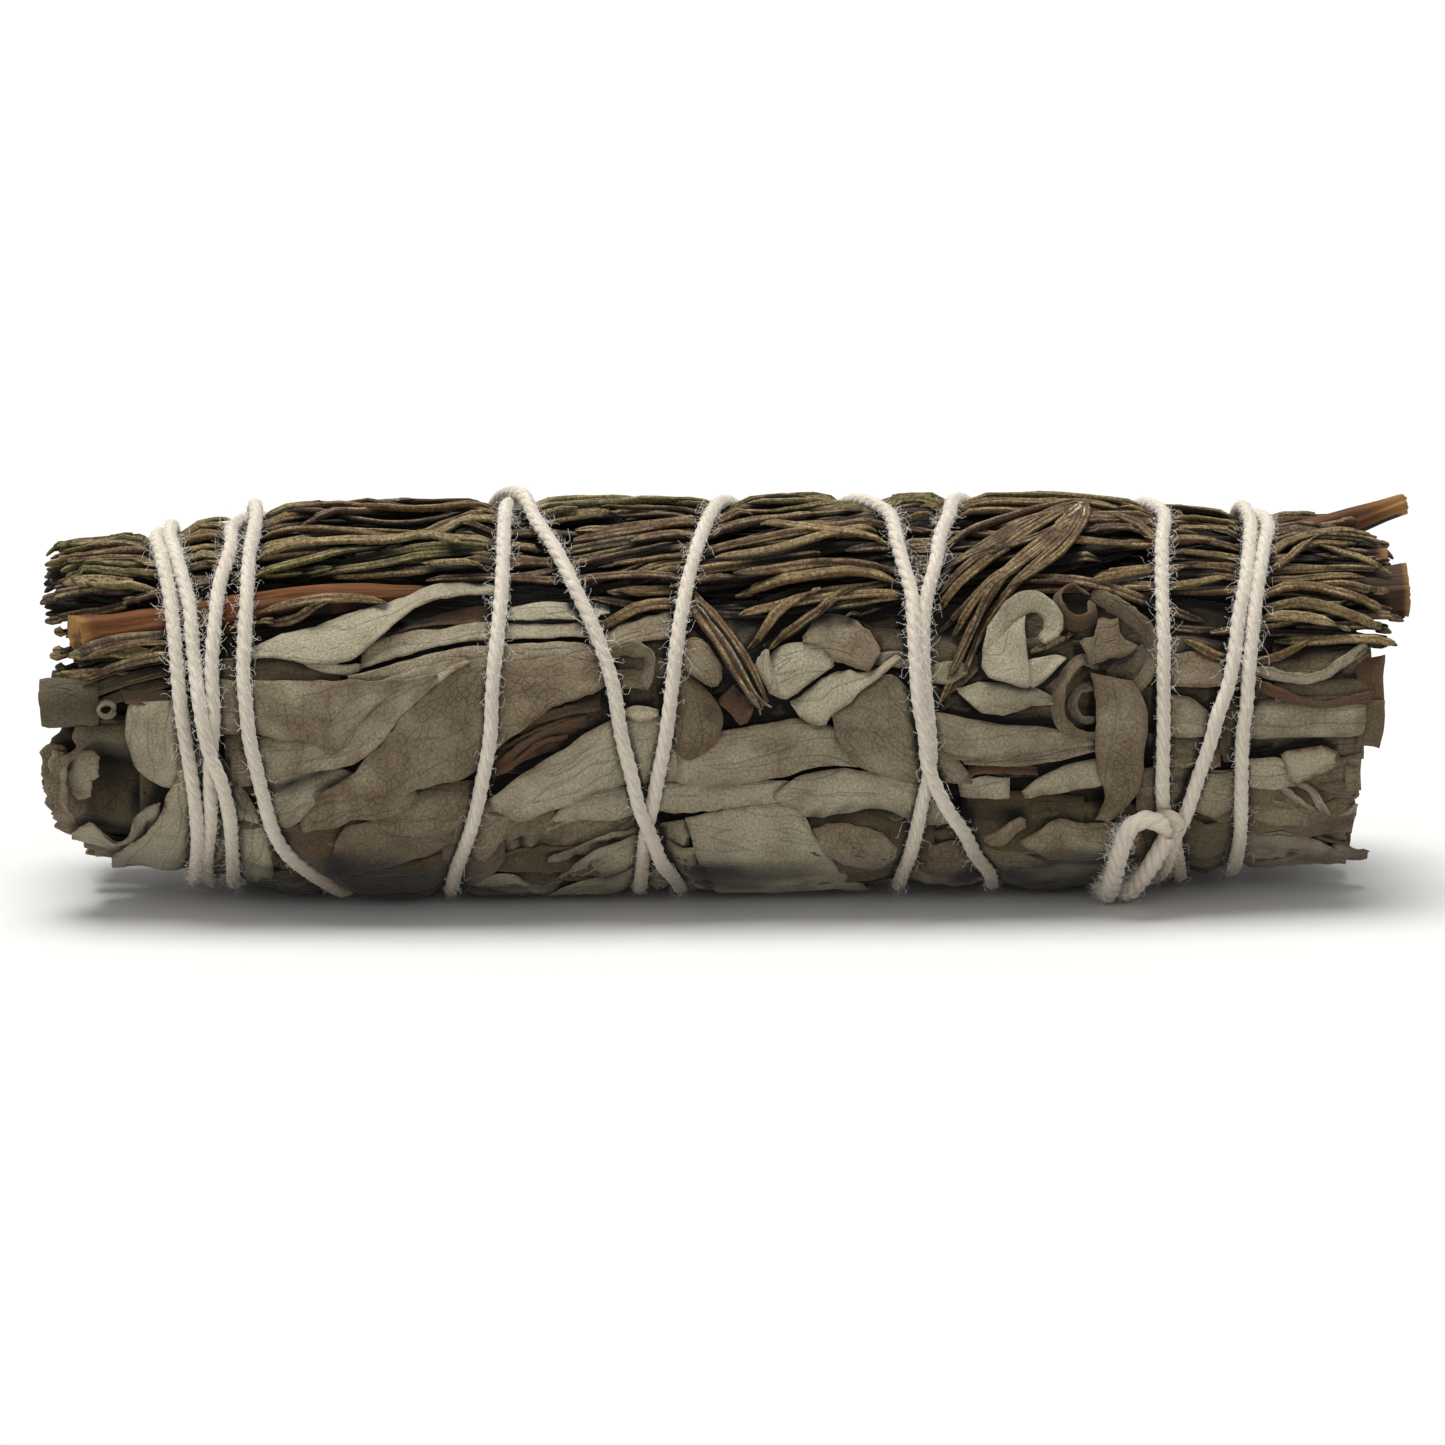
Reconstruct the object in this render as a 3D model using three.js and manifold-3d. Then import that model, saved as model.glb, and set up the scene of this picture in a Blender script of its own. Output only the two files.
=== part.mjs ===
// Sage bunch: white sage leaves and rosemary sprigs laid lengthwise, bound criss-cross with cotton string.
// Millimetres. X runs along the bunch, -Y is its front, +Z is up, and z = 0 is the surface that it lies on.
import * as THREE from "three";
import { mergeVertices } from "three/addons/utils/BufferGeometryUtils.js";
import Module from "manifold-3d";

const wasm = await Module();
wasm.setup();

// ---------------------------------------------------------------- driving dimensions
const LENGTH = 102; // between the furthest cut ends
const BUNDLE_RADIUS = 14.3; // under the string, at the middle
const AXIS_HEIGHT = 14.2; // of the bunch's axis above the surface it lies on
const LEFT_TAPER = { drop: 2.4, from: 27, over: 20 };
const RIGHT_TAPER = { drop: 1.7, from: 24, over: 22 };
const UNDERSIDE_HEIGHT = 1.2; // of the flattened underside, which the string crosses
const STRING_DIAMETER = 1.15;
const STRING_RISE = 0.45; // of the string's middle above the bundle's nominal radius
const STRING_CROSSING = 1.22; // between middles where one strand lies over another
const GAP = 0.3; // between neighbouring pieces
const LEAF_THICKNESS = 0.7;
const NEEDLE_WIDTH = 1.5;
const NEEDLE_HEIGHT = 0.95;
const CORE_DEPTH = { front: 1.9, sage: 1.25, rosemary: 1.15 }; // of each packed core below the nominal radius
const CORE_END = { left: -44, right: 43.5 };
const CORE_BORE = 0.6;
const SEED = 20417;

const COLOURS = {
  sage: "#9c9684",
  sageBack: "#8c8271",
  rosemary: "#5e4f38",
  rosemaryTop: "#66603a",
  needle: "#8c7e62",
  leftStem: "#8e5530",
  rightStem: "#6e4e35",
  string: "#e6dfd0",
};

// ---------------------------------------------------------------- the bundle's surface
const radians = THREE.MathUtils.degToRad;
const MM_PER_DEGREE = radians(BUNDLE_RADIUS); // round the outside
const smooth = (t) => THREE.MathUtils.smoothstep(t, 0, 1);

// The nominal radius at x along the bunch and at an angle in degrees: 0 faces the front, 90 is the top.
function bundleRadius(x, angle) {
  const left = LEFT_TAPER.drop * smooth((-x - LEFT_TAPER.from) / LEFT_TAPER.over);
  const right = RIGHT_TAPER.drop * smooth((x - RIGHT_TAPER.from) / RIGHT_TAPER.over);
  const round = BUNDLE_RADIUS - left - right;
  const down = -Math.sin(radians(angle));
  const flat = down > 0.2 ? (AXIS_HEIGHT - UNDERSIDE_HEIGHT) / down : Infinity;
  return Math.min(round, flat);
}

// A point `rise` above that surface.
function onBundle(x, angle, rise = 0) {
  const r = bundleRadius(x, angle) + rise;
  return atRadius(x, angle, r);
}

function atRadius(x, angle, r) {
  const a = radians(angle);
  return new THREE.Vector3(x, -r * Math.cos(a), AXIS_HEIGHT + r * Math.sin(a));
}

// Random draws, the same ones each time.
function drawer(seed) {
  let state = seed;
  return (low = 0, high = 1) => {
    state = (Math.imul(state, 1664525) + 1013904223) >>> 0;
    return low + ((high - low) * state) / 4294967296;
  };
}

// Reads a list of [key, value] at any key, straight between its entries.
function readTable(table, key) {
  const last = table.length - 1;
  if (key <= table[0][0]) return table[0][1];
  if (key >= table[last][0]) return table[last][1];
  const i = table.findIndex(([k]) => k > key) - 1;
  const [[k0, v0], [k1, v1]] = [table[i], table[i + 1]];
  return v0 + ((v1 - v0) * (key - k0)) / (k1 - k0);
}

// ---------------------------------------------------------------- solids
function solidOf(geometry) {
  const bare = geometry.clone();
  bare.deleteAttribute("normal");
  bare.deleteAttribute("uv");
  const merged = mergeVertices(bare, 1e-4);
  const vertProperties = merged.attributes.position.array;
  const triVerts = new Uint32Array(merged.index.array);
  const solid = new wasm.Manifold(new wasm.Mesh({ numProp: 3, vertProperties, triVerts }));
  if (solid.volume() > 0) return solid;
  return new wasm.Manifold(new wasm.Mesh({ numProp: 3, vertProperties, triVerts: triVerts.reverse() }));
}

function closedMesh(points, faces) {
  const geometry = new THREE.BufferGeometry().setFromPoints(points);
  geometry.setIndex(faces.flat());
  return solidOf(geometry);
}

// A solid through rings of equal point counts, each ring open to a fan from its first point.
function loft(rings) {
  const n = rings[0].length;
  const faces = [];
  for (let i = 0; i + 1 < rings.length; i++)
    for (let j = 0; j < n; j++) {
      const [a, b] = [i * n + j, i * n + ((j + 1) % n)];
      faces.push([a, b, b + n], [a, b + n, a + n]);
    }
  const end = (rings.length - 1) * n;
  for (let j = 1; j + 1 < n; j++) {
    faces.push([0, j + 1, j]);
    faces.push([end, end + j, end + j + 1]);
  }
  return closedMesh(rings.flat(), faces);
}

// A sector of the bundle between two angles that may vary along it, out to a radius that may vary too.
// Its sides stand `inset` inside those angles, or outside them where it is negative.
function sector(stations, low, high, outer, inset = GAP / 2) {
  const ARC_STEPS = 6;
  const rings = stations.map((x) => {
    const [a, b] = [low(x), high(x)];
    const edge = (angle, side) => {
      const off = atRadius(0, angle + 90 * side, inset).sub(new THREE.Vector3(0, 0, AXIS_HEIGHT));
      return (r) => atRadius(x, angle, r).add(off);
    };
    const [lowEdge, highEdge] = [edge(a, 1), edge(b, -1)];
    const ring = [lowEdge(CORE_BORE), lowEdge(outer(x, a))];
    for (let k = 1; k < ARC_STEPS; k++) {
      const angle = a + ((b - a) * k) / ARC_STEPS;
      ring.push(atRadius(x, angle, outer(x, angle)));
    }
    ring.push(highEdge(outer(x, b)), highEdge(CORE_BORE));
    return ring;
  });
  return loft(rings);
}

// A tube along points, with its radius at each one.
function tube(points, radii, sides = 8) {
  const curve = new THREE.CatmullRomCurve3(points);
  const steps = points.length - 1;
  const frames = curve.computeFrenetFrames(steps, false);
  const rings = points.map((p, i) => {
    const radius = Array.isArray(radii) ? radii[i] : radii;
    return Array.from({ length: sides }, (_, j) => {
      const a = (2 * Math.PI * j) / sides;
      return p
        .clone()
        .addScaledVector(frames.normals[i], radius * Math.cos(a))
        .addScaledVector(frames.binormals[i], radius * Math.sin(a));
    });
  });
  return loft(rings);
}

// A rail is a list of [x, angle]; this walks it evenly from 0 to 1.
function alongRail(rail, share) {
  const lengths = [0];
  for (let i = 1; i < rail.length; i++) {
    const dx = rail[i][0] - rail[i - 1][0];
    const dy = (rail[i][1] - rail[i - 1][1]) * MM_PER_DEGREE;
    lengths.push(lengths[i - 1] + Math.hypot(dx, dy));
  }
  const target = share * lengths.at(-1);
  const xs = rail.map(([x], i) => [lengths[i], x]);
  const angles = rail.map(([, angle], i) => [lengths[i], angle]);
  return [readTable(xs, target), readTable(angles, target)];
}

// A leaf blade between two rails, with its outer face `rise` above the nominal radius at each rail.
// `arch` lifts its middle; both faces are split alike.
function blade({ upper, lower, rise, thick = LEAF_THICKNESS, arch = 0.1, along = 3, across = 2 }) {
  const MIN_HALF_WIDTH = 0.35;
  const [outerFace, innerFace] = [[], []];
  for (let i = 0; i <= along; i++) {
    const [ux, ua] = alongRail(upper, i / along);
    const [lx, la] = alongRail(lower, i / along);
    const width = Math.hypot(ux - lx, (ua - la) * MM_PER_DEGREE);
    const widen = Math.max(0, MIN_HALF_WIDTH - width / 2);
    const [dx, da] = width > 1e-3 ? [(ux - lx) / width, (ua - la) / width] : [0, 1 / MM_PER_DEGREE];
    for (let j = 0; j <= across; j++) {
      const share = j / across;
      const side = widen * (1 - 2 * share);
      const x = ux + (lx - ux) * share + dx * side;
      const angle = ua + (la - ua) * share + da * side;
      const lift = rise[0] + (rise[1] - rise[0]) * share + arch * 4 * share * (1 - share);
      const top = Math.min(lift, Math.max(rise[0], rise[1]));
      outerFace.push(onBundle(x, angle, top));
      innerFace.push(onBundle(x, angle, top - thick));
    }
  }
  return sheet(outerFace, innerFace, along, across);
}

// The closed sheet between an outer and an inner grid of points.
function sheet(outerFace, innerFace, along, across) {
  const row = across + 1;
  const inner = outerFace.length;
  const faces = [];
  for (let i = 0; i < along; i++)
    for (let j = 0; j < across; j++) {
      const [a, b, c, d] = [i * row + j, (i + 1) * row + j, (i + 1) * row + j + 1, i * row + j + 1];
      faces.push([a, b, c], [a, c, d]);
      faces.push([inner + a, inner + c, inner + b], [inner + a, inner + d, inner + c]);
    }
  const wall = (a, b) => faces.push([a, b, inner + b], [a, inner + b, inner + a]);
  for (let i = 0; i < along; i++) {
    wall((i + 1) * row, i * row);
    wall(i * row + across, (i + 1) * row + across);
  }
  for (let j = 0; j < across; j++) {
    wall(j, j + 1);
    wall(along * row + j + 1, along * row + j);
  }
  return closedMesh([...outerFace, ...innerFace], faces);
}

// A leaf's two rails from its middle, length, greatest width and slope in degrees per millimetre.
function lens(x, angle, length, width, slope = 0) {
  const HALF_WIDTHS = [[0, 0.2], [0.2, 0.72], [0.5, 1], [0.8, 0.7], [1, 0.15]];
  const rail = (side) =>
    HALF_WIDTHS.map(([share, half]) => {
      const dx = (share - 0.5) * length;
      return [x + dx, angle + slope * dx + (side * half * width) / 2 / MM_PER_DEGREE];
    });
  return { upper: rail(1), lower: rail(-1) };
}

// A three-sided needle along [x, angle, rise] points, thinning to its tip.
function needle(path, width = NEEDLE_WIDTH) {
  const TIP_SHARE = 0.45;
  const last = path.length - 1;
  const points = path.map(([x, angle, rise]) => onBundle(x, angle, rise));
  const rings = path.map(([x, angle], i) => {
    const ahead = points[Math.min(i + 1, last)].clone().sub(points[Math.max(i - 1, 0)]).normalize();
    const out = atRadius(0, angle, 1).sub(new THREE.Vector3(0, 0, AXIS_HEIGHT));
    const side = new THREE.Vector3().crossVectors(ahead, out).normalize();
    const size = i === last ? TIP_SHARE : 1;
    const corner = (across, up) =>
      points[i].clone().addScaledVector(side, across * size).addScaledVector(out, up * size);
    return [
      corner(-width / 2, -NEEDLE_HEIGHT / 2),
      corner(width / 2, -NEEDLE_HEIGHT / 2),
      corner(0, NEEDLE_HEIGHT / 2),
    ];
  });
  return loft(rings);
}

const join = (solids) => wasm.Manifold.union(solids);

// ---------------------------------------------------------------- cotton string
// [x, angle] down the front of the bunch, one row for each strand in the order they were wound.
// The last entries of a row lie under the bunch; from there the string rises over the back to the next row.
const STRANDS = [
  [[32.3, -32], [33.3, -50], [34.5, -90]],
  [
    [40.5, 88], [39.6, 61], [38.9, 46], [38.4, 32], [38, 19], [37.75, 6], [37.5, -2], [37.5, -12],
    [37.6, -25], [37.8, -39], [37.9, -60], [38.1, -90],
  ],
  [
    [39.3, 90], [38.6, 62], [38, 47], [37.4, 36], [36.95, 24], [36.4, 13], [35.6, 4], [35.2, -3],
    [34.6, -11], [34, -19], [33.4, -27], [32.8, -34], [31, -90],
  ],
  [
    [17.2, 92], [16.6, 77], [15.8, 66], [15.2, 53], [14.5, 43], [14.1, 34], [14, 20], [14.2, 8],
    [14.4, 0], [14.5, -8], [14.3, -15], [14, -21], [13.7, -30], [13.3, -43], [12.9, -55], [12.4, -90],
  ],
  [
    [-0.4, 90], [-1.6, 71], [-2.3, 60], [-3.2, 45], [-3.9, 30], [-4.4, 15], [-4.9, 0], [-5.5, -13],
    [-5.8, -21], [-6.2, -30], [-6.4, -45], [-6.5, -65], [-6.8, -90],
  ],
  [
    [-15.9, 95], [-16.2, 84], [-16.5, 60], [-16.7, 45], [-17.1, 30], [-17.5, 15], [-17.7, 0],
    [-18.2, -11], [-18.55, -19], [-18.95, -27], [-19.6, -38], [-20.2, -50], [-20.8, -90], [-21.4, -135],
  ],
  [
    [-36.1, 90], [-36.5, 68], [-37.3, 52], [-37.6, 40], [-37.9, 23], [-37.8, 9], [-37.9, 0], [-38.1, -9],
    [-38.1, -18], [-38.1, -30], [-38.4, -43], [-38.6, -60], [-38.2, -90],
  ],
  [
    [-42, 90], [-41.65, 73], [-41, 52], [-40.7, 39], [-40.4, 22], [-40.1, 7], [-39.7, -6], [-39.3, -20],
    [-39.1, -36], [-39.3, -54], [-39.7, -90],
  ],
  [
    [-41, 90], [-40.8, 79], [-40.2, 62], [-39.5, 45], [-39.3, 32], [-39, 18], [-38.6, 5], [-38.05, -5],
    [-37.35, -12], [-36.9, -21], [-36.7, -29], [-36.6, -45], [-36.5, -90],
  ],
  [
    [-34.6, 90], [-34.75, 78], [-35.1, 64], [-35.3, 46], [-35.5, 31], [-35.6, 20], [-35.4, 9], [-35.2, 0],
    [-34.75, -9], [-34.25, -19], [-33.6, -31], [-32.6, -41], [-31, -50], [-29.3, -60], [-26.4, -90],
    [-25.6, -130],
  ],
  [
    [-14.8, 92], [-13.9, 75], [-12.6, 60], [-11.3, 45], [-10, 32], [-9.25, 23], [-8.7, 15], [-8.1, 0],
    [-7.4, -11], [-6.8, -21], [-5.9, -30], [-5, -43], [-3.7, -60], [-2.5, -90],
  ],
  [
    [10.5, 97], [12.2, 79], [12.5, 63], [12.9, 51], [13.3, 41], [13.3, 31], [13.4, 20], [13.6, 8],
    [14, 0], [14.2, -8], [14.9, -15], [15.9, -23], [17, -31], [18.1, -43], [19.4, -55], [20.5, -90],
  ],
  [
    [32.6, 88], [32.1, 62], [31.8, 46], [31.7, 31], [31.6, 15], [31.6, 0], [31.6, -10], [31.7, -22],
    [32.1, -32],
  ],
];
const KNOT = { x: 32.1, angle: -31, rise: 1.1, size: [1.7, 1.3, 1.5] };
// [x, angle, rise] of the two tails: one arches up and over to the left, the other goes straight down.
const TAILS = [
  [
    [32.3, -31, 1.0], [31.4, -26.5, 1.7], [30.2, -24.3, 1.9], [29.1, -27, 2.0], [28.6, -34, 2.1],
    [28.3, -44, 2.2], [28.1, -56, 2.1], [28.0, -68, 1.9],
  ],
  [[32.2, -33, 1.2], [31.3, -40, 1.8], [30.5, -48, 2.0], [29.7, -56, 2.0], [29.0, -64, 1.8]],
];
const TAIL_RADIUS = 0.72;
const TAIL_CLEARANCE = 0.1; // of the tails above the surface that the bunch lies on

// The string's middle line as [x, angle, rise], one entry for each GRID degrees travelled round the bunch.
function stringLine() {
  const GRID = 3;
  const TURN = 360 / GRID;
  const travelled = STRANDS.flatMap((strand, turn) => strand.map(([x, angle]) => [360 * turn - angle, x]));
  const start = travelled[0][0];
  const count = Math.floor((travelled.at(-1)[0] - start) / GRID);
  const x = Array.from({ length: count + 1 }, (_, i) => readSmooth(travelled, start + i * GRID));
  const HOLD = 3;
  const REACH = 8;
  const SLOPE = 0.24;
  const needed = [];
  const rise = [];
  for (let i = 0; i <= count + REACH; i++) {
    if (i <= count) needed.push(crossingRise(x, rise, i, TURN, GRID));
    const k = i - REACH;
    if (k < 0) continue;
    let top = 0;
    for (let j = Math.max(0, k - REACH); j <= Math.min(count, k + REACH); j++)
      top = Math.max(top, needed[j] - SLOPE * Math.max(0, Math.abs(j - k) - HOLD));
    rise.push(top);
  }
  return x.map((at, i) => [at, -(start + i * GRID), STRING_RISE + rise[i]]);
}

// How far station i must rise over the strands already wound beneath it.
function crossingRise(x, rise, i, turn, grid) {
  const stepAround = radians(grid) * BUNDLE_RADIUS;
  const drift = (x[Math.min(i + 1, x.length - 1)] - x[Math.max(i - 1, 0)]) / 2;
  const cosine = stepAround / Math.hypot(stepAround, drift);
  let needed = 0;
  for (let j = i - turn; j >= 0; j -= turn) {
    const apart = Math.abs(x[i] - x[j]) * cosine;
    if (apart < STRING_CROSSING)
      needed = Math.max(needed, rise[j] + Math.sqrt(STRING_CROSSING ** 2 - apart ** 2));
  }
  return needed;
}

// Reads a list of [key, value] smoothly, with the slope at each entry taken from its neighbours.
function readSmooth(table, key) {
  const last = table.length - 1;
  const found = table.findIndex(([k]) => k > key);
  const i = found < 0 ? last - 1 : Math.max(0, found - 1);
  const slope = (k) => {
    const [a, b] = [table[Math.max(0, k - 1)], table[Math.min(last, k + 1)]];
    return (b[1] - a[1]) / (b[0] - a[0]);
  };
  const [[k0, v0], [k1, v1]] = [table[i], table[i + 1]];
  const span = k1 - k0;
  const t = (key - k0) / span;
  const [t2, t3] = [t * t, t * t * t];
  return (
    (2 * t3 - 3 * t2 + 1) * v0 +
    (t3 - 2 * t2 + t) * span * slope(i) +
    (3 * t2 - 2 * t3) * v1 +
    (t3 - t2) * span * slope(i + 1)
  );
}

// A smooth curve along the string's middle, through every STRIDE-th entry of its line.
function curveThrough(line) {
  const STRIDE = 6;
  const points = line.filter((_, i) => i % STRIDE === 0).map(([x, angle, rise]) => onBundle(x, angle, rise));
  const curve = new THREE.CatmullRomCurve3(points);
  curve.arcLengthDivisions = points.length * 8;
  return curve;
}

function sectionShape(radius, sides) {
  const corners = Array.from({ length: sides }, (_, i) => {
    const a = (2 * Math.PI * i) / sides;
    return new THREE.Vector2(radius * Math.cos(a), radius * Math.sin(a));
  });
  return new THREE.Shape(corners);
}

const STRING_SIDES = 5;
const STRING_STEPS = 216;
const stringCurve = curveThrough(stringLine());
const stringPoints = stringCurve.getSpacedPoints(STRING_STEPS);

function knotAndTails(grow) {
  const ball = new THREE.SphereGeometry(1, 8, 6);
  ball.scale(...KNOT.size.map((s) => s + grow));
  const centre = onBundle(KNOT.x, KNOT.angle, KNOT.rise);
  ball.translate(centre.x, centre.y, centre.z);
  const tails = TAILS.map((path) => {
    const points = path.map(([x, angle, rise]) => onBundle(x, angle, rise));
    for (const point of points) point.z = Math.max(point.z, TAIL_RADIUS + TAIL_CLEARANCE);
    return tube(points, TAIL_RADIUS + grow, STRING_SIDES);
  });
  return [solidOf(ball), ...tails];
}

function cottonString() {
  const extrudePath = stringCurve;
  const shape = sectionShape(STRING_DIAMETER / 2, STRING_SIDES);
  const whole = new THREE.ExtrudeGeometry(shape, { steps: STRING_STEPS, extrudePath, bevelEnabled: false });
  return join([solidOf(whole), ...knotAndTails(0)]);
}

// The room that the string needs about it: tubes of a few steps each, so that none of them meets itself.
function stringRoom() {
  const STEPS_PER_PIECE = 14;
  const radius = STRING_DIAMETER / 2 + GAP;
  const pieces = [];
  for (let i = 0; i < STRING_STEPS; i += STEPS_PER_PIECE)
    pieces.push(tube(stringPoints.slice(i, i + STEPS_PER_PIECE + 2), radius, STRING_SIDES));
  return join([...pieces, ...knotAndTails(GAP)]);
}

// ---------------------------------------------------------------- woody stems
// Each runs along [x, angle, rise of its middle], with its radius at each point.
const STEMS = {
  rosemary_stem_left: {
    path: [
      [-47.8, 38.5, -1.6], [-46, 40, -1.7], [-41.4, 42.5, -2.3], [-38.3, 44.5, -2.3], [-30, 46.5, -1.7],
      [-21, 49.5, -2.0],
    ],
    radii: [1.6, 1.55, 1.45, 1.35, 1.2, 0.9],
    colour: COLOURS.leftStem,
  },
  rosemary_stem_right: {
    path: [[29, 56, -2.4], [36, 55, -2.5], [41, 54, -2.6], [46, 53.5, -2.0], [LENGTH / 2, 53.5, -1.8]],
    radii: [1.0, 1.4, 1.7, 1.8, 1.8],
    colour: COLOURS.rightStem,
  },
  rosemary_stem_right_small: {
    path: [[34, 70, -2.1], [40, 69.5, -2.1], [45, 69, -1.8], [49.2, 68.5, -1.7]],
    radii: [0.8, 0.95, 1.1, 1.1],
    colour: COLOURS.rightStem,
  },
  rosemary_stem_top: {
    path: [[28, 82, -2.4], [35, 86, -2.1], [40.5, 89, -1.9], [46, 93, -0.6], [LENGTH / 2 - 0.3, 99, 1.0]],
    radii: [0.8, 0.9, 1.0, 1.0, 0.9],
    colour: COLOURS.leftStem,
  },
};

const stemTube = ({ path, radii }, grow = 0) =>
  tube(
    path.map(([x, angle, rise], i) => {
      const reach = i === 0 ? -grow : i === path.length - 1 ? grow : 0;
      return onBundle(x + reach, angle, rise);
    }),
    radii.map((r) => r + grow),
  );

// ---------------------------------------------------------------- where sage ends and rosemary begins
// [x, angle] of the line along the front where the rosemary needles meet the sage leaves.
const ROSEMARY_EDGE = [
  [-53, 21], [-43, 21], [-35, 34], [-23, 49], [-17, 50], [-13, 41], [-4, 38], [3, 33], [9, 34], [14.5, 12],
  [17, 12], [20.5, 42], [30, 42], [32, 23], [43, 24], [53, 30],
];
const rosemaryEdge = (x) => readTable(ROSEMARY_EDGE, x);
const edgeStations = ROSEMARY_EDGE.map(([x]) => x);
const HIGHEST_SAGE = 52;
const LOWEST_ROSEMARY = 10;
const TOP_SEAM = 86; // between the front and the top sprigs
const BACK_EDGE = 150; // where the rosemary ends over the back
const BACK_SEAM = 222; // between the leaves behind and the leaves beneath
const FRONT_SEAM = -66; // between the leaves beneath and those in front

const level = (angle) => () => angle;
const beyond = () => 20;
const room = (low, high) => sector([-53, 53], level(low), level(high), beyond);
const rosemaryRoom = (inset) => sector(edgeStations, rosemaryEdge, level(TOP_SEAM), beyond, inset);
const CORE_STATIONS = [CORE_END.left, -28, 25, CORE_END.right];
const core = (low, high, depth) =>
  sector(CORE_STATIONS, level(low), level(high), (x, angle) => bundleRadius(x, angle) - depth);

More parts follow.
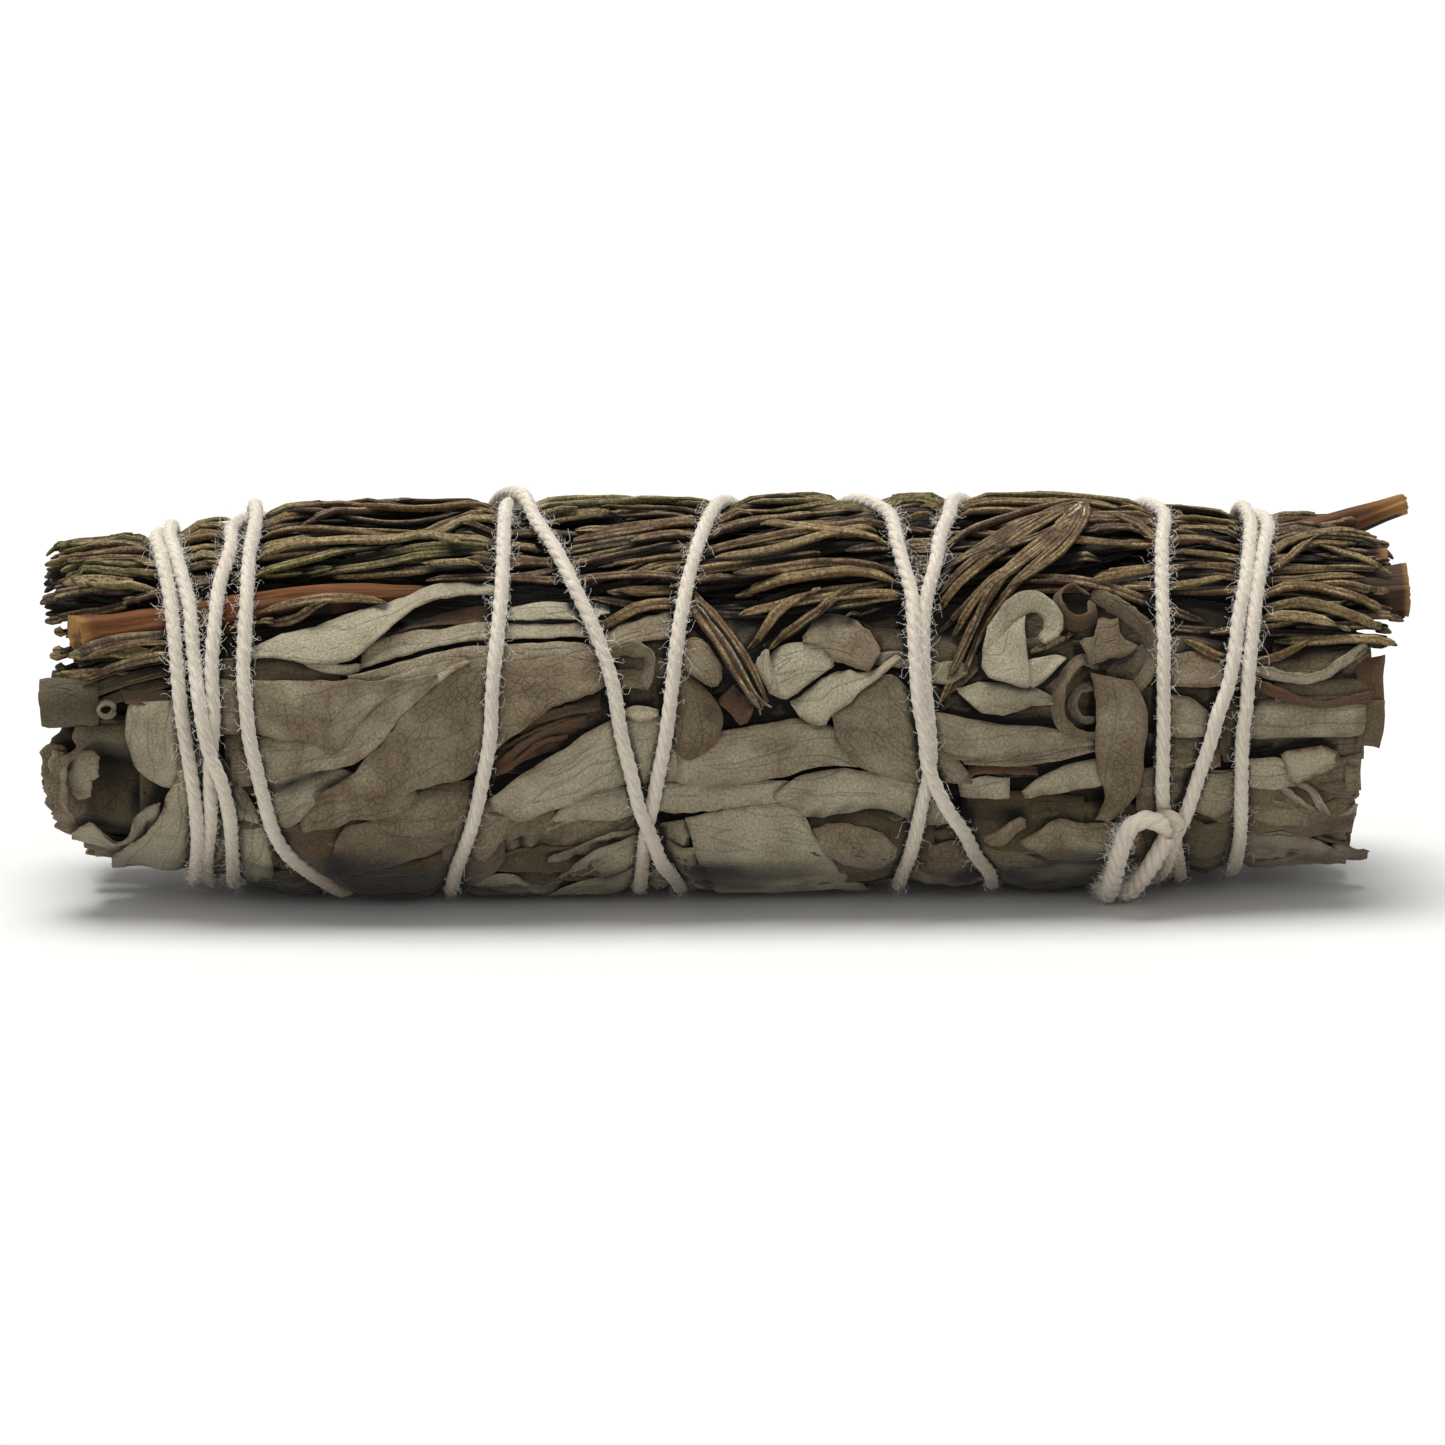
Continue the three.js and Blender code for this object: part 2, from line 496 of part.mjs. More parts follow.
// ---------------------------------------------------------------- sage leaves
// The leaves that show in front, each between an upper and a lower edge of [x, angle],
// with the rise of its outer face at the two edges. A deeper one is tucked under its neighbour.
const FRONT_LEAVES = [
  // the light leaf along the rosemary, left of the middle, and the dark folds under it
  {
    upper: [[-36, 28], [-27.5, 40], [-21.4, 50], [-17.1, 50]],
    lower: [[-34, 21], [-26.8, 27], [-20.5, 43], [-17.8, 45]],
    rise: [-1.1, -0.65],
  },
  { upper: [[-26, 34], [-18, 42]], lower: [[-26, 25], [-18, 33]], rise: [-1.9, -1.4] },
  { upper: [[-17, 44], [-8.8, 43]], lower: [[-17, 37], [-9.4, 38]], rise: [-1.5, -0.7] },
  { upper: [[-17, 36], [-10, 36]], lower: [[-17, 30], [-10, 31]], rise: [-1.6, -0.8] },
  // the long grey leaf and the veined one with its ragged left edge
  { upper: [[-38, 19], [-24, 19]], lower: [[-38, -2], [-29.7, -7], [-25, 14]], rise: [-0.7, -1.4] },
  {
    upper: [[-20, 24], [-12, 28]],
    lower: [[-27.5, -11], [-18.6, -10], [-15.5, 3], [-8.9, 22]],
    rise: [-1.3, -0.65], along: 5,
  },
  {
    upper: [[-30.5, -5], [-24.5, -4]],
    lower: [[-30.5, -18], [-25, -15.5], [-18, -11]],
    rise: [-1.4, -0.8],
  },
  {
    upper: [[-17.3, -9], [-10.8, 1], [-8.9, 5], [-5.7, 6]],
    lower: [[-15.5, -25], [-9.8, -16], [-5, -14]],
    rise: [-0.8, -1.4],
  },
  {
    upper: [[-14, -24], [-4, -14], [3.5, -10]],
    lower: [[-13.4, -28], [-7, -26], [3.5, -20]],
    rise: [-1.7, -0.8],
  },
  { upper: [[-6, 0], [-2, 8], [9.4, 6]], lower: [[-6, -3], [-2, -14], [9.4, -12]], rise: [-0.8, -1.6] },
  {
    upper: [[-6, -36], [-1.5, -20], [7, -21]],
    lower: [[-6, -42], [-1.5, -60], [7, -52]],
    rise: [-0.65, -1.3], arch: 0.3,
  },
  { upper: [[5, -29], [12.3, -28]], lower: [[6, -45], [12, -43]], rise: [-1.6, -0.9] },
  {
    upper: [[3, -18], [8.6, -11], [16, -14]],
    lower: [[5, -28], [11.2, -24.5], [16.2, -31]],
    rise: [-1.5, -0.65],
  },
  { upper: [[7.5, 17], [17.4, 12]], lower: [[8, -15], [17.4, -12]], rise: [-0.7, -1.7] },
  // the small torn leaves at the middle
  {
    upper: [[4.3, 9.5], [9.4, 19], [12.3, 22.5]],
    lower: [[5.1, 4], [8.6, 9], [12, 16]],
    rise: [-1.2, -0.65],
  },
  {
    upper: [[2.5, 22], [4.3, 27], [7.3, 24]],
    lower: [[2.9, 11], [4.1, 10], [7.2, 19]],
    rise: [-0.7, -1.1],
  },
  {
    upper: [[4, 31], [6.7, 36.5], [10.2, 33]],
    lower: [[5, 27], [7.4, 21.5], [11, 21]],
    rise: [-0.9, -1.6],
  },
  { upper: [[-4.7, 21], [-1.2, 19]], lower: [[-4.7, -4], [-1.4, -4]], rise: [-0.9, -0.65] },
  { upper: [[-9.4, 40], [-4.5, 36]], lower: [[-9.4, 27], [-4.8, 24]], rise: [-1.3, -0.9] },
  // the long narrow leaves below the curled ones
  { upper: [[15, 3], [20, 6], [25.5, 1]], lower: [[15, -7], [19.5, -8], [25.5, -3]], rise: [-1.2, -0.65] },
  { upper: [[17, -5], [26, -5]], lower: [[17, -12], [26, -10]], rise: [-1.8, -1.3] },
  { upper: [[20.5, -17], [26, -8]], lower: [[18.5, -30], [26, -26]], rise: [-0.8, -1.6] },
  { upper: [[21, -27], [31, -27]], lower: [[21, -44], [31, -42]], rise: [-1.5, -0.8] },
  { upper: [[16.6, 16], [23.7, 14]], lower: [[17.5, 5], [22, 5]], rise: [-1.5, -0.9] },
  { upper: [[25.5, 34], [29.7, 33]], lower: [[25.5, 18], [29.7, 17]], rise: [-1.2, -0.8] },
  // the leaf that hangs down over the others, left of the last strand
  {
    upper: [[26.8, 16], [26.5, -8], [26.6, -28]],
    lower: [[28.6, 16], [30.3, 0], [28.4, -28]],
    rise: [-0.65, -0.9],
  },
  // the right end
  { upper: [[31, 9], [38, 14], [47, 10]], lower: [[31, 8], [38, 4], [47, 5]], rise: [-1.1, -1.9] },
  {
    upper: [[29, -9], [38, -5], [44.7, -8]],
    lower: [[29, -10], [38, -18], [44.7, -16]],
    rise: [-0.9, -1.6],
  },
  {
    upper: [[31, -24], [38, -20], [45, -22]],
    lower: [[31, -26], [38, -34], [45, -32]],
    rise: [-0.8, -1.6],
  },
  {
    upper: [[30, -45], [38, -36], [46.5, -38]],
    lower: [[30, -47], [38, -61], [46.8, -62]],
    rise: [-0.7, -1.5],
  },
  // the left end: a large pale leaf with a torn edge, and the shorter ones above it
  { upper: [[-46.2, -62], [-40.4, -8]], lower: [[-34, -60], [-33, -20]], rise: [-0.65, -1.5], arch: 0.3 },
  { upper: [[-44.5, 20], [-38, 18]], lower: [[-44.5, 0], [-38, -6]], rise: [-0.8, -1.5] },
];

// Leaves rolled into tubes along X: [x of both ends, angle, depth of the middle, outer radius].
const ROLLED_LEAVES = [
  { x: [-51, -41], angle: 10, rise: -2.3, radius: 1.65 },
  { x: [-49.8, -41], angle: 20.5, rise: -4.2, radius: 1.4 },
  { x: [-48.3, -41], angle: -23, rise: -2.9, radius: 2.5 },
  { x: [41, 46.5], angle: 0.5, rise: -2.0, radius: 1.35 },
  { x: [41, 47.5], angle: 20, rise: -2.3, radius: 1.8 },
];

function rolledLeaf({ x, angle, rise, radius }) {
  const WALL = 0.65;
  const outline = new THREE.Shape().absarc(0, 0, radius, 0, 2 * Math.PI);
  outline.holes.push(new THREE.Path().absarc(0, 0, radius - WALL, 0, 2 * Math.PI, true));
  const depth = x[1] - x[0];
  const roll = new THREE.ExtrudeGeometry(outline, { depth, curveSegments: 8, bevelEnabled: false });
  roll.rotateY(Math.PI / 2);
  const centre = onBundle((x[0] + x[1]) / 2, angle, rise);
  roll.translate(x[0], centre.y, centre.z);
  return solidOf(roll);
}

// The curled leaves right of the middle stand on edge: strips along [x, angle], WIDTH mm tall.
const CURLED_STRIPS = [
  { path: [[19.4, 15], [18.9, 26], [20.2, 36], [22.2, 39], [24, 34], [24.3, 27]], rise: -0.65, tall: 1.9 },
  { path: [[26, 22], [24.2, 18], [23.4, 9], [24.2, 2], [26.4, -2]], rise: -0.7, tall: 1.6 },
  { path: [[26.7, 41], [29, 36], [30.5, 29], [30.4, 20], [29.3, 13]], rise: -0.7, tall: 1.6 },
];

function curledStrip({ path, rise, tall }) {
  const [outerFace, innerFace] = [[], []];
  path.forEach(([x, angle], i) => {
    const ahead = path[Math.min(i + 1, path.length - 1)];
    const behind = path[Math.max(i - 1, 0)];
    const [dx, dy] = [ahead[0] - behind[0], (ahead[1] - behind[1]) * MM_PER_DEGREE];
    const size = LEAF_THICKNESS / 2 / Math.hypot(dx, dy);
    for (const deep of [0, tall]) {
      outerFace.push(onBundle(x - dy * size, angle + (dx * size) / MM_PER_DEGREE, rise - deep));
      innerFace.push(onBundle(x + dy * size, angle - (dx * size) / MM_PER_DEGREE, rise - deep));
    }
  });
  return sheet(outerFace, innerFace, path.length - 1, 1);
}

// Leaves laid by rule over a stretch of the bundle, overlapping like shingles. Each has a length, a greatest
// width, a lean in degrees per mm, and the rise of one edge and how far the other lies below it.
const LAID_LEAF = {
  length: [26, 38],
  width: [6, 9],
  lean: [-0.5, 0.5],
  rise: [-1.0, -0.7],
  tuck: [0.3, 0.9],
};

function laidLeaves(draw, { low, high, rows, perRow, from = -40, to = 42 }) {
  const { length, width, lean, rise, tuck } = LAID_LEAF;
  const leaves = [];
  for (let row = 0; row < rows; row++)
    for (let k = 0; k < perRow; k++) {
      const angle = low + ((high - low) * (row + draw(0.3, 0.7))) / rows;
      const x = from + ((to - from) * (k + draw(0.2, 0.8))) / perRow;
      const shape = lens(x, angle, draw(...length), draw(...width), draw(...lean));
      const edge = draw(...rise);
      leaves.push(blade({ ...shape, rise: [edge, edge - draw(...tuck)], across: 1 }));
    }
  return leaves;
}

// The cut and broken ends: short leaves in rings, sticking out of the core by different lengths.
function leafEnds(draw, low, high) {
  const RING_RADII = [5, 8.4, 11.2];
  const LEAF_WIDTH = 6;
  const HALF_WIDTH_SHARE = 0.46;
  const REACH = [1, 5.5];
  const ROOT_DEPTH = 1.5;
  const ends = [];
  for (const [side, edge] of [[-1, CORE_END.left], [1, CORE_END.right]])
    for (const ring of RING_RADII) {
      const count = Math.max(1, Math.round((radians(high - low) * ring) / LEAF_WIDTH));
      for (let k = 0; k < count; k++) {
        const middle = low + ((high - low) * (k + 0.5)) / count;
        const half = ((high - low) / count) * HALF_WIDTH_SHARE;
        const reach = edge + side * draw(...REACH);
        const root = edge - side * ROOT_DEPTH;
        const rise = (raised) => ring + raised - bundleRadius(edge, middle);
        const xs = [Math.min(root, reach), Math.max(root, reach)];
        const rails = (angle) => xs.map((x) => [x, angle]);
        const rises = [rise(draw(0, 1.4)), rise(draw(-0.6, 0.4))];
        const shape = { upper: rails(middle + half), lower: rails(middle - half) };
        ends.push(blade({ ...shape, rise: rises, arch: 0, along: 1, across: 1 }));
      }
    }
  return ends;
}

// ---------------------------------------------------------------- rosemary needles
const UNDER_STRING = -1.14; // rise of the middle of a needle that just clears the string

// [x, degrees per mm] of the way the needles lean along the bunch.
const NEEDLE_SLOPE = [[-50, 0], [-22, 0.1], [-14, 0.9], [10, 0.9], [18, 0.2], [30, 0.1], [50, 0.4]];

// Needles laid by rule, following the way they lie along the bunch.
const LAID_NEEDLE = {
  length: [14, 20],
  shortest: 5,
  bend: [-1.2, 1.2], // degrees that its middle stands aside
  rise: [-1.45, UNDER_STRING],
  ragged: 3.4, // how far cut ends reach past one another
};

function laidNeedles(draw, low, high, { rowGap, pitch, from = -47, to = 47 }) {
  const { length, shortest, bend, rise, ragged } = LAID_NEEDLE;
  const { clamp } = THREE.MathUtils;
  const needles = [];
  const rows = Math.floor((high - low) / rowGap);
  for (let row = 0; row < rows; row++)
    for (let start = from + draw(0, pitch); start < to; start += pitch * draw(0.85, 1.15)) {
      const angle = low + (row + draw(0.25, 0.75)) * rowGap;
      const half = draw(...length) / 2;
      const slope = readTable(NEEDLE_SLOPE, start) + draw(-0.2, 0.2);
      const end = clamp(start + half, from, to + draw(0, ragged));
      const root = clamp(start - half, from - draw(0, ragged), to);
      if (end - root < shortest) continue;
      const middle = (root + end) / 2;
      const bent = angle + draw(...bend);
      const deep = draw(...rise);
      needles.push(
        needle([
          [root, angle - slope * (middle - root), deep - 0.25],
          [middle, bent, deep],
          [end, angle + slope * (end - middle), deep + draw(-0.1, 0.05)],
        ]),
      );
    }
  return needles;
}

// The fan of longer needles that droops over the sage right of the middle: the rise and place of its root,
// and [x, angle] of each tip.
const FAN_ROOT = [26, 78, -1.4];
const FAN_TIPS = [
  [14.9, 10], [15.6, 15], [16.2, 22], [16.6, 30], [17.4, 36], [15.4, 44], [15.6, 52], [17, 60], [19, 66],
];
const { lerp } = THREE.MathUtils;
const fanNeedles = () =>
  FAN_TIPS.map(([x, angle], i) => {
    const SAG = 5; // degrees that the middle hangs below a straight line
    const [rootX, rootAngle, rootRise] = FAN_ROOT;
    const lean = 0.5 + 0.03 * i;
    const middle = [lerp(x, rootX, lean), lerp(angle, rootAngle, lean) - SAG];
    const knee = [lerp(x, middle[0], 0.35), lerp(angle, middle[1], 0.45)];
    return needle([
      [rootX, rootAngle, rootRise], [...middle, UNDER_STRING], [...knee, UNDER_STRING], [x, angle, -1.2],
    ]);
  });

// A pair of needles joined at their root, lying over the sage by the middle.
function needlePair(grow = 0) {
  const RADIUS = 0.55;
  const ROOT = [2.5, 7, -0.2];
  const legs = [
    [ROOT, [1.0, 20, 0.1], [-0.7, 35, -0.5], [-1.9, 47, -1.5], [-2.6, 54, -2.0]],
    [ROOT, [1.9, 20, 0.1], [0.9, 33, -0.4], [-0.2, 45, -1.2], [-1.2, 52, -1.7]],
  ];
  return join(legs.map((leg) => tube(leg.map((p) => onBundle(...p)), RADIUS + grow, 6)));
}

// ---------------------------------------------------------------- putting the bunch together
// The largest body of a solid, without the scraps and pockets that joining and cutting leave.
function oneBody(solid) {
  const SHORTEST_EDGE = 0.02;
  const bodies = solid.simplify(SHORTEST_EDGE).decompose();
  return bodies.reduce((best, body) => (body.volume() > best.volume() ? body : best));
}

const table = new THREE.BoxGeometry(2 * LENGTH, LENGTH, LENGTH);
table.translate(0, 0, LENGTH / 2);
const aboveTable = solidOf(table);
const span = new THREE.BoxGeometry(LENGTH, LENGTH, LENGTH);
const withinLength = solidOf(span);

const stringSpace = stringRoom();
const stems = Object.entries(STEMS);
const stemSpace = join(stems.map(([, stem]) => stemTube(stem, GAP)));
const pairSpace = needlePair(GAP);

function packed(space, pieces) {
  const whole = join(pieces).intersect(space);
  const cleared = whole.subtract(join([stringSpace, stemSpace, pairSpace]));
  return oneBody(cleared.intersect(aboveTable).intersect(withinLength));
}

function sageInFront() {
  const draw = drawer(SEED + 1);
  const space = room(FRONT_SEAM, TOP_SEAM).subtract(rosemaryRoom(-GAP / 2));
  return packed(space, [
    core(FRONT_SEAM, HIGHEST_SAGE, CORE_DEPTH.front),
    ...FRONT_LEAVES.map(blade),
    ...ROLLED_LEAVES.map(rolledLeaf),
    ...CURLED_STRIPS.map(curledStrip),
    ...laidLeaves(draw, { low: -62, high: -30, rows: 3, perRow: 3 }),
    ...leafEnds(draw, FRONT_SEAM, 24),
  ]);
}

// Beneath, leaves bulge between the strands and bear the bunch's weight, each over a longer one:
// the x of each group's middle and its length.
const RESTING_LEAVES = [[-30.7, 7], [-13.8, 10.5], [5, 12], [25.5, 7]];
const RESTING_LAYERS = [
  { rise: 1.4, thick: 1.3, width: 9, longer: 0 },
  { rise: 0.4, thick: 1.9, width: 13, longer: 5 },
];

function sageBeneath() {
  const UNDERSIDE = -90;
  const draw = drawer(SEED + 2);
  const [low, high] = [BACK_SEAM - 360, FRONT_SEAM];
  const resting = RESTING_LEAVES.flatMap(([x, length]) =>
    RESTING_LAYERS.map(({ rise, thick, width, longer }) => {
      const shape = lens(x, UNDERSIDE, length + longer, width, draw(-0.4, 0.4));
      return blade({ ...shape, rise: [rise, rise], thick, arch: 0, along: 4, across: 1 });
    }),
  );
  return packed(room(low, high), [
    core(low, high, CORE_DEPTH.sage),
    ...resting,
    ...laidLeaves(draw, { low, high, rows: 4, perRow: 2 }),
    ...leafEnds(draw, low, high),
  ]);
}

function sageBehind() {
  const draw = drawer(SEED + 3);
  return packed(room(BACK_EDGE, BACK_SEAM), [
    core(BACK_EDGE, BACK_SEAM, CORE_DEPTH.sage),
    ...laidLeaves(draw, { low: BACK_EDGE, high: BACK_SEAM, rows: 5, perRow: 3 }),
    ...leafEnds(draw, BACK_EDGE, BACK_SEAM),
  ]);
}

function rosemaryInFront() {
  const draw = drawer(SEED + 4);
  return packed(rosemaryRoom(GAP / 2), [
    core(LOWEST_ROSEMARY, TOP_SEAM, CORE_DEPTH.rosemary),
    ...laidNeedles(draw, 16, TOP_SEAM + 2, { rowGap: 6.6, pitch: 14 }),
    ...fanNeedles(),
  ]);
}

function rosemaryOnTop() {
  const draw = drawer(SEED + 5);
  return packed(room(TOP_SEAM, BACK_EDGE), [
    core(TOP_SEAM, BACK_EDGE, CORE_DEPTH.rosemary),
    ...laidNeedles(draw, TOP_SEAM - 2, BACK_EDGE + 2, { rowGap: 7, pitch: 14.5 }),
  ]);
}

function piece(name, solid, colour, roughness = 0.9) {
  const { vertProperties, triVerts } = solid.getMesh();
  const geometry = new THREE.BufferGeometry();
  geometry.setAttribute("position", new THREE.BufferAttribute(vertProperties, 3));
  geometry.setIndex(new THREE.BufferAttribute(triVerts, 1));
  geometry.computeVertexNormals();
  const look = { color: colour, roughness, metalness: 0, flatShading: true };
  const material = new THREE.MeshStandardMaterial(look);
  const mesh = new THREE.Mesh(geometry, material);
  mesh.name = name;
  return mesh;
}

const bunch = new THREE.Group();
bunch.name = "sage_bunch";
bunch.add(piece("cotton_string", oneBody(cottonString()), COLOURS.string));
for (const [name, stem] of stems)
  bunch.add(piece(name, oneBody(stemTube(stem).intersect(withinLength)), stem.colour, 0.75));
bunch.add(piece("rosemary_needle_pair", oneBody(needlePair()), COLOURS.needle));
bunch.add(piece("sage_leaves_front", sageInFront(), COLOURS.sage));
bunch.add(piece("sage_leaves_under", sageBeneath(), COLOURS.sage));
bunch.add(piece("sage_leaves_back", sageBehind(), COLOURS.sageBack));
bunch.add(piece("rosemary_sprigs_front", rosemaryInFront(), COLOURS.rosemary));
bunch.add(piece("rosemary_sprigs_top", rosemaryOnTop(), COLOURS.rosemaryTop));

export default bunch;
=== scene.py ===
"""A sage bunch: white sage leaves and rosemary sprigs, packed into a roll and bound with cotton string."""

import itertools
import math

import bpy
import numpy as np
from mathutils import Matrix, Vector


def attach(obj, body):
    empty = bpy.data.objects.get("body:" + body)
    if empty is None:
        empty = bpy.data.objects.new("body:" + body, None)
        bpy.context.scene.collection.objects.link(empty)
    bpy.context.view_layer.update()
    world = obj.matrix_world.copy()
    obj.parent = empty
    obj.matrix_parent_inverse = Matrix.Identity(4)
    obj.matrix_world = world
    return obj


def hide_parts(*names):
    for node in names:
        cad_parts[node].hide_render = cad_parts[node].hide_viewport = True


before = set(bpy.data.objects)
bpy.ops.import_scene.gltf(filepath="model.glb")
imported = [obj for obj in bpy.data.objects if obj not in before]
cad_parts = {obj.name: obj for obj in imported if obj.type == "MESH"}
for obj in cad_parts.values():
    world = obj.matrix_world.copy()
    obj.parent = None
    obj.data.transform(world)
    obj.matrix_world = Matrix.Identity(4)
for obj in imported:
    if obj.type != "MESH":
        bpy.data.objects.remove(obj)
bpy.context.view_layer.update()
MM = 0.001

# ---- Table, light and camera ---------------------------------------------------------------
# The bunch lies on a plain white table under one wide soft light, with white all round it.
# The camera looks a little down on it from the front, through a long lens.
VIEW_TURN, VIEW_RISE = math.radians(-3), math.radians(12)
VIEW_DISTANCE, LENS_LENGTH, SENSOR_WIDTH = 0.6, 200, 36
LOOKED_AT = Vector((0, 0, 0.0122))
TABLE_COLOUR, TABLE_REACH = "#CFCECC", 3
scene = bpy.context.scene


def linear(hexed):
    """An sRGB hex colour as linear red, green, blue and alpha."""
    parts = [int(hexed[i : i + 2], 16) / 255 for i in (1, 3, 5)]
    return (*[p / 12.92 if p <= 0.04045 else ((p + 0.055) / 1.055) ** 2.4 for p in parts], 1.0)


def add(tree, kind, inputs=(), **settings):
    """Adds a node. inputs holds a value, or a node or output to link, for each input in order or by name."""
    made = tree.nodes.new(kind if "Node" in kind else "ShaderNode" + kind)
    for name, value in settings.items():
        setattr(made, name, value)
    for key, value in inputs.items() if isinstance(inputs, dict) else enumerate(inputs):
        if isinstance(value, bpy.types.Node):
            value = value.outputs[0]
        if isinstance(value, bpy.types.NodeSocket):
            tree.links.new(value, made.inputs[key])
        else:
            made.inputs[key].default_value = value
    return made


def material(name, sockets):
    """A new material, with constant values on its shader's own sockets."""
    made = bpy.data.materials.new(name)
    made.use_nodes = True
    for socket, value in sockets.items():
        made.node_tree.nodes["Principled BSDF"].inputs[socket].default_value = value
    return made


back = Vector((
    math.sin(VIEW_TURN) * math.cos(VIEW_RISE),
    -math.cos(VIEW_TURN) * math.cos(VIEW_RISE),
    math.sin(VIEW_RISE),
))
right = Vector((math.cos(VIEW_TURN), math.sin(VIEW_TURN), 0))
turn = Matrix((right, back.cross(right), back)).transposed().to_4x4()
camera = bpy.data.objects.new("camera", bpy.data.cameras.new("camera"))
camera.data.lens, camera.data.sensor_width = LENS_LENGTH, SENSOR_WIDTH
camera.matrix_world = Matrix.Translation(LOOKED_AT + back * VIEW_DISTANCE) @ turn
camera.data.clip_start, camera.data.clip_end = 0.05, 20
scene.collection.objects.link(camera)
scene.camera = camera
scene.view_settings.view_transform = "Standard"

table_mesh = bpy.data.meshes.new("table")
corners = [(x * TABLE_REACH, y * TABLE_REACH, 0) for x, y in ((-1, -1), (1, -1), (1, 1), (-1, 1))]
table_mesh.from_pydata(corners, [], [(0, 1, 2, 3)])
table = bpy.data.objects.new("table", table_mesh)
scene.collection.objects.link(table)
table_mesh.materials.append(material("white_card", {"Base Color": linear(TABLE_COLOUR), "Roughness": 0.9}))
for name, strength, spread, toward in (  # degrees of sky that it fills, and the way its light travels
        ("overhead", 3.7, 36, (0.1, -0.12, -1)), ("from_the_front", 0.55, 70, (0.1, 1, -0.2))):
    light = bpy.data.objects.new(name, bpy.data.lights.new(name, "SUN"))
    light.data.energy, light.data.angle = strength, math.radians(spread)
    light.rotation_euler = Vector(toward).to_track_quat("-Z", "Y").to_euler()
    scene.collection.objects.link(light)
scene.world = bpy.data.worlds.new("white_room")
scene.world.use_nodes = True
scene.world.node_tree.nodes["Background"].inputs["Color"].default_value = linear("#FFFFFF")
scene.world.node_tree.nodes["Background"].inputs["Strength"].default_value = 0.5

# ---- The path of the string ----------------------------------------------------------------
# One length of cotton string is wound round the bunch from its right end to the left and back,
# and pulled tight enough to press into the leaves. Everything under it is made to give way.
BUNDLE_RADIUS, AXIS_HEIGHT, UNDERSIDE_HEIGHT = 14.3, 14.2, 1.2
LEFT_TAPER, RIGHT_TAPER = (2.4, 27, 20), (1.7, 24, 22)  # drop, where it starts, over what length
STRING_DIAMETER, STRING_RISE, STRING_CROSSING = 1.15, 0.22, 0.85
MM_PER_DEGREE = math.radians(1) * BUNDLE_RADIUS
STRANDS = [  # each turn's places along the bunch, and the angles above the front where it has them
    [(32.3, -32), (33.3, -50), (34.5, -90)],
    [(40.5, 88), (39.6, 61), (38.9, 46), (38.4, 32), (38.0, 19), (37.75, 6), (37.5, -2), (37.5, -12),
     (37.6, -25), (37.8, -39), (37.9, -60), (38.1, -90)],
    [(39.3, 90), (38.6, 62), (38.0, 47), (37.4, 36), (36.95, 24), (36.4, 13), (35.6, 4), (35.2, -3),
     (34.6, -11), (34.0, -19), (33.4, -27), (32.8, -34), (31, -90)],
    [(17.2, 92), (16.6, 77), (15.8, 66), (15.2, 53), (14.5, 43), (14.1, 34), (14.0, 20), (14.2, 8),
     (14.4, 0), (14.5, -8), (14.3, -15), (14.0, -21), (13.7, -30), (13.3, -43), (12.9, -55), (12.4, -90)],
    [(-0.4, 90), (-1.6, 71), (-2.3, 60), (-3.2, 45), (-3.9, 30), (-4.4, 15), (-4.9, 0), (-5.5, -13),
     (-5.8, -21), (-6.2, -30), (-6.4, -45), (-6.5, -65), (-6.8, -90)],
    [(-15.9, 95), (-16.2, 84), (-16.5, 60), (-16.7, 45), (-17.1, 30), (-17.5, 15), (-17.7, 0), (-18.2, -11),
     (-18.55, -19), (-18.95, -27), (-19.6, -38), (-20.2, -50), (-20.8, -90), (-21.4, -135)],
    [(-36.1, 90), (-36.5, 68), (-37.3, 52), (-37.6, 40), (-37.9, 23), (-37.8, 9), (-37.9, 0), (-38.1, -9),
     (-38.1, -18), (-38.1, -30), (-38.4, -43), (-38.6, -60), (-38.2, -90)],
    [(-42, 90), (-41.65, 73), (-41.0, 52), (-40.7, 39), (-40.4, 22), (-40.1, 7), (-39.7, -6), (-39.3, -20),
     (-39.1, -36), (-39.3, -54), (-39.7, -90)],
    [(-41, 90), (-40.8, 79), (-40.2, 62), (-39.5, 45), (-39.3, 32), (-39.0, 18), (-38.6, 5), (-38.05, -5),
     (-37.35, -12), (-36.9, -21), (-36.7, -29), (-36.6, -45), (-36.5, -90)],
    [(-34.6, 90), (-34.75, 78), (-35.1, 64), (-35.3, 46), (-35.5, 31), (-35.6, 20), (-35.4, 9), (-35.2, 0),
     (-34.75, -9), (-34.25, -19), (-33.6, -31), (-32.6, -41), (-31, -50), (-29.3, -60), (-26.4, -90),
     (-25.6, -130)],
    [(-14.8, 92), (-13.9, 75), (-12.6, 60), (-11.3, 45), (-10, 32), (-9.25, 23), (-8.7, 15), (-8.1, 0),
     (-7.4, -11), (-6.8, -21), (-5.9, -30), (-5.0, -43), (-3.7, -60), (-2.5, -90)],
    [(10.5, 97), (12.2, 79), (12.5, 63), (12.9, 51), (13.3, 41), (13.3, 31), (13.4, 20), (13.6, 8),
     (14.0, 0), (14.2, -8), (14.9, -15), (15.9, -23), (17, -31), (18.1, -43), (19.4, -55), (20.5, -90)],
    [(32.6, 88), (32.1, 62), (31.8, 46), (31.7, 31), (31.6, 15), (31.6, 0), (31.6, -10), (31.7, -22),
     (32.1, -32)],
]


def eased(t):
    t = np.clip(t, 0, 1)
    return t * t * (3 - 2 * t)


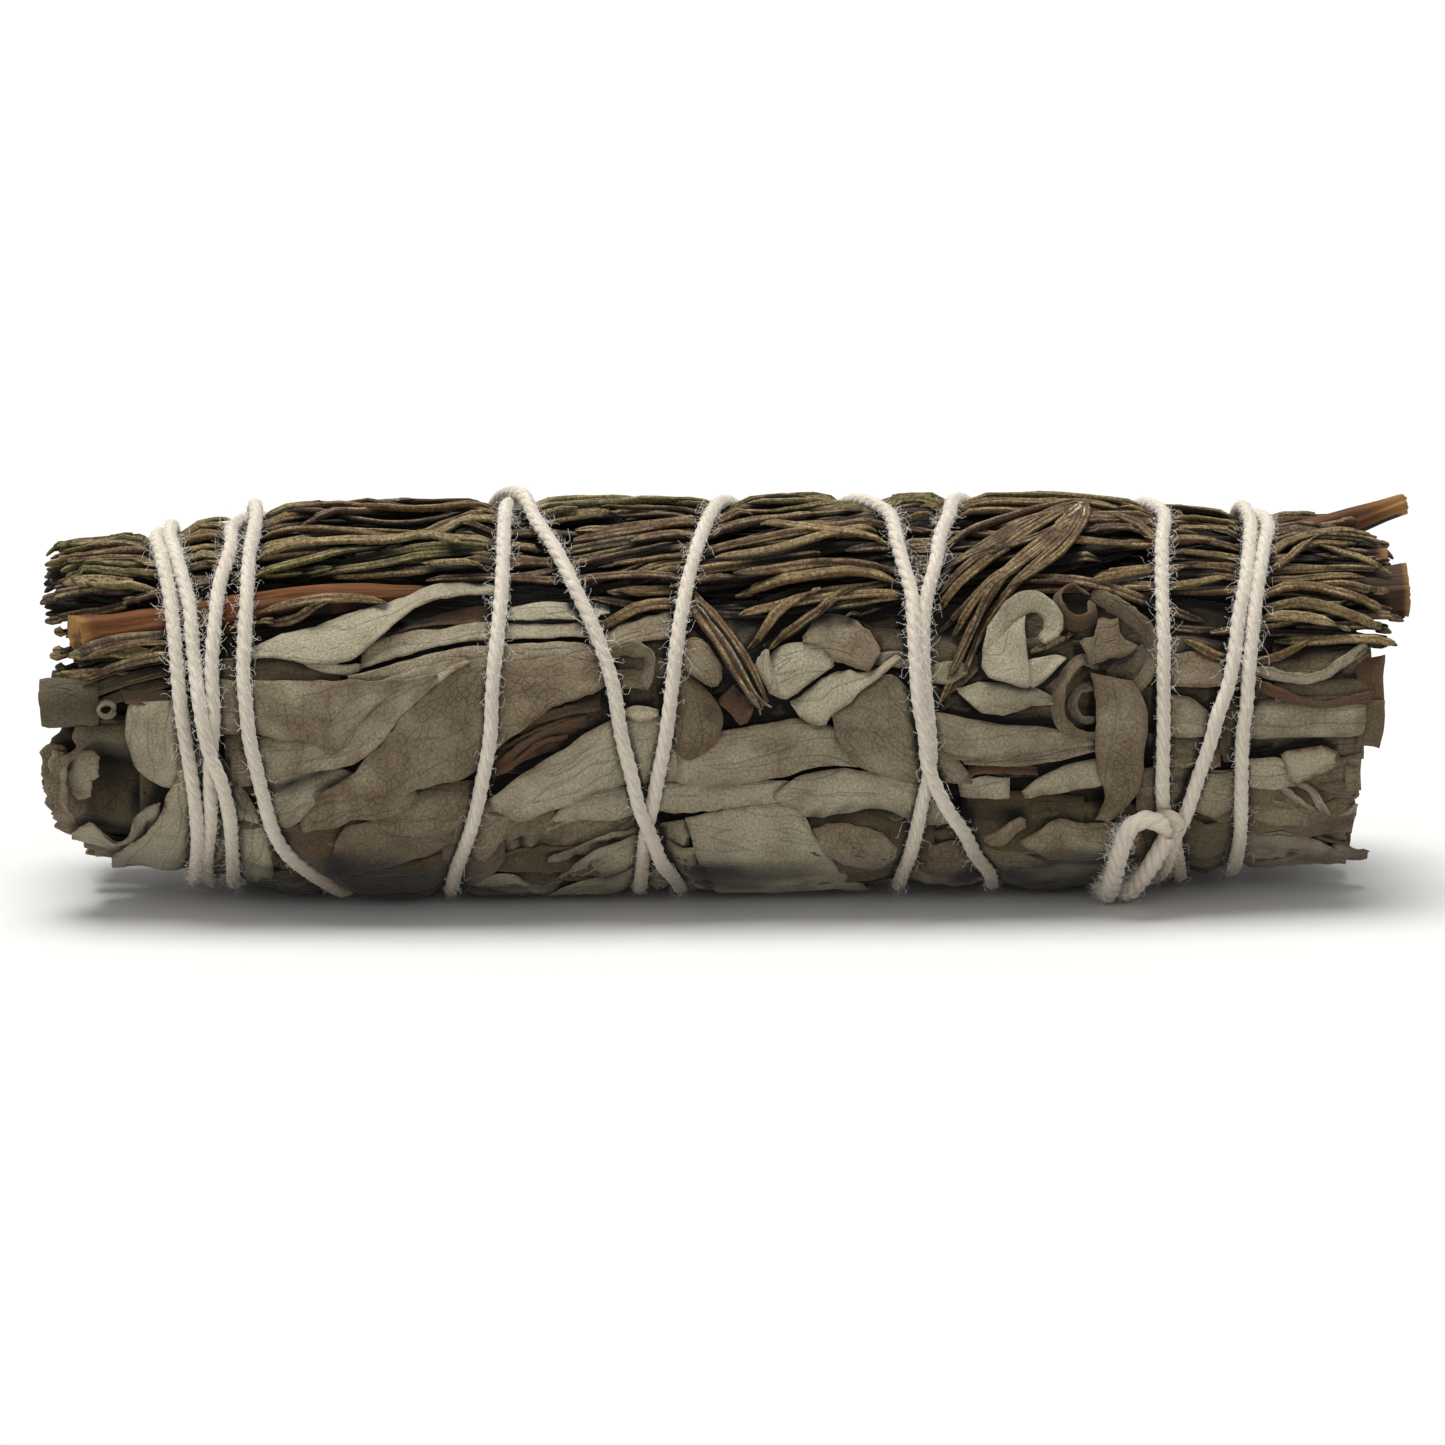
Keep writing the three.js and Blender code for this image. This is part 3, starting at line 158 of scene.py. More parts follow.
def bundle_radius(x, angle):
    """The bunch narrows a little to each end, and lies on a flattened underside."""
    left, right = (drop * eased((side * x - start) / over)
                   for side, (drop, start, over) in ((-1, LEFT_TAPER), (1, RIGHT_TAPER)))
    below = np.maximum(-np.sin(np.radians(angle)), 1e-6)
    return np.minimum(BUNDLE_RADIUS - left - right, (AXIS_HEIGHT - UNDERSIDE_HEIGHT) / below)


def on_bundle(x, angle, rise, clear=0.25):
    """Places in metres, from millimetres along the bunch, degrees above its front and millimetres out."""
    r, a = bundle_radius(x, angle) + rise, np.radians(angle)
    z = np.maximum(AXIS_HEIGHT + r * np.sin(a), clear)
    return np.stack(np.broadcast_arrays(x, -r * np.cos(a), z), -1) * MM


def smooth_reading(keys, values, at):
    """Reads values smoothly, with the slope at each entry taken from its neighbours."""
    keys, values = np.asarray(keys, float), np.asarray(values, float)
    shape = (-1, *[1] * (values.ndim - 1))
    slope = np.empty_like(values)
    slope[1:-1] = (values[2:] - values[:-2]) / (keys[2:] - keys[:-2]).reshape(shape)
    slope[0], slope[-1] = ((values[b] - values[a]) / (keys[b] - keys[a]) for a, b in ((0, 1), (-2, -1)))
    i = np.clip(np.searchsorted(keys, at, side="right") - 1, 0, len(keys) - 2)
    span = (keys[i + 1] - keys[i]).reshape(shape)
    t = ((at - keys[i]) / (keys[i + 1] - keys[i])).reshape(shape)
    return ((2 * t**3 - 3 * t**2 + 1) * values[i] + (t**3 - 2 * t**2 + t) * span * slope[i]
            + (3 * t**2 - 2 * t**3) * values[i + 1] + (t**3 - t**2) * span * slope[i + 1])


def distances(points):
    """How far along a line each of its (x, angle) points lies, in millimetres."""
    steps = np.hypot(*(np.diff(points[:, :2], axis=0) * (1, MM_PER_DEGREE)).T)
    return np.concatenate([[0], np.cumsum(np.maximum(steps, 1e-3))])


def string_line(step=3, hold=3, reach=8, fall=0.2):
    """x, angle and rise at every step of angle. A turn that crosses an earlier one rides over in a hump."""
    travelled = [(360 * turn - angle, x) for turn, strand in enumerate(STRANDS) for x, angle in strand]
    keys, places = np.array(travelled, float).T
    around = np.arange(keys[0], keys[-1], step)
    x = smooth_reading(keys, places, around)
    per_turn, step_mm = 360 // step, step * MM_PER_DEGREE
    lean = step_mm / np.hypot(step_mm, np.gradient(x))
    needed, rise = [], []
    for i in range(len(x) + reach):
        if i < len(x):
            top = 0.0
            for j in range(i - per_turn, -1, -per_turn):
                apart = abs(x[i] - x[j]) * lean[i]
                if apart < STRING_CROSSING:
                    top = max(top, rise[j] + math.sqrt(STRING_CROSSING**2 - apart**2))
            needed.append(top)
        k = i - reach
        if k >= 0:
            near = range(max(0, k - reach), min(len(x), k + reach + 1))
            rise.append(max(needed[j] - fall * max(0, abs(j - k) - hold) for j in near) if near else 0)
    rise = np.maximum(np.array(rise), 0)
    rise = np.convolve(np.pad(rise, 2, mode="edge"), [0.1, 0.2, 0.4, 0.2, 0.1], mode="valid")
    return x, -around, STRING_RISE + rise


string_x, string_angle, string_rise = string_line()

# What lies under the string is pressed in: a map of how much, from 0 to 1, over the bunch unrolled flat.
MAP_START, MAP_STEP, MAP_COUNT = -56.0, 0.2, 561
PRESSED_TO, PRESS_WIDTH = -0.5, 1.15
pressing = np.zeros((MAP_COUNT, 360))


def map_cell(x, angle, margin=0):
    """The row and column of the unrolled map nearest to each place, at least margin rows from its ends."""
    row = np.round((np.asarray(x) - MAP_START) / MAP_STEP).astype(int)
    return np.clip(row, margin, MAP_COUNT - 1 - margin), np.round(np.mod(angle, 360)).astype(int) % 360


def read_map(flat, x, angle):
    """A value of the unrolled map at each place, between its cells."""
    fx = np.clip((np.asarray(x, float) - MAP_START) / MAP_STEP, 0, MAP_COUNT - 1.001)
    fa = np.mod(angle, 360.0)
    i, j = fx.astype(int), fa.astype(int) % 360
    tx, ta, k = fx - i, fa - np.floor(fa), (j + 1) % 360
    return ((1 - tx) * ((1 - ta) * flat[i, j] + ta * flat[i, k])
            + tx * ((1 - ta) * flat[i + 1, j] + ta * flat[i + 1, k]))


def pressed(x, angle, rise):
    """The rise of a piece once the string is pulled tight over it."""
    share = read_map(pressing, x, angle)
    return rise * (1 - share) + np.minimum(rise, PRESSED_TO) * share


fine = np.linspace(0, len(string_x) - 1, len(string_x) * 4)
fine_x, fine_angle, fine_rise = (
    np.interp(fine, np.arange(len(string_x)), values) for values in (string_x, string_angle, string_rise))
for across in np.arange(-3.0, 3.01, MAP_STEP):
    row, column = map_cell(fine_x + across, fine_angle)
    share = np.exp(-((MAP_START + row * MAP_STEP - fine_x) / PRESS_WIDTH) ** 2)
    np.maximum.at(pressing, (row, column), share)

# ---- The leaves packed inside --------------------------------------------------------------
# The middle of the bunch is sage leaves rolled tight over one another. Only dark creases of it
# show in the gaps between the outer leaves, so it is one crumpled form, closed at both ends.
# the core's age makes it dark olive-brown: painted shade for the gaps it shows through
CORE_DEPTH, CORE_LEFT, CORE_RIGHT, CORE_SHADE_AGE = 3.3, -43.0, 44.5, 2.3
OLDEST = 3.0  # ages run from fresh pale at 0 over taupe and dark olive to torn brown; the dark olive of the core and the inner leaves is painted shade
SAGE_AGES = ((0, "#989079"), (1 / 3, "#6A5C47"), (2 / 3, "#433D29"), (1, "#5A3C27"))
VEIN_COLOUR, FOLD_COLOUR, TORN_COLOUR = "#3A3022", "#3A3224", "#5F4930"
DARKEST = 0.06  # what is left of a colour at the bottom of a crease
rng = np.random.default_rng(20417)
draw = rng.uniform


def waves(p, q, size, count=7):
    """Smooth random waves over two coordinates in millimetres, from -1 to 1, size millimetres long."""
    total = np.zeros(np.broadcast(p, q).shape)
    for _ in range(count):
        way, phase, long = draw(0, math.tau), draw(0, math.tau), size * draw(0.6, 1.6)
        total = total + np.sin((p * math.cos(way) + q * math.sin(way)) * math.tau / long + phase)
    return total / math.sqrt(count * 2)


def keep_values(mesh, **fields):
    """Keeps a number, or a vector, at each vertex of a mesh under each field's name."""
    for field, values in fields.items():
        values = np.asarray(values, np.float32)
        kind, key = ("FLOAT", "value") if values.ndim == 1 else ("FLOAT_VECTOR", "vector")
        mesh.attributes.new(field, kind, "POINT").data.foreach_set(key, values.ravel())


def mesh_of(name, verts, faces, uv, **fields):
    """A smooth-shaded mesh with a UV map in millimetres and one value per vertex in each field."""
    made = bpy.data.meshes.new(name)
    made.from_pydata(np.asarray(verts).tolist(), [], faces if isinstance(faces, list) else faces.tolist())
    keep_values(made, **fields)
    corners = np.empty(len(made.loops), np.int32)
    made.loops.foreach_get("vertex_index", corners)
    made.uv_layers.new(name="leaf").uv.foreach_set("vector", np.asarray(uv, np.float32)[corners].ravel())
    made.shade_smooth()
    return made


pieces = []


def finished(mesh, finish, node):
    """A piece of the bunch: shown, painted, and riding on its one body."""
    piece = bpy.data.objects.new(mesh.name, mesh)
    scene.collection.objects.link(piece)
    if not mesh.materials:
        mesh.materials.append(finish)
    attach(piece, "root")
    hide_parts(node)
    pieces.append(piece)


def set_stops(ramp, stops):
    """Gives a colour ramp its stops, each a place from 0 to 1 and a colour."""
    made = ramp.color_ramp.elements
    made[0].color, made[1].color = linear(stops[0][1]), linear(stops[-1][1])
    for place, shade in stops[1:-1]:
        made.new(place).color = linear(shade)


def shaded(tree, colour, palest=1.02, reach=2.3, power=2.0):
    """A colour as it is where a point stands level with its neighbours or above, darker in a crease: painted
    shade, read from the deep attribute.
    """
    deep = add(tree, "Attribute", attribute_name="deep").outputs["Fac"]
    height = add(tree, "MapRange", (deep, 0.2, reach, 1.0, 0.0))
    seen = add(tree, "Math", (height, power), operation="POWER")
    share = add(tree, "Math", (seen, palest - DARKEST, DARKEST), operation="MULTIPLY_ADD")
    return add(tree, "MixRGB", (1.0, colour, share), blend_type="MULTIPLY")


def coated(made, colour, relief, strength, depth):
    """The material with its colour, and with the fine relief of its surface, depth millimetres deep."""
    tree, shader = made.node_tree, made.node_tree.nodes["Principled BSDF"]
    bump = add(tree, "Bump", {"Strength": strength, "Distance": depth * MM, "Height": relief})
    tree.links.new(colour.outputs[0], shader.inputs["Base Color"])
    tree.links.new(bump.outputs[0], shader.inputs["Normal"])
    return made


def dried_sage():
    """Dried white sage, air dried: soft grey-green blades under a felt of short pale hairs, the older ones
    with a net of dark veins. That gives a dull, faintly silvery surface, browner at a torn edge."""
    made = material("dried_white_sage", {"Roughness": 0.85, "Sheen Weight": 0.12, "Sheen Roughness": 0.5,
                                         "Specular IOR Level": 0.25})
    tree = made.node_tree
    age, rim = (add(tree, "Attribute", attribute_name=name).outputs["Fac"] for name in ("age", "rim"))
    flat = add(tree, "UVMap", uv_map="leaf")  # millimetres along and across the leaf
    # blotches 3 mm across, where the blade has aged more or less
    blotch = add(tree, "TexNoise", {"Vector": flat, "Scale": 0.35, "Detail": 3.0, "Roughness": 0.55})
    older = add(tree, "Math", (blotch, 1.5, -0.75), operation="MULTIPLY_ADD")
    aged = add(tree, "Math", (age, older), operation="ADD")
    ramp = add(tree, "ValToRGB", [add(tree, "Math", (aged, OLDEST), operation="DIVIDE")])
    set_stops(ramp, SAGE_AGES)
    # a faint net of veins on the older leaves, its meshes 0.6 mm wide, that comes and goes
    bent = add(tree, "TexNoise", {"Vector": flat, "Scale": 0.9, "Detail": 1.0})
    wavering = add(tree, "MixRGB", (0.6, flat, bent.outputs["Color"]), blend_type="ADD")
    net = add(tree, "TexVoronoi", {"Vector": wavering, "Scale": 1.6}, feature="DISTANCE_TO_EDGE",
              voronoi_dimensions="2D")
    vein = add(tree, "MapRange", (net.outputs["Distance"], 0.0, 0.12, 1.0, 0.0))
    shown = add(tree, "MapRange", (age, 0.3, 1.0, 0.06, 0.68))
    here = add(tree, "MapRange", (blotch, 0.42, 0.62, 0.35, 1.0))
    net_share = add(tree, "Math", (shown, here), operation="MULTIPLY")
    vein_share = add(tree, "Math", (vein, net_share), operation="MULTIPLY")
    veined = add(tree, "MixRGB", (vein_share, ramp, linear(VEIN_COLOUR)))
    # fine dark creases several millimetres long, where the blade folded as it dried
    drawn = add(tree, "Mapping", {"Vector": flat, "Scale": (0.07, 0.45, 1.0)})
    folds = add(tree, "TexNoise", {"Vector": drawn, "Scale": 1.0, "Detail": 2.5, "Roughness": 0.5})
    off = add(tree, "Math", (folds, 0.5), operation="SUBTRACT")
    crease = add(tree, "MapRange", (add(tree, "Math", [off], operation="ABSOLUTE"), 0.0, 0.014, 1.0, 0.0))
    crease_share = add(tree, "Math", (crease, 0.26), operation="MULTIPLY")
    creased = add(tree, "MixRGB", (crease_share, veined, linear(FOLD_COLOUR)))
    # the felt, in tufts 0.2 mm across
    grains = add(tree, "TexNoise", {"Vector": flat, "Scale": 4.8, "Detail": 3.0, "Roughness": 0.7})
    speckle = add(tree, "MapRange", (grains, 0.3, 0.7, 0.6, 1.38))
    felted = add(tree, "MixRGB", (1.0, creased, speckle), blend_type="MULTIPLY")
    # the torn rim, browned in stretches about 1 mm long
    tatter = add(tree, "TexNoise", {"Vector": flat, "Scale": 0.8, "Detail": 2.0})
    browned = add(tree, "MapRange", (tatter, 0.45, 0.62, 0.35, 0.95))
    rim_share = add(tree, "Math", (rim, browned), operation="MULTIPLY", use_clamp=True)
    edged = add(tree, "MixRGB", (rim_share, felted, linear(TORN_COLOUR)))
    sunk = add(tree, "Math", (vein, -0.4, grains), operation="MULTIPLY_ADD")
    sunk = add(tree, "Math", (crease, -1.2, sunk), operation="MULTIPLY_ADD")
    # the colour darkens in creases and towards the underside through shaded(): painted shade
    return coated(made, shaded(tree, edged), sunk, 0.6, 0.14)


SAGE = dried_sage()
stations, angles = np.linspace(CORE_LEFT, CORE_RIGHT, 110), np.arange(0, 360, 4.0)
core_x, core_angle = np.meshgrid(stations, angles, indexing="ij")
core_around = core_angle * MM_PER_DEGREE
crumple = waves(core_x, core_around, 7) * 0.35 + waves(core_x * 0.3, core_around, 1.6) * 0.25
core = on_bundle(core_x, core_angle, crumple - CORE_DEPTH)
centres = np.array([[CORE_LEFT + 1.5, 0, AXIS_HEIGHT], [CORE_RIGHT - 1.5, 0, AXIS_HEIGHT]]) * MM
count = core_x.size
ids = np.arange(count).reshape(core_x.shape)
ring = np.roll(ids, -1, axis=1)
core_faces = np.stack([ids[:-1], ids[1:], ring[1:], ring[:-1]], -1).reshape(-1, 4).tolist()
core_faces += [(count, a, b) for a, b in zip(ids[0].tolist(), ring[0].tolist())]
core_faces += [(count + 1, b, a) for a, b in zip(ids[-1].tolist(), ring[-1].tolist())]
core_mesh = mesh_of("packed_inner_leaves", np.concatenate([core.reshape(-1, 3), centres]), core_faces,
                    np.concatenate([np.stack([core_x, core_around], -1).reshape(-1, 2), np.zeros((2, 2))]),
                    age=np.full(count + 2, CORE_SHADE_AGE), rim=np.zeros(count + 2))
finished(core_mesh, SAGE, "sage_leaves_front")

# ---- Sage leaves ---------------------------------------------------------------------------
# Whole and torn leaves of dried white sage lie along the bunch, each over the ones before it.
# They are 8 to 12 mm wide, thin as card, and curl at the edges where they dried.
LEAF_THICKNESS, ROLL_THICKNESS = 0.25, 0.38
LEFT_CUT, RIGHT_CUT = -43.6, 46.2  # where the leaves laid by number are cut off
STANDS_OUT, STANDS_OUT_MORE = 0.25, 0.5  # how far a leaf may stand out freely, and how much further at most
DRAPE_ROUNDS, DRAPE_PULL = 10, 0.12  # how often a laid leaf settles, and its share of stiffness each time
piled = np.full((MAP_COUNT, 360), -CORE_DEPTH + 0.2)  # how high the leaves have reached, unrolled
leaf_numbers = itertools.count(1)


def denser(grid, times):
    """The same grid with more rows and columns, filled in evenly."""
    for axis in (0, 1):
        grid = np.moveaxis(grid, axis, 0)
        at = np.linspace(0, len(grid) - 1, (len(grid) - 1) * times + 1)
        low = np.minimum(at.astype(int), len(grid) - 2)
        share = (at - low).reshape(-1, 1)
        grid = np.moveaxis(grid[low] * (1 - share) + grid[low + 1] * share, 0, axis)
    return grid


def pile_up(x, angle, top, times=4):
    """Marks what a laid piece has covered, and how high."""
    x, angle, top = (denser(g, times) for g in (x, angle, top))
    np.maximum.at(piled, map_cell(x, angle), top)


def draped(x, angle, wanted):
    """The rise of a leaf laid over what is there: it spans the hollows, and rests on what stands up."""
    rest = read_map(piled, x, angle) + LEAF_THICKNESS / 2 + 0.03
    h = np.maximum(wanted, rest)
    for _ in range(DRAPE_ROUNDS):
        p = np.pad(h, 1, mode="edge")
        spread = (p[:-2, 1:-1] + p[2:, 1:-1] + p[1:-1, :-2] + p[1:-1, 2:]) / 4
        h = np.maximum(spread * (1 - DRAPE_PULL) + wanted * DRAPE_PULL, rest)
    return h


class Sheets:
    """Many thin closed blades gathered into one mesh."""

    def __init__(self):
        self.verts, self.faces, self.age, self.rim, self.uv, self.count = [], [], [], [], [], 0

    def blade(self, middle, thick, age, rim, uv):
        """A closed blade about a middle surface in metres, thinning to a rounded edge."""
        n, m = middle.shape[:2]
        normal = np.cross(np.gradient(middle, axis=0), np.gradient(middle, axis=1))
        normal /= np.maximum(np.linalg.norm(normal, axis=-1, keepdims=True), 1e-12)
        u, v = np.linspace(-1, 1, n)[:, None], np.linspace(-1, 1, m)[None, :]
        half = thick / 2 * MM * (1 - 0.7 * np.maximum(np.abs(u) ** 24, np.abs(v) ** 10))
        ids = np.arange(n * m).reshape(n, m) + self.count
        upper = np.stack([ids[:-1, :-1], ids[1:, :-1], ids[1:, 1:], ids[:-1, 1:]], -1).reshape(-1, 4)
        border = np.concatenate([ids[:-1, 0], ids[-1, :-1], ids[:0:-1, -1], ids[0, :0:-1]])
        nxt = np.roll(border, -1)
        rounded = np.stack([border, border + n * m, nxt + n * m, nxt], -1)
        self.faces += [upper, upper[:, ::-1] + n * m, rounded]
        self.verts += [(middle + normal * side * half[..., None]).reshape(-1, 3) for side in (1, -1)]
        for store, values in ((self.age, age), (self.rim, rim)):
            store.extend([np.broadcast_to(values, (n, m)).ravel()] * 2)
        self.uv += [np.stack(np.broadcast_arrays(*uv), -1).reshape(-1, 2)] * 2
        self.count += 2 * n * m

    def mesh(self, name):
        verts, faces, uv, age, rim = (
            np.concatenate(kept) for kept in (self.verts, self.faces, self.uv, self.age, self.rim))
        return mesh_of(name, verts, faces, uv, age=age, rim=rim)


def along_line(points, count, smooth):
    """Places along a line of (x, angle) points: a number of evenly spread ones, or at the shares given."""
    p = np.array(points, float)
    at = distances(p)
    share = np.linspace(0, at[-1], count) if np.isscalar(count) else np.asarray(count) * at[-1]
    if smooth and len(p) > 2:
        return smooth_reading(at, p, share), at[-1]
    return np.stack([np.interp(share, at, p[:, k]) for k in (0, 1)], -1), at[-1]


def leaf(sheets, upper, lower, rise=(-0.6, -0.6), age=0.6, arch=0.5, lip=(0.55, 0.05), wrinkle=0.2,
         smooth=True, ragged=0.07, torn=0.55, cell=0.5):
    """A leaf between two edges, each a line of (x, angle). rise and lip are for its lower and upper edge."""
    number = next(leaf_numbers)
    long = max(along_line(e, 2, smooth)[1] for e in (upper, lower))
    wide = np.hypot(*((np.array(upper[len(upper) // 2]) - lower[len(lower) // 2]) * (1, MM_PER_DEGREE)))
    rows, columns = int(np.clip(long / cell, 8, 90)), int(np.clip(wide / cell, 7, 30))
    top, low = along_line(upper, rows, smooth)[0], along_line(lower, rows, smooth)[0]
    w = np.linspace(0, 1, columns)
    v = (0.65 * w + 0.35 * (0.5 - 0.5 * np.cos(math.pi * w)))[None, :]
    s = np.linspace(0, 1, rows)[:, None] * long
    grid = low[:, None] * (1 - v[..., None]) + top[:, None] * v[..., None]
    x, angle = grid[..., 0], grid[..., 1]
    span = (top - low) * (1, MM_PER_DEGREE)
    width = np.maximum(np.hypot(*span.T), 0.05)[:, None]
    for side, edge in ((-1, (1 - v) ** 5), (1, v**5)):
        shift = ragged * (waves(s, 40.0 * side, 2.2) + 0.5 * waves(s, 9.0 * side, 0.8)) * edge * side
        shift = shift * np.minimum(width / 2, 1)
        x = x + shift * span[:, :1] / width
        angle = angle + shift * span[:, 1:] / width / MM_PER_DEGREE
    y = (v - 0.5) * width
    ends = np.minimum(np.minimum(s, long - s) / 3, 1) ** 0.5
    wanted = rise[0] * (1 - v) + rise[1] * v + arch * 1.7 * v * (1 - v) * ends + wrinkle * waves(s, y, 5.0)
    h = draped(x, angle, wanted)
    pile_up(x, angle, h + LEAF_THICKNESS / 2)
    h = h + lip[0] * (1 - v) ** 4 + lip[1] * v**4 + 0.4 * wrinkle * waves(s, y, 1.8)
    h = h + 0.1 * np.exp(-((y / 0.3) ** 2)) * np.minimum(width / 6, 1)
    for _ in range(int(rng.integers(1, 3 + int(wide / 3)))):  # long sharp folds
        line = wide * draw(-0.42, 0.42) + 0.5 * waves(s, 0 * s, 9.0)
        line = line + draw(-0.08, 0.08) * (s - long / 2)
        h = h + draw(-0.3, 0.35) * np.exp(-np.abs(y - line) / 0.5) * ends * np.minimum(width / 4, 1)
    curbed = STANDS_OUT + STANDS_OUT_MORE * np.tanh((h - STANDS_OUT) / STANDS_OUT_MORE)
    h = np.where(h > STANDS_OUT, curbed, h)
    middle = on_bundle(x, angle, pressed(x, angle, h))
    border = np.minimum(np.minimum(v, 1 - v) * width, np.minimum(s, long - s) + 0.15)
    rim = np.exp(-((border / 0.22) ** 2)) * torn + np.exp(-((border / 0.8) ** 2)) * torn * 0.3
    shade = age + 0.18 * waves(s, y, 6.0)
    if np.cross(top[-1] - top[0], (top - low).mean(axis=0)) < 0:  # so that its front faces out
        middle, rim, shade, y = (g[:, ::-1] for g in (middle, rim, shade, y))
    sheets.blade(middle, LEAF_THICKNESS, shade, rim, (s + 37.0 * number, y + 11.0 * number))


def loose_leaf(sheets, x, angle, long, wide, lean, **how):
    """A lens-shaped leaf about a place, cut off with the bunch. lean is in degrees around per mm along."""
    cut = max(x - long / 2, LEFT_CUT + draw(0, 1.2)), min(x + long / 2, RIGHT_CUT - draw(0, 1.2))
    share = (np.linspace(*cut, 9) - x) / long + 0.5
    half = wide / 2 * np.sin(np.pi * np.clip(share, 0.03, 0.97) ** 0.85) ** 0.75 / MM_PER_DEGREE
    at = x + (share - 0.5) * long
    middle = angle + lean * (at - x) + 2.0 * np.sin(share * math.pi) * draw(-1, 1)
    leaf(sheets, list(zip(at, middle + half)), list(zip(at, middle - half)), **how)


# Leaves of the underside and the back, laid one over another from the inside out.
under, behind, inner, front, end_rolls = (Sheets() for _ in range(5))
for sheets, low, high, layers in ((under, -140, -60, 2), (behind, 145, 225, 3)):
    for layer in range(layers):
        for band in np.arange(low, high, 26):
            for start in np.arange(-36 - 8 * (layer % 2), 46, 27):
                place = np.clip(start + draw(-6, 6), -34, 32)
                loose_leaf(sheets, place, band + 13 * (layer % 2) + draw(-7, 7) + 8, draw(27, 38),
                           draw(7.5, 11), draw(-0.5, 0.5), age=draw(0.15, 1.3), cell=0.75,
                           rise=(-2.2 + 0.75 * layer,) * 2, lip=(draw(-0.1, 0.35), draw(-0.1, 0.35)))

# Leaves inside the front, from the inside out, the last rows seen as long edges in the shade at the bottom.
# Most are given dark olive ages, painted shade for the gaps between the outer leaves.
for band in np.arange(-62, 30, 15):
    for start in (-33, -12, 9, 29):
        loose_leaf(inner, start + draw(-5, 5), band + draw(-5, 5), draw(28, 36), draw(7, 9.5),
                   draw(-0.35, 0.35), age=draw(1.5, 2.3), rise=(-3.0, -3.0), arch=0.2, cell=0.9,
                   lip=(draw(0, 0.3), draw(0, 0.3)))
for band in np.arange(-66, 46, 15):
    for start in np.arange(-36, 44, 22):
        loose_leaf(inner, start + draw(-6, 6), band + draw(-4, 4), draw(20, 30), draw(5, 8),
                   draw(-0.6, 0.6), age=rng.choice([0.9, 1.4, 2.1, 2.7], p=[0.25, 0.35, 0.25, 0.15]),
                   rise=(-2.5, -2.5), arch=0.3, cell=0.7, lip=(draw(0.1, 0.5), draw(0, 0.2)), torn=0.6)
for band in (-74, -66, -59, -52, -44):
    for start in rng.permutation(np.arange(-34, 44, 19)):
        loose_leaf(inner, start + draw(-6, 6), band + draw(-3, 3), draw(18, 30), draw(2.6, 4.6),
                   draw(-0.35, 0.35), age=draw(1.5, 2.0), rise=(-2.5, -2.8), arch=0.4, cell=0.6,
                   lip=(draw(0.2, 0.5), draw(0, 0.2)), torn=0.5)
BROADER_LEAVES = [  # behind the curled and cut pieces: place, angle, length, width, lean, age
    (19, 30, 15, 8, 0.3, 0.7), (27, 27, 13, 8, -0.3, 1.1), (23, 14, 17, 8, 0.3, 0.5),
    (30, 10, 14, 8, 0.1, 0.9), (22, -3, 18, 7, -0.2, 0.8), (34, 17, 13, 7, 0.1, 0.9),
    (36, 3, 15, 7, -0.2, 0.6), (42, 22, 13, 6, 0.2, 1.2), (43, 7, 12, 6, 0.1, 1),
    (42, -14, 13, 6, -0.1, 0.7), (41, -25, 14, 7, 0.1, 1), (6, 29, 14, 8, -0.5, 0.7),
    (12, 19, 12, 8, 0.3, 0.9), (-1, 28, 11, 7, 0.6, 1), (7, 8, 18, 8, 0.2, 0.5), (-7, 27, 11, 7, 0, 0.8),
    (-8, 13, 13, 6, 0.5, 0.9), (29, -12, 13, 5, 0.2, 1.2), (28, -35, 14, 5, -0.2, 1.4),
    (-33, -4, 16, 9, -0.3, 0.6), (-26, -22, 16, 7, 0.2, 0.9), (-42, 12, 10, 6, 0, 1.3),
]
for place, angle, long, wide, lean, age in BROADER_LEAVES:
    loose_leaf(inner, place, angle, long, wide, lean + draw(-0.2, 0.2), age=age + 0.5, rise=(-2.1, -2.2),
               arch=0.3, cell=0.6, lip=(draw(0.1, 0.4), 0.1))


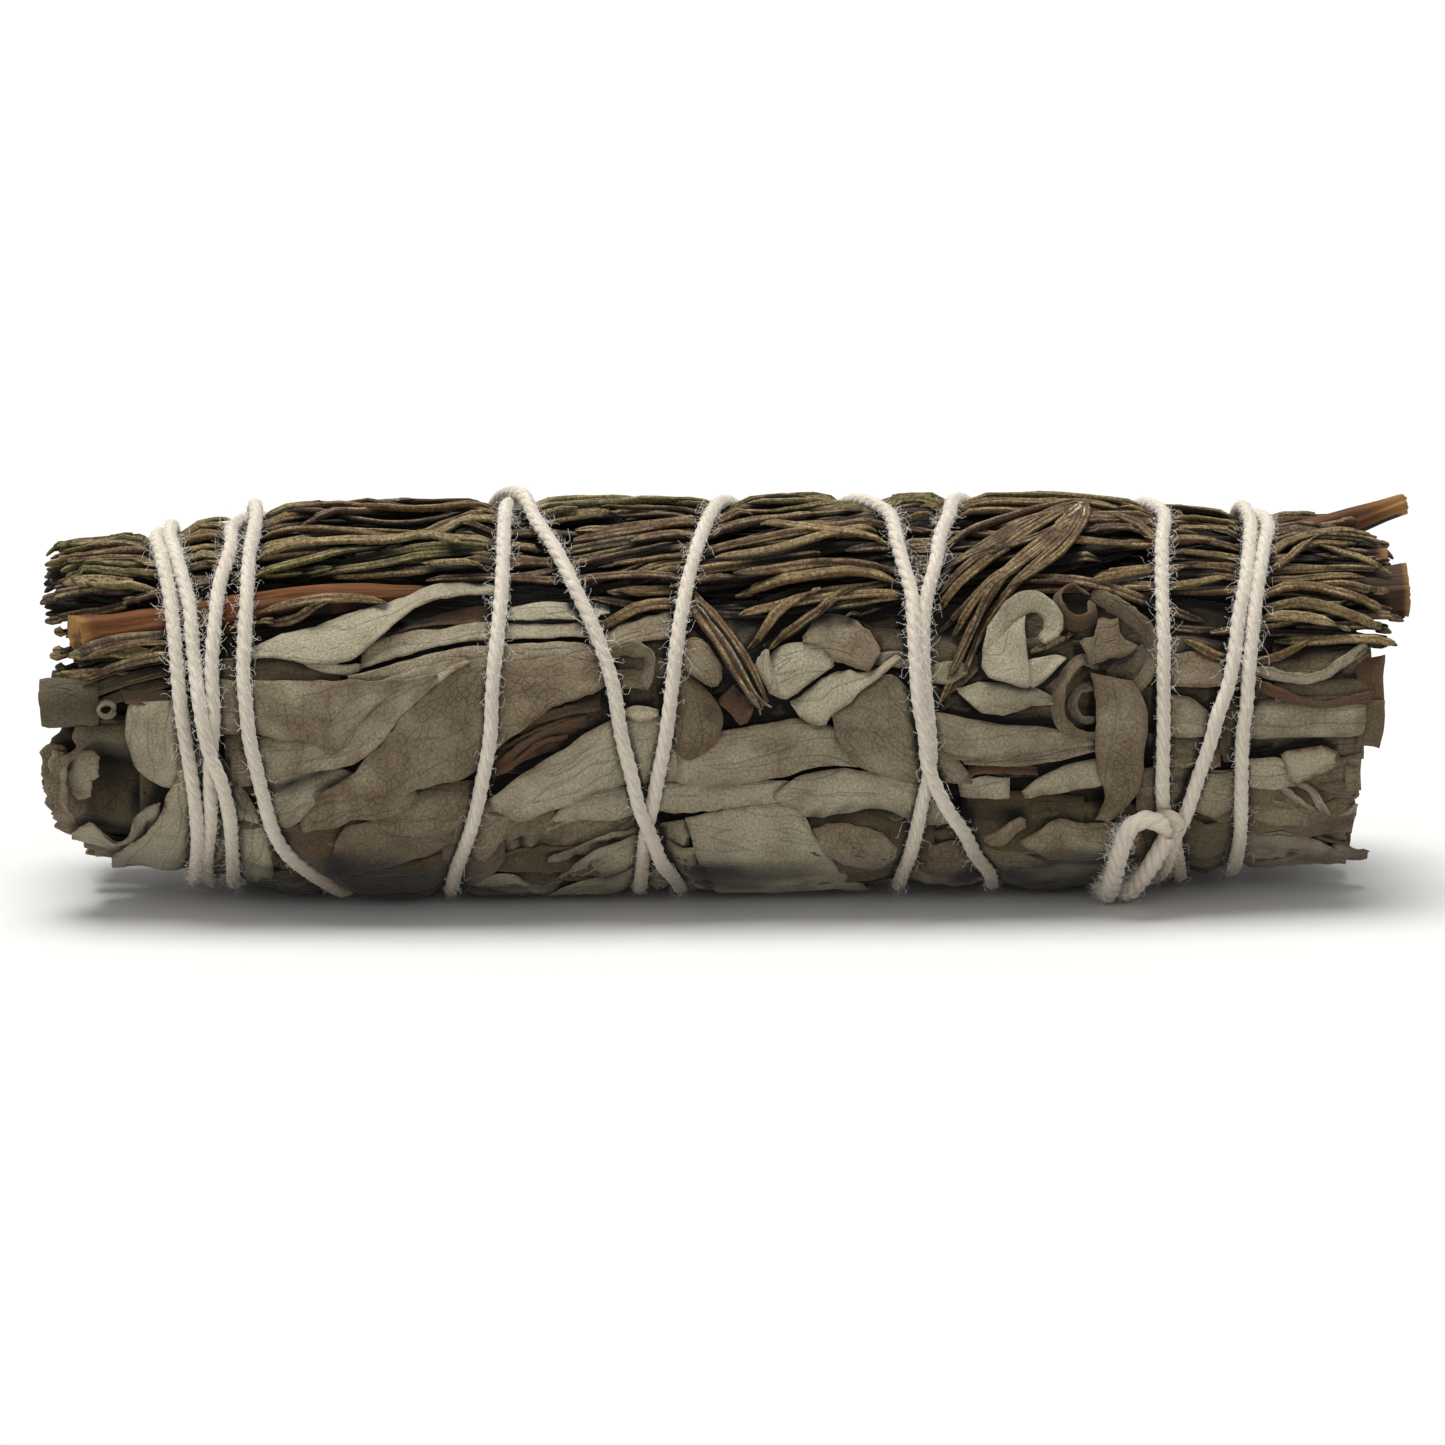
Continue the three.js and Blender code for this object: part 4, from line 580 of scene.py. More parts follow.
def strip(sheets, width, age, path, torn=0.6, fray=0.06):
    """A narrow piece of leaf along a path of (x, angle, rise, lean), flat at lean 0, on edge at 90."""
    p = np.array(path, float)
    at = distances(p)
    s = np.linspace(0, at[-1], int(np.clip(at[-1] / 0.3, 10, 60)))
    x, angle, rise, lean = smooth_reading(at, p, s).T
    v = np.linspace(-0.5, 0.5, 9)
    centre = on_bundle(x, angle, pressed(x, angle, rise))
    forward = np.gradient(centre, axis=0)
    forward /= np.linalg.norm(forward, axis=1, keepdims=True)
    a = np.radians(angle)
    outward = np.stack([np.zeros_like(a), -np.cos(a), np.sin(a)], -1)
    side = np.cross(outward, forward)
    side /= np.linalg.norm(side, axis=1, keepdims=True)
    t = np.radians(lean)[:, None]
    across, face = side * np.cos(t) + outward * np.sin(t), outward * np.cos(t) - side * np.sin(t)
    taper = width * (0.55 + 0.45 * np.minimum(np.minimum(s, s[-1] - s) / 1.2, 1) ** 0.5)
    y = v[None, :] * (taper * (1 + 0.12 * waves(s, s, 2.5)))[:, None]
    frayed = np.stack([waves(s, s * 0 + edge, 1.3) + 0.6 * waves(s, s * 0 + edge, 0.5)
                       for edge in (0, 30)], -1)
    y = y + fray * frayed[:, (v > 0).astype(int)] * (2 * v) ** 2
    bowed = 0.06 * waves(s[:, None], y, 1.2)
    middle = centre[:, None] + (across[:, None] * y[..., None] + face[:, None] * bowed[..., None]) * MM
    rim = torn * np.exp(-(((0.5 - np.abs(v)) * width / 0.2) ** 2))[None, :]
    apart = 50 * len(sheets.faces)  # so that no two strips carry the same stretch of the pattern
    sheets.blade(middle, LEAF_THICKNESS, age + 0.15 * waves(s[:, None], y, 3.0), rim, (s[:, None] + apart, y))


# One big leaf at the left end has rolled into a scoop, its hollow open to the front.
along, around = np.linspace(0, 1, 44)[:, None], np.linspace(0, 1, 40)[None, :]
scoop_angle = -49 + 52 * around + 0 * along
scoop_x = -49.7 + 1.9 * eased((scoop_angle + 12) / 7) * (1 - along) + 7.4 * along
scoop_x = scoop_x + 0.5 * waves(around * 12, 0 * around, 2.5) * (1 - along)
hollow = np.minimum(np.hypot((scoop_x + 45.4) / 3.9, (scoop_angle + 21) / 19), 1)
scoop_rise = -4.4 + 3.1 * hollow**2.2 + 0.3 * waves(scoop_x, scoop_angle * MM_PER_DEGREE, 3.0)
pile_up(scoop_x, scoop_angle, scoop_rise + 0.2)
WALL = [  # width, age, path of (x, angle, rise, lean): torn edges nested round the left of the scoop
    (2.6, 1.5, [(-47.4, 6, -3.4, 10), (-47.3, 0, -3.6, 10), (-48.4, -8, -3.4, 10), (-49.4, -20, -3.2, 15),
     (-49.1, -34, -3.2, 15), (-48.2, -52, -3, 10)]),
    (2, 1, [(-49.4, -7, -2.7, 15), (-49.5, -18, -2.3, 25), (-49.5, -30, -2.1, 30),
     (-49.3, -41, -2.2, 30), (-48.6, -54, -2, 20)]),
    (1.6, 0.7, [(-49.1, -9, -2, 30), (-49.3, -17, -1.6, 35), (-49.2, -27, -1.3, 40),
     (-49, -36, -1.4, 40), (-48.5, -46, -1.5, 30)]),
    (2.2, 0.6, [(-47.3, -8.5, -1.9, 20), (-47.2, -14, -1.6, 25), (-47.7, -22, -1.6, 30),
     (-48.2, -30, -1.8, 40)]),
    (1.5, 2.3, [(-46.9, 4.5, -2.1, 15), (-45.8, 0.5, -2, 50), (-45.4, -4, -2.3, 25)]),
    (1.2, 1.8, [(-46.4, 3.5, -1.9, 60), (-45.2, 1.5, -1.8, 25), (-44.4, -5, -2.2, 55)]),
]
for width, age, path in WALL:
    strip(front, width, age, path, fray=0.14, torn=0.5)
# the hollow takes a dark olive age, paler left of x -46.9: partly the leaf's own colour, partly painted shade
# in the hollow
front.blade(on_bundle(scoop_x, scoop_angle, scoop_rise), LEAF_THICKNESS,
            1.85 - 0.9 * np.clip((-46.9 - scoop_x) / 1.6, 0, 1), np.exp(-((along / 0.03) ** 2)),
            (scoop_x, scoop_angle * MM_PER_DEGREE))
# The outer leaves, from the inside out: how far the lower and the upper edge rise above the outline of the
# bunch in mm, age, upper edge, lower edge, and what else sets a leaf apart.
FRONT_LEAVES = [
    # the lowest rows, seen only as edges in the shade; those of age 2.1 and more are dark olive sheets laid
    # in the hollows, painted shade
    (-1, -1.3, 0.9, [(-47, -52), (-44, -54), (-41, -50), (-36, -48)], [(-46.8, -76), (-44, -80),
     (-40, -78), (-35, -76)]),
    (-1.9, -1.8, 2.2, [(-29.2, -38), (-26.5, -41), (-23.5, -41), (-20, -38)], [(-29.4, -56), (-26.5, -60),
     (-23.5, -60), (-20, -56)]),
    (-1, -1.1, 2.3, [(-33.4, -30), (-31, -27), (-28.6, -27)], [(-33, -48), (-31, -50), (-29, -47)]),
    (-1.1, -1.1, 1.3, [(-21.2, -37), (-19.9, -33.7), (-18.2, -33.3), (-16.6, -36)], [(-21.1, -52),
     (-19.3, -59), (-17.6, -49), (-16.6, -40)]),
    (-1.2, -1.1, 0.6, [(-13.4, -41.9), (-12, -38.5), (-10.6, -35.9), (-9.1, -32.9), (-6.9, -31.6),
     (-3, -30)], [(-13.4, -44.3), (-11.9, -43.7), (-10.6, -41.7), (-9.1, -39), (-6.8, -38.1), (-3, -39)],
     dict(arch=0.2, lip=(0, 0.3))),
    (-1, -0.7, 0.35, [(-18.9, -55.1), (-17.4, -48.5), (-15.9, -49.2), (-14.6, -55.3), (-13.6, -57.5),
     (-12.7, -52.5), (-11.6, -44.8), (-10.5, -39.3), (-9, -35.6), (-6.9, -34.2), (-4.4, -36.7), (-2.5, -37)],
     [(-18.9, -59.1), (-16.4, -62.7), (-14.3, -67), (-12.9, -68.7), (-11.6, -59.9), (-9.8, -54.4),
     (-6.8, -52), (-2.5, -49.7)], dict(arch=0.1, lip=(0, 0.45), ragged=0.04)),
    (-0.6, -0.4, 0.3, [(-13.2, -65.1), (-11.6, -55.3), (-9.8, -50.1), (-6.8, -48.3), (-3.8, -47.3),
     (-1.6, -48)], [(-13.8, -72), (-12.7, -75), (-10.7, -77), (-8.1, -78), (-5.3, -79), (-1.6, -79)],
     dict(arch=0.3, lip=(0, 0.45), ragged=0.04)),
    (-0.6, -1.1, 1.2, [(-29.9, -47), (-29.2, -36.4), (-28.7, -29), (-27.6, -26.5), (-25.9, -25),
     (-24.3, -26), (-22.5, -28), (-20.1, -29)], [(-29.8, -50.8), (-28.3, -48.2), (-26.5, -45.3),
     (-24.6, -42.1), (-22.8, -38.3), (-21.3, -35.6), (-20.1, -33.4)], dict(arch=0.3)),
    (-1.9, -1.9, 2.1, [(5, -27), (9.6, -24), (12.5, -25), (15, -31)], [(5, -40), (9.6, -42), (11.6, -44),
     (15, -44)], dict(arch=0.1)),
    (-1.9, -1.9, 2.1, [(17, -24), (20, -23), (23, -23), (26, -24)], [(17, -42), (20, -42), (22.2, -40),
     (26, -40)], dict(arch=0.1)),
    (-1.2, -1.1, 1.3, [(20.4, -59.2), (23.2, -56.6), (27, -56)], [(20, -76), (22.3, -78), (27, -76)]),
    (-1.1, -1.1, 1, [(14.6, -38.1), (16.1, -37.2), (17.9, -39.4), (20.9, -39.4), (22.4, -41.9),
     (24.5, -46.3)], [(14.6, -54.7), (16.4, -56.2), (18.1, -55.2), (19.8, -56.3), (21.7, -51.9),
     (24.5, -49)], dict(arch=0.2, lip=(0, 0.3))),
    (-0.8, -0.55, 0.55, [(12.6, -50.5), (16.3, -51.5), (18.1, -50.5), (19.7, -51.5), (21.6, -47.6),
     (23.8, -45.3), (28, -45.8)], [(12.6, -72), (14.4, -73), (17.4, -72), (19.7, -70), (21.8, -58.8),
     (24.7, -55.5), (28, -54.6)], dict(arch=0.15, lip=(0, 0.45))),
    (-0.6, -0.5, 0.7, [(18.6, -35.7), (19.6, -34.1), (20.7, -30.3), (21.4, -28.8), (21.7, -30)],
     [(18.7, -37.2), (19.8, -37), (20.6, -34.8), (21.3, -32), (21.7, -31)], dict(arch=0.6)),
    # dark narrow leaves crushed flat below the left stem
    (-1.5, -1.4, 2.3, [(-46.6, 12.5), (-43.5, 19), (-38.5, 23.5)], [(-46.4, 8.5), (-43.3, 14.5),
     (-38.5, 20.5)], dict(arch=0.6)),
    (-1.3, -1.2, 2, [(-47.6, 18), (-44, 24), (-38.5, 27)], [(-47.4, 12), (-44, 18.5), (-38.5, 23.5)],
     dict(arch=0.7)),
    (-1.2, -1.2, 2.4, [(-47.5, 24.5), (-44, 29.5), (-38.5, 31)], [(-47.3, 18), (-44, 24), (-38.5, 27)],
     dict(arch=0.8)),
    (-1.3, -1.2, 2.1, [(-47.8, 31), (-44, 35), (-38.5, 35.5)], [(-47.6, 25.5), (-44, 30), (-38.5, 31)],
     dict(arch=0.8)),
    # the left end
    (-1, -1.1, 2.2, [(-44.6, 16.5), (-42, 16.5), (-39.5, 15)], [(-44.2, 11.5), (-42, 10.5), (-39.5, 9.5)]),
    (-1.6, -1.2, 1.2, [(-38.5, 27), (-34, 27), (-31, 24.5), (-28.5, 21)], [(-38.5, 18), (-34, 18), (-31, 18),
     (-28.5, 18)]),
    (-0.6, -0.5, 0.2, [(-43.9, 12), (-44.3, 4), (-44.1, -4), (-43.6, -11), (-42.6, -17), (-41.2, -20)],
     [(-37.5, 13), (-37.6, 4), (-37.7, -4), (-38, -11), (-39, -17), (-40.4, -20)], dict(arch=0.1)),
    (-1, -0.5, 0, [(-48.4, -42), (-47.8, -38.5), (-46.9, -35.4), (-46.3, -40.2), (-45.4, -46.5),
     (-44.6, -46), (-44.1, -41), (-43.7, -32.5), (-42.9, -28), (-41.8, -25)], [(-48.4, -54), (-47, -60),
     (-45, -64), (-43.5, -55), (-42.3, -40), (-41.8, -30)], dict(lip=(0, 0.6), torn=0.9, arch=0.2)),
    (-0.9, -1, 0.6, [(-37, 4), (-33, 4), (-28.5, -1)], [(-37, -18), (-34, -15), (-31.5, -10),
     (-28.5, -8.5)]),
    (-0.6, -0.15, -0.1, [(-40.3, -6), (-40.7, -15), (-41.3, -22), (-41.9, -31), (-43.3, -42), (-44.9, -52),
     (-45.5, -61), (-45.6, -74)], [(-37.6, -4), (-36, -16), (-34.6, -28), (-33.6, -42), (-33.8, -56),
     (-35, -70), (-36, -76)], dict(torn=0.9, lip=(0, 0.3), arch=0.2)),
    (-0.7, -0.75, 0.4, [(-34.6, -13), (-32.5, -10.5), (-31, -9.3), (-29, -9.3), (-27, -12)], [(-34.6, -27),
     (-33.2, -31), (-31.5, -25), (-29.5, -18), (-27, -15)]),
    (-0.5, -0.8, 0.9, [(-25.9, -22), (-24.3, -18), (-22.4, -16), (-20.6, -15), (-18.8, -14)],
     [(-25.7, -27.2), (-24.3, -29.4), (-22.4, -30.1), (-20.6, -29.6), (-18.8, -28)]),
    (-0.35, -0.6, 0.8, [(-31.6, -26), (-29.8, -19), (-28.1, -15), (-26.5, -13), (-25, -12), (-23.3, -12)],
     [(-31.4, -29.6), (-30.1, -27.8), (-28.9, -26.2), (-27.6, -25.2), (-26.1, -24.6), (-24.6, -22.5),
     (-23, -18)], dict(ragged=0.2, torn=0.9)),
    # the broad leaves to the left of the middle
    (-1.6, -1.7, 2.5, [(-24.5, 36), (-22, 40.5), (-20, 42.5), (-16.8, 44)], [(-24.5, 33.5), (-21.5, 36),
     (-19, 36.5), (-16.8, 37)], dict(wrinkle=0.35)),
    (-1, -1, 0.45, [(-27, 29), (-25, 32), (-23, 34), (-21, 34.5), (-19.5, 36), (-16.5, 36.5)],
     [(-27, 21.5), (-24, 25), (-21.5, 28), (-19, 29.5), (-16.5, 30)], dict(arch=0.9)),
    (-0.7, -0.9, 0.05, [(-36, 28), (-33, 33), (-30.4, 36), (-27.5, 40), (-24.3, 45), (-21.4, 50), (-19, 51),
     (-16.6, 50.5)], [(-36, 26.5), (-33, 25), (-30.4, 22.5), (-27.9, 23.5), (-26.8, 27), (-25, 33),
     (-23, 40), (-20.5, 43.5), (-16.6, 45.5)], dict(arch=0.9)),
    (-1.3, -1.3, 0, [(-17.2, 39), (-15.7, 42.5), (-12, 44), (-8.8, 43.5)], [(-17.2, 36.5), (-13, 37),
     (-10.5, 37.3), (-8.8, 39)], dict(arch=1.3, torn=0.1)),
    (-1.3, -1.3, 0.25, [(-17.4, 36), (-14, 36), (-9.8, 36.5)], [(-17.4, 30.3), (-14, 30.5), (-9.8, 31)],
     dict(arch=1.2, torn=0.1)),
    (-0.8, -0.4, 0.45, [(-28, 19), (-25.5, 21.5), (-22, 25.5), (-18, 28), (-14, 28.5), (-11, 28.5),
     (-9, 25)], [(-28, 16), (-24, 15), (-20, 15), (-15, 16), (-11, 18), (-9, 23)], dict(lip=(0, 0.12))),
    (-0.75, -0.7, 0.45, [(-31, 3), (-27, 15), (-23, 21), (-19.5, 24)], [(-31.8, -9.5), (-28.5, -8.5),
     (-26.8, -5), (-25, 2), (-23, 11), (-21, 18), (-19, 22.5)], dict(ragged=0.1)),
    (-0.4, -0.55, 0.75, [(-38.4, 19.5), (-35, 18.5), (-31, 18), (-27, 17.6), (-24, 17.6), (-21.5, 19)],
     [(-38.4, 1), (-35, 1.5), (-33, 0), (-30.5, -1), (-29.2, -5), (-27.8, 2), (-25.2, 12.5), (-21.5, 18)],
     dict(ragged=0.08, lip=(0.1, 0.2))),
    (-2, -2, 2.9, [(-17, -1), (-14, 3), (-10.5, 6), (-9.5, 7)], [(-17.5, -14), (-15, -8), (-12, -4),
     (-9.8, 0)], dict(wrinkle=0.3)),
    (-1.9, -2, 1.6, [(-15, 9), (-12, 13), (-9.6, 15)], [(-15.5, 2), (-12.5, 6), (-9.6, 8)]),
    (-1.1, -1, 0.8, [(-20, -23), (-17.5, -20.5), (-15.5, -25), (-12.7, -24)], [(-20.5, -35), (-18.5, -43),
     (-16.5, -32), (-14, -29.5), (-12.5, -27.5)], dict(torn=0.9)),
    (-0.15, -0.3, 0.95, [(-30.5, -17.5), (-28, -11.5), (-26.6, -5), (-24.6, 3.5), (-22.9, 12), (-21.2, 18),
     (-19.5, 22), (-16, 23), (-12, 24), (-8.9, 21.5)], [(-30.5, -18.5), (-27, -17), (-24, -15.5),
     (-21.5, -13), (-18.6, -10), (-17.3, -4), (-15.5, 3), (-12, 11), (-9.6, 14), (-8.6, 20)],
     dict(ragged=0.16)),
    # the pale leaves across the middle
    (-0.6, -0.7, 0.1, [(-13.6, -29), (-12.6, -23.5), (-11, -19.5), (-8, -16), (-4, -15), (0, -15.5),
     (3, -15), (5.5, -16)], [(-13.6, -30.5), (-11.5, -27), (-9, -27.5), (-7, -26), (-4.8, -24.5),
     (-2, -24.5), (1, -22.5), (5, -20)]),
    (-0.5, -0.3, 0.15, [(-17.8, -20), (-16.3, -14.5), (-14.7, -9.5), (-12.5, -4), (-10.8, 1), (-8.9, 4.5),
     (-6.5, 6), (-4.5, 5.5), (-1, 3)], [(-17.6, -22), (-15.5, -25.5), (-12.8, -22), (-11, -19.5),
     (-9.8, -16.5), (-7.5, -15), (-5, -14.5), (-2.5, -14), (-0.5, -14)], dict(arch=0.5)),
    (-0.5, -0.5, 0.45, [(-4, 4), (-1, 1.5), (2, 3), (5, 5), (7.5, 2), (9.5, -7)], [(-4, -14), (-1, -14.5),
     (2, -14), (4, -12), (6.5, -9.5), (9.4, -9.5)]),
    (-0.7, -0.8, 0.7, [(6, -30), (8.5, -29.5), (11, -33), (12.5, -40)], [(6, -36), (8, -43.5), (10.5, -47),
     (12.5, -44)]),
    (-0.3, -0.35, 0.15, [(-3.4, -28), (-1, -25), (1.3, -23), (3.5, -21.3), (4.8, -23), (5.6, -28.5)],
     [(-0.4, -70), (2, -74), (4.5, -76), (7, -76), (9.5, -74), (11, -69)], dict(wrinkle=0.14)),
    (-0.5, -0.45, 0.2, [(3, -19), (4.2, -15), (5.5, -12.5), (8.6, -11), (11, -12.3), (13.7, -15.5),
     (15.5, -20), (16.8, -29)], [(3, -20.5), (4.5, -24), (6.1, -27.5), (8.5, -26.5), (11.2, -25),
     (12.5, -28.5), (14.3, -32.5), (16.6, -32)], dict(lip=(0, 0.12))),
    (-0.45, -0.5, 0.7, [(8, 10), (9.5, 14), (11.5, 18), (13, 13), (14, 6), (15.2, 0), (16.3, -7),
     (17.6, -14)], [(7.2, 6), (7.8, -2), (9.2, -9), (11, -12), (12.5, -14), (14, -15.5), (16, -16),
     (17.6, -15.5)]),
    (-0.8, -0.9, 0.65, [(-9.7, 31), (-8, 35), (-6, 37.5), (-4.3, 39.5)], [(-9.5, 27), (-8, 26.5),
     (-6.5, 28.5), (-4.3, 30)], dict(arch=0.7)),
    (-1.5, -1.5, 1.3, [(-9, 20), (-7.5, 21), (-6.3, 20)], [(-9, 14), (-7.5, 14.5), (-6.3, 14)]),
    (-0.4, -0.4, 0.1, [(-8, 8), (-7, 9.5), (-5.4, 8)], [(-7.8, 6), (-6.8, 4.5), (-5.4, 6)]),
    (-0.2, -0.1, 1.3, [(-3.9, 21.4), (-4.3, 18), (-4.4, 11), (-4.5, 0.4), (-4.3, -3.8), (-3.5, -6.9)],
     [(-3.5, 22), (-2.7, 17.5), (-1.5, 12), (-0.9, 8.2), (-0.7, 3.8), (-1.2, -1.5), (-2.2, -4.8),
     (-3.2, -7)], dict(arch=0.3, torn=1.3, lip=(0.1, 0.1), wrinkle=0.3)),
    (-1, -0.9, 2.9, [(-1, 11), (0.1, 15.3), (1.5, 9.3)], [(-0.9, 9.5), (-0.1, 6.9), (0.5, 3.2),
     (1.2, 4.4), (1.5, 8)], dict(smooth=False, wrinkle=0.35, arch=0.6)),
    (0.1, 0, 0.9, [(-3.9, 28.9), (-2.9, 30), (-1.9, 28.2), (-0.7, 20.6)], [(-3.9, 21), (-3.1, 18.5),
     (-2, 15), (-1.3, 14), (-0.8, 17)], dict(arch=0.5, smooth=False)),
    (-1, -1, 0.4, [(10.5, 24.5), (12.2, 25.5), (14.5, 24)], [(10.5, 21), (12.5, 20), (14.5, 20.5)]),
    (-0.1, -0.3, 1, [(5.2, 29.5), (6.2, 35), (7.2, 36.5), (9, 35.5), (10.4, 31), (10.9, 26.3)], [(5.2, 27),
     (6.5, 25.5), (7.5, 21.5), (8.6, 20.5), (10.1, 18.8), (10.8, 23)], dict(arch=0.5, ragged=0.3,
     wrinkle=0.4)),
    (0.15, 0, 0, [(4.2, 10), (6, 14.8), (7.4, 19.2), (10.1, 18.5), (12.1, 23.7), (12.35, 23)],
     [(4.25, 9.5), (4.8, 6.1), (5.7, 4.3), (6.7, 2.8), (7.7, 7.5), (9.1, 12.1), (10.8, 17), (12.35, 22.3)],
     dict(smooth=False, ragged=0.15, lip=(0.35, 0))),
    (0.2, 0.1, -0.1, [(2.5, 18.8), (3.1, 25.3), (4.9, 27.4), (6.8, 26.4), (7.5, 23.6)], [(2.6, 12.7),
     (3.6, 10.9), (4.1, 11.1), (5.6, 15.4), (7.4, 20.1)], dict(arch=0.4, lip=(0.3, 0))),
    (0.7, 0.3, 0.1, [(1.6, 20.1), (2, 23.4), (2.5, 25.2)], [(2.7, 12.4), (3.3, 13.2), (2.9, 19.8),
     (2.6, 24.8)], dict(arch=0.3, torn=0.8)),
    # the folded and cut leaves to the right of the middle
    (-0.9, -0.9, 0.3, [(14.6, 21), (16, 22), (17.3, 21)], [(14.6, 15), (16, 15), (17.2, 18)]),
    (-1.5, -1.5, 2.9, [(17.5, -9.5), (20, -10.5), (22.5, -13)], [(17.3, -13), (20, -14.5), (22.5, -14.5)]),
    (-0.8, -0.8, 0.2, [(16.5, -15), (18, -14.5), (20.4, -15)], [(16.8, -21), (18.5, -22), (20.4, -21)],
     dict(arch=1)),
    (-0.7, -0.6, 0.75, [(21.2, -35.4), (22.5, -32.5), (24.2, -28.3), (25.4, -29.7), (30, -31)],
     [(21.4, -36.8), (22.8, -40.7), (23.7, -43.5), (26, -44.7), (31, -43)], dict(torn=0.9, lip=(0, 0.3))),
    (-0.9, -0.9, 0.4, [(16.5, -7.5), (20, -6.5), (23, -5), (27.5, -2.5)], [(17, -9.5), (20, -10.5),
     (23, -9.5), (27.5, -5.5)]),
    (-0.5, -0.5, 0.3, [(21.3, -19.5), (22.5, -15), (24.5, -10.5), (27.5, -8)], [(21.5, -21), (24, -19),
     (27.5, -16)]),
    (-0.4, -0.4, 0.5, [(14.5, 6.5), (17, 4.5), (20, 2.5), (23, 1.3), (26.2, -1.5)], [(14.5, -2),
     (16.5, -7.5), (19, -6.8), (22, -5.5), (26.4, -3.5)], dict(arch=0.6)),
    (-0.5, -0.5, 0.2, [(16.4, 13.5), (18, 15), (20, 15.5), (22, 14), (24, 9.5)], [(16.6, 12), (18, 6.5),
     (20, 5.5), (21.8, 8), (24, 8.7)], dict(smooth=False)),
    # the right end
    (-0.9, -0.9, 0.8, [(32, 24), (34, 25), (37.5, 21)], [(32, 14), (34, 13), (37.5, 14)],
     dict(wrinkle=0.25)),
    (-0.9, -0.9, 0.9, [(31, -1), (33.5, -2), (36, -3)], [(31, -12), (33, -13), (36, -14)]),
    (-0.7, -0.7, 0.6, [(31.8, 11), (33.5, 10), (35, 5), (36, 0)], [(31.8, -2), (33.5, -3), (35, -3),
     (36, -1.5)]),
    (-0.7, -0.8, 0.5, [(29.8, -13), (32.5, -13), (35, -15), (38, -16)], [(29.8, -27), (32.5, -30), (35, -28),
     (38, -29)]),
    (-1, -1, 1.6, [(36.9, 9), (36.2, 2), (35.9, -6), (36.3, -13)], [(38.2, 9), (38.2, 0), (38.2, -8),
     (38, -14)]),
    (-0.5, -0.6, 0.3, [(35, -16), (37, -16), (40, -17)], [(34, -29), (36, -31), (40, -30)]),
    (-1.3, -1.2, 1.1, [(41, -34), (44, -37), (46.6, -36)], [(41, -42), (44, -47), (46.4, -50)]),
    (-1.2, -1.1, 1, [(41.5, -16), (44, -15), (46.6, -12)], [(42, -22), (44.5, -27), (46.5, -29)],
     dict(torn=0.8)),
    (-1.1, -1.2, 2.7, [(46.1, 23), (46.2, 15), (46.2, 7)], [(48.2, 24), (48, 15), (48.1, 7)],
     dict(torn=0.5)),
    (-1, -1.1, 1.4, [(46.1, 8), (46.2, 0), (46.2, -9)], [(48.1, 8), (48.1, 0), (47.8, -9)],
     dict(torn=0.5)),
    (-0.5, -1.6, 1, [(38.3, 22), (41, 26), (43.5, 30), (46, 30.5), (47.4, 28)], [(38.3, 17), (40.5, 15.5),
     (42, 14.5), (43.3, 15.5), (45, 20), (47, 26)], dict(lip=(0.35, 0))),
    (-0.45, -0.4, 0.1, [(37.8, -11.5), (40.3, -11.3), (41.6, -14)], [(37.8, -21.4), (40, -21.6),
     (41.6, -21.3)]),
    (-0.25, -0.2, -0.1, [(40.4, -10), (40.9, -8.7), (43.5, -7.3), (44.7, -9.6)], [(40.9, -15), (41.5, -21),
     (43.1, -17.8), (44.5, -14.5), (44.75, -11)], dict(torn=1.3, smooth=False)),
    (-0.9, -0.8, 0.9, [(45.3, -15.4), (46.5, -17.5)], [(45.4, -25.2), (46.6, -25.3)]),
    (-1.5, -1.6, 1.3, [(38, -21), (41, -23), (43.5, -23), (46.3, -22)], [(38, -27), (41, -30), (44, -30),
     (46.3, -28)]),
    (-1.4, -1.5, 0.9, [(38, -27), (41, -30), (43.5, -31), (46.3, -30)], [(38, -34), (41, -36), (44, -37),
     (46.3, -35)]),
    (-1.5, -1.6, 1.6, [(38, -33), (41, -36), (43.5, -37), (46.3, -36)], [(38, -41), (41, -43), (44, -44),
     (46.3, -42)]),
    (-0.5, -0.4, 0.7, [(45.2, -60), (46.2, -60), (47.3, -66), (48.2, -68)], [(44.8, -66), (45.6, -72),
     (46.9, -76), (48.1, -72)], dict(torn=0.8)),
    (-0.2, -0.3, 0.5, [(37, -42), (38.6, -41.6), (40.8, -39.7), (43.3, -50), (46.7, -69)], [(37, -70),
     (40, -74), (43, -78), (46.7, -80)]),
]


def lay_leaves(rows):
    """Lays the leaves of a table one over another on the front."""
    for low_rise, high_rise, age, upper, lower, *more in rows:
        leaf(front, upper, lower, rise=(low_rise, high_rise), age=age, **dict(*more))


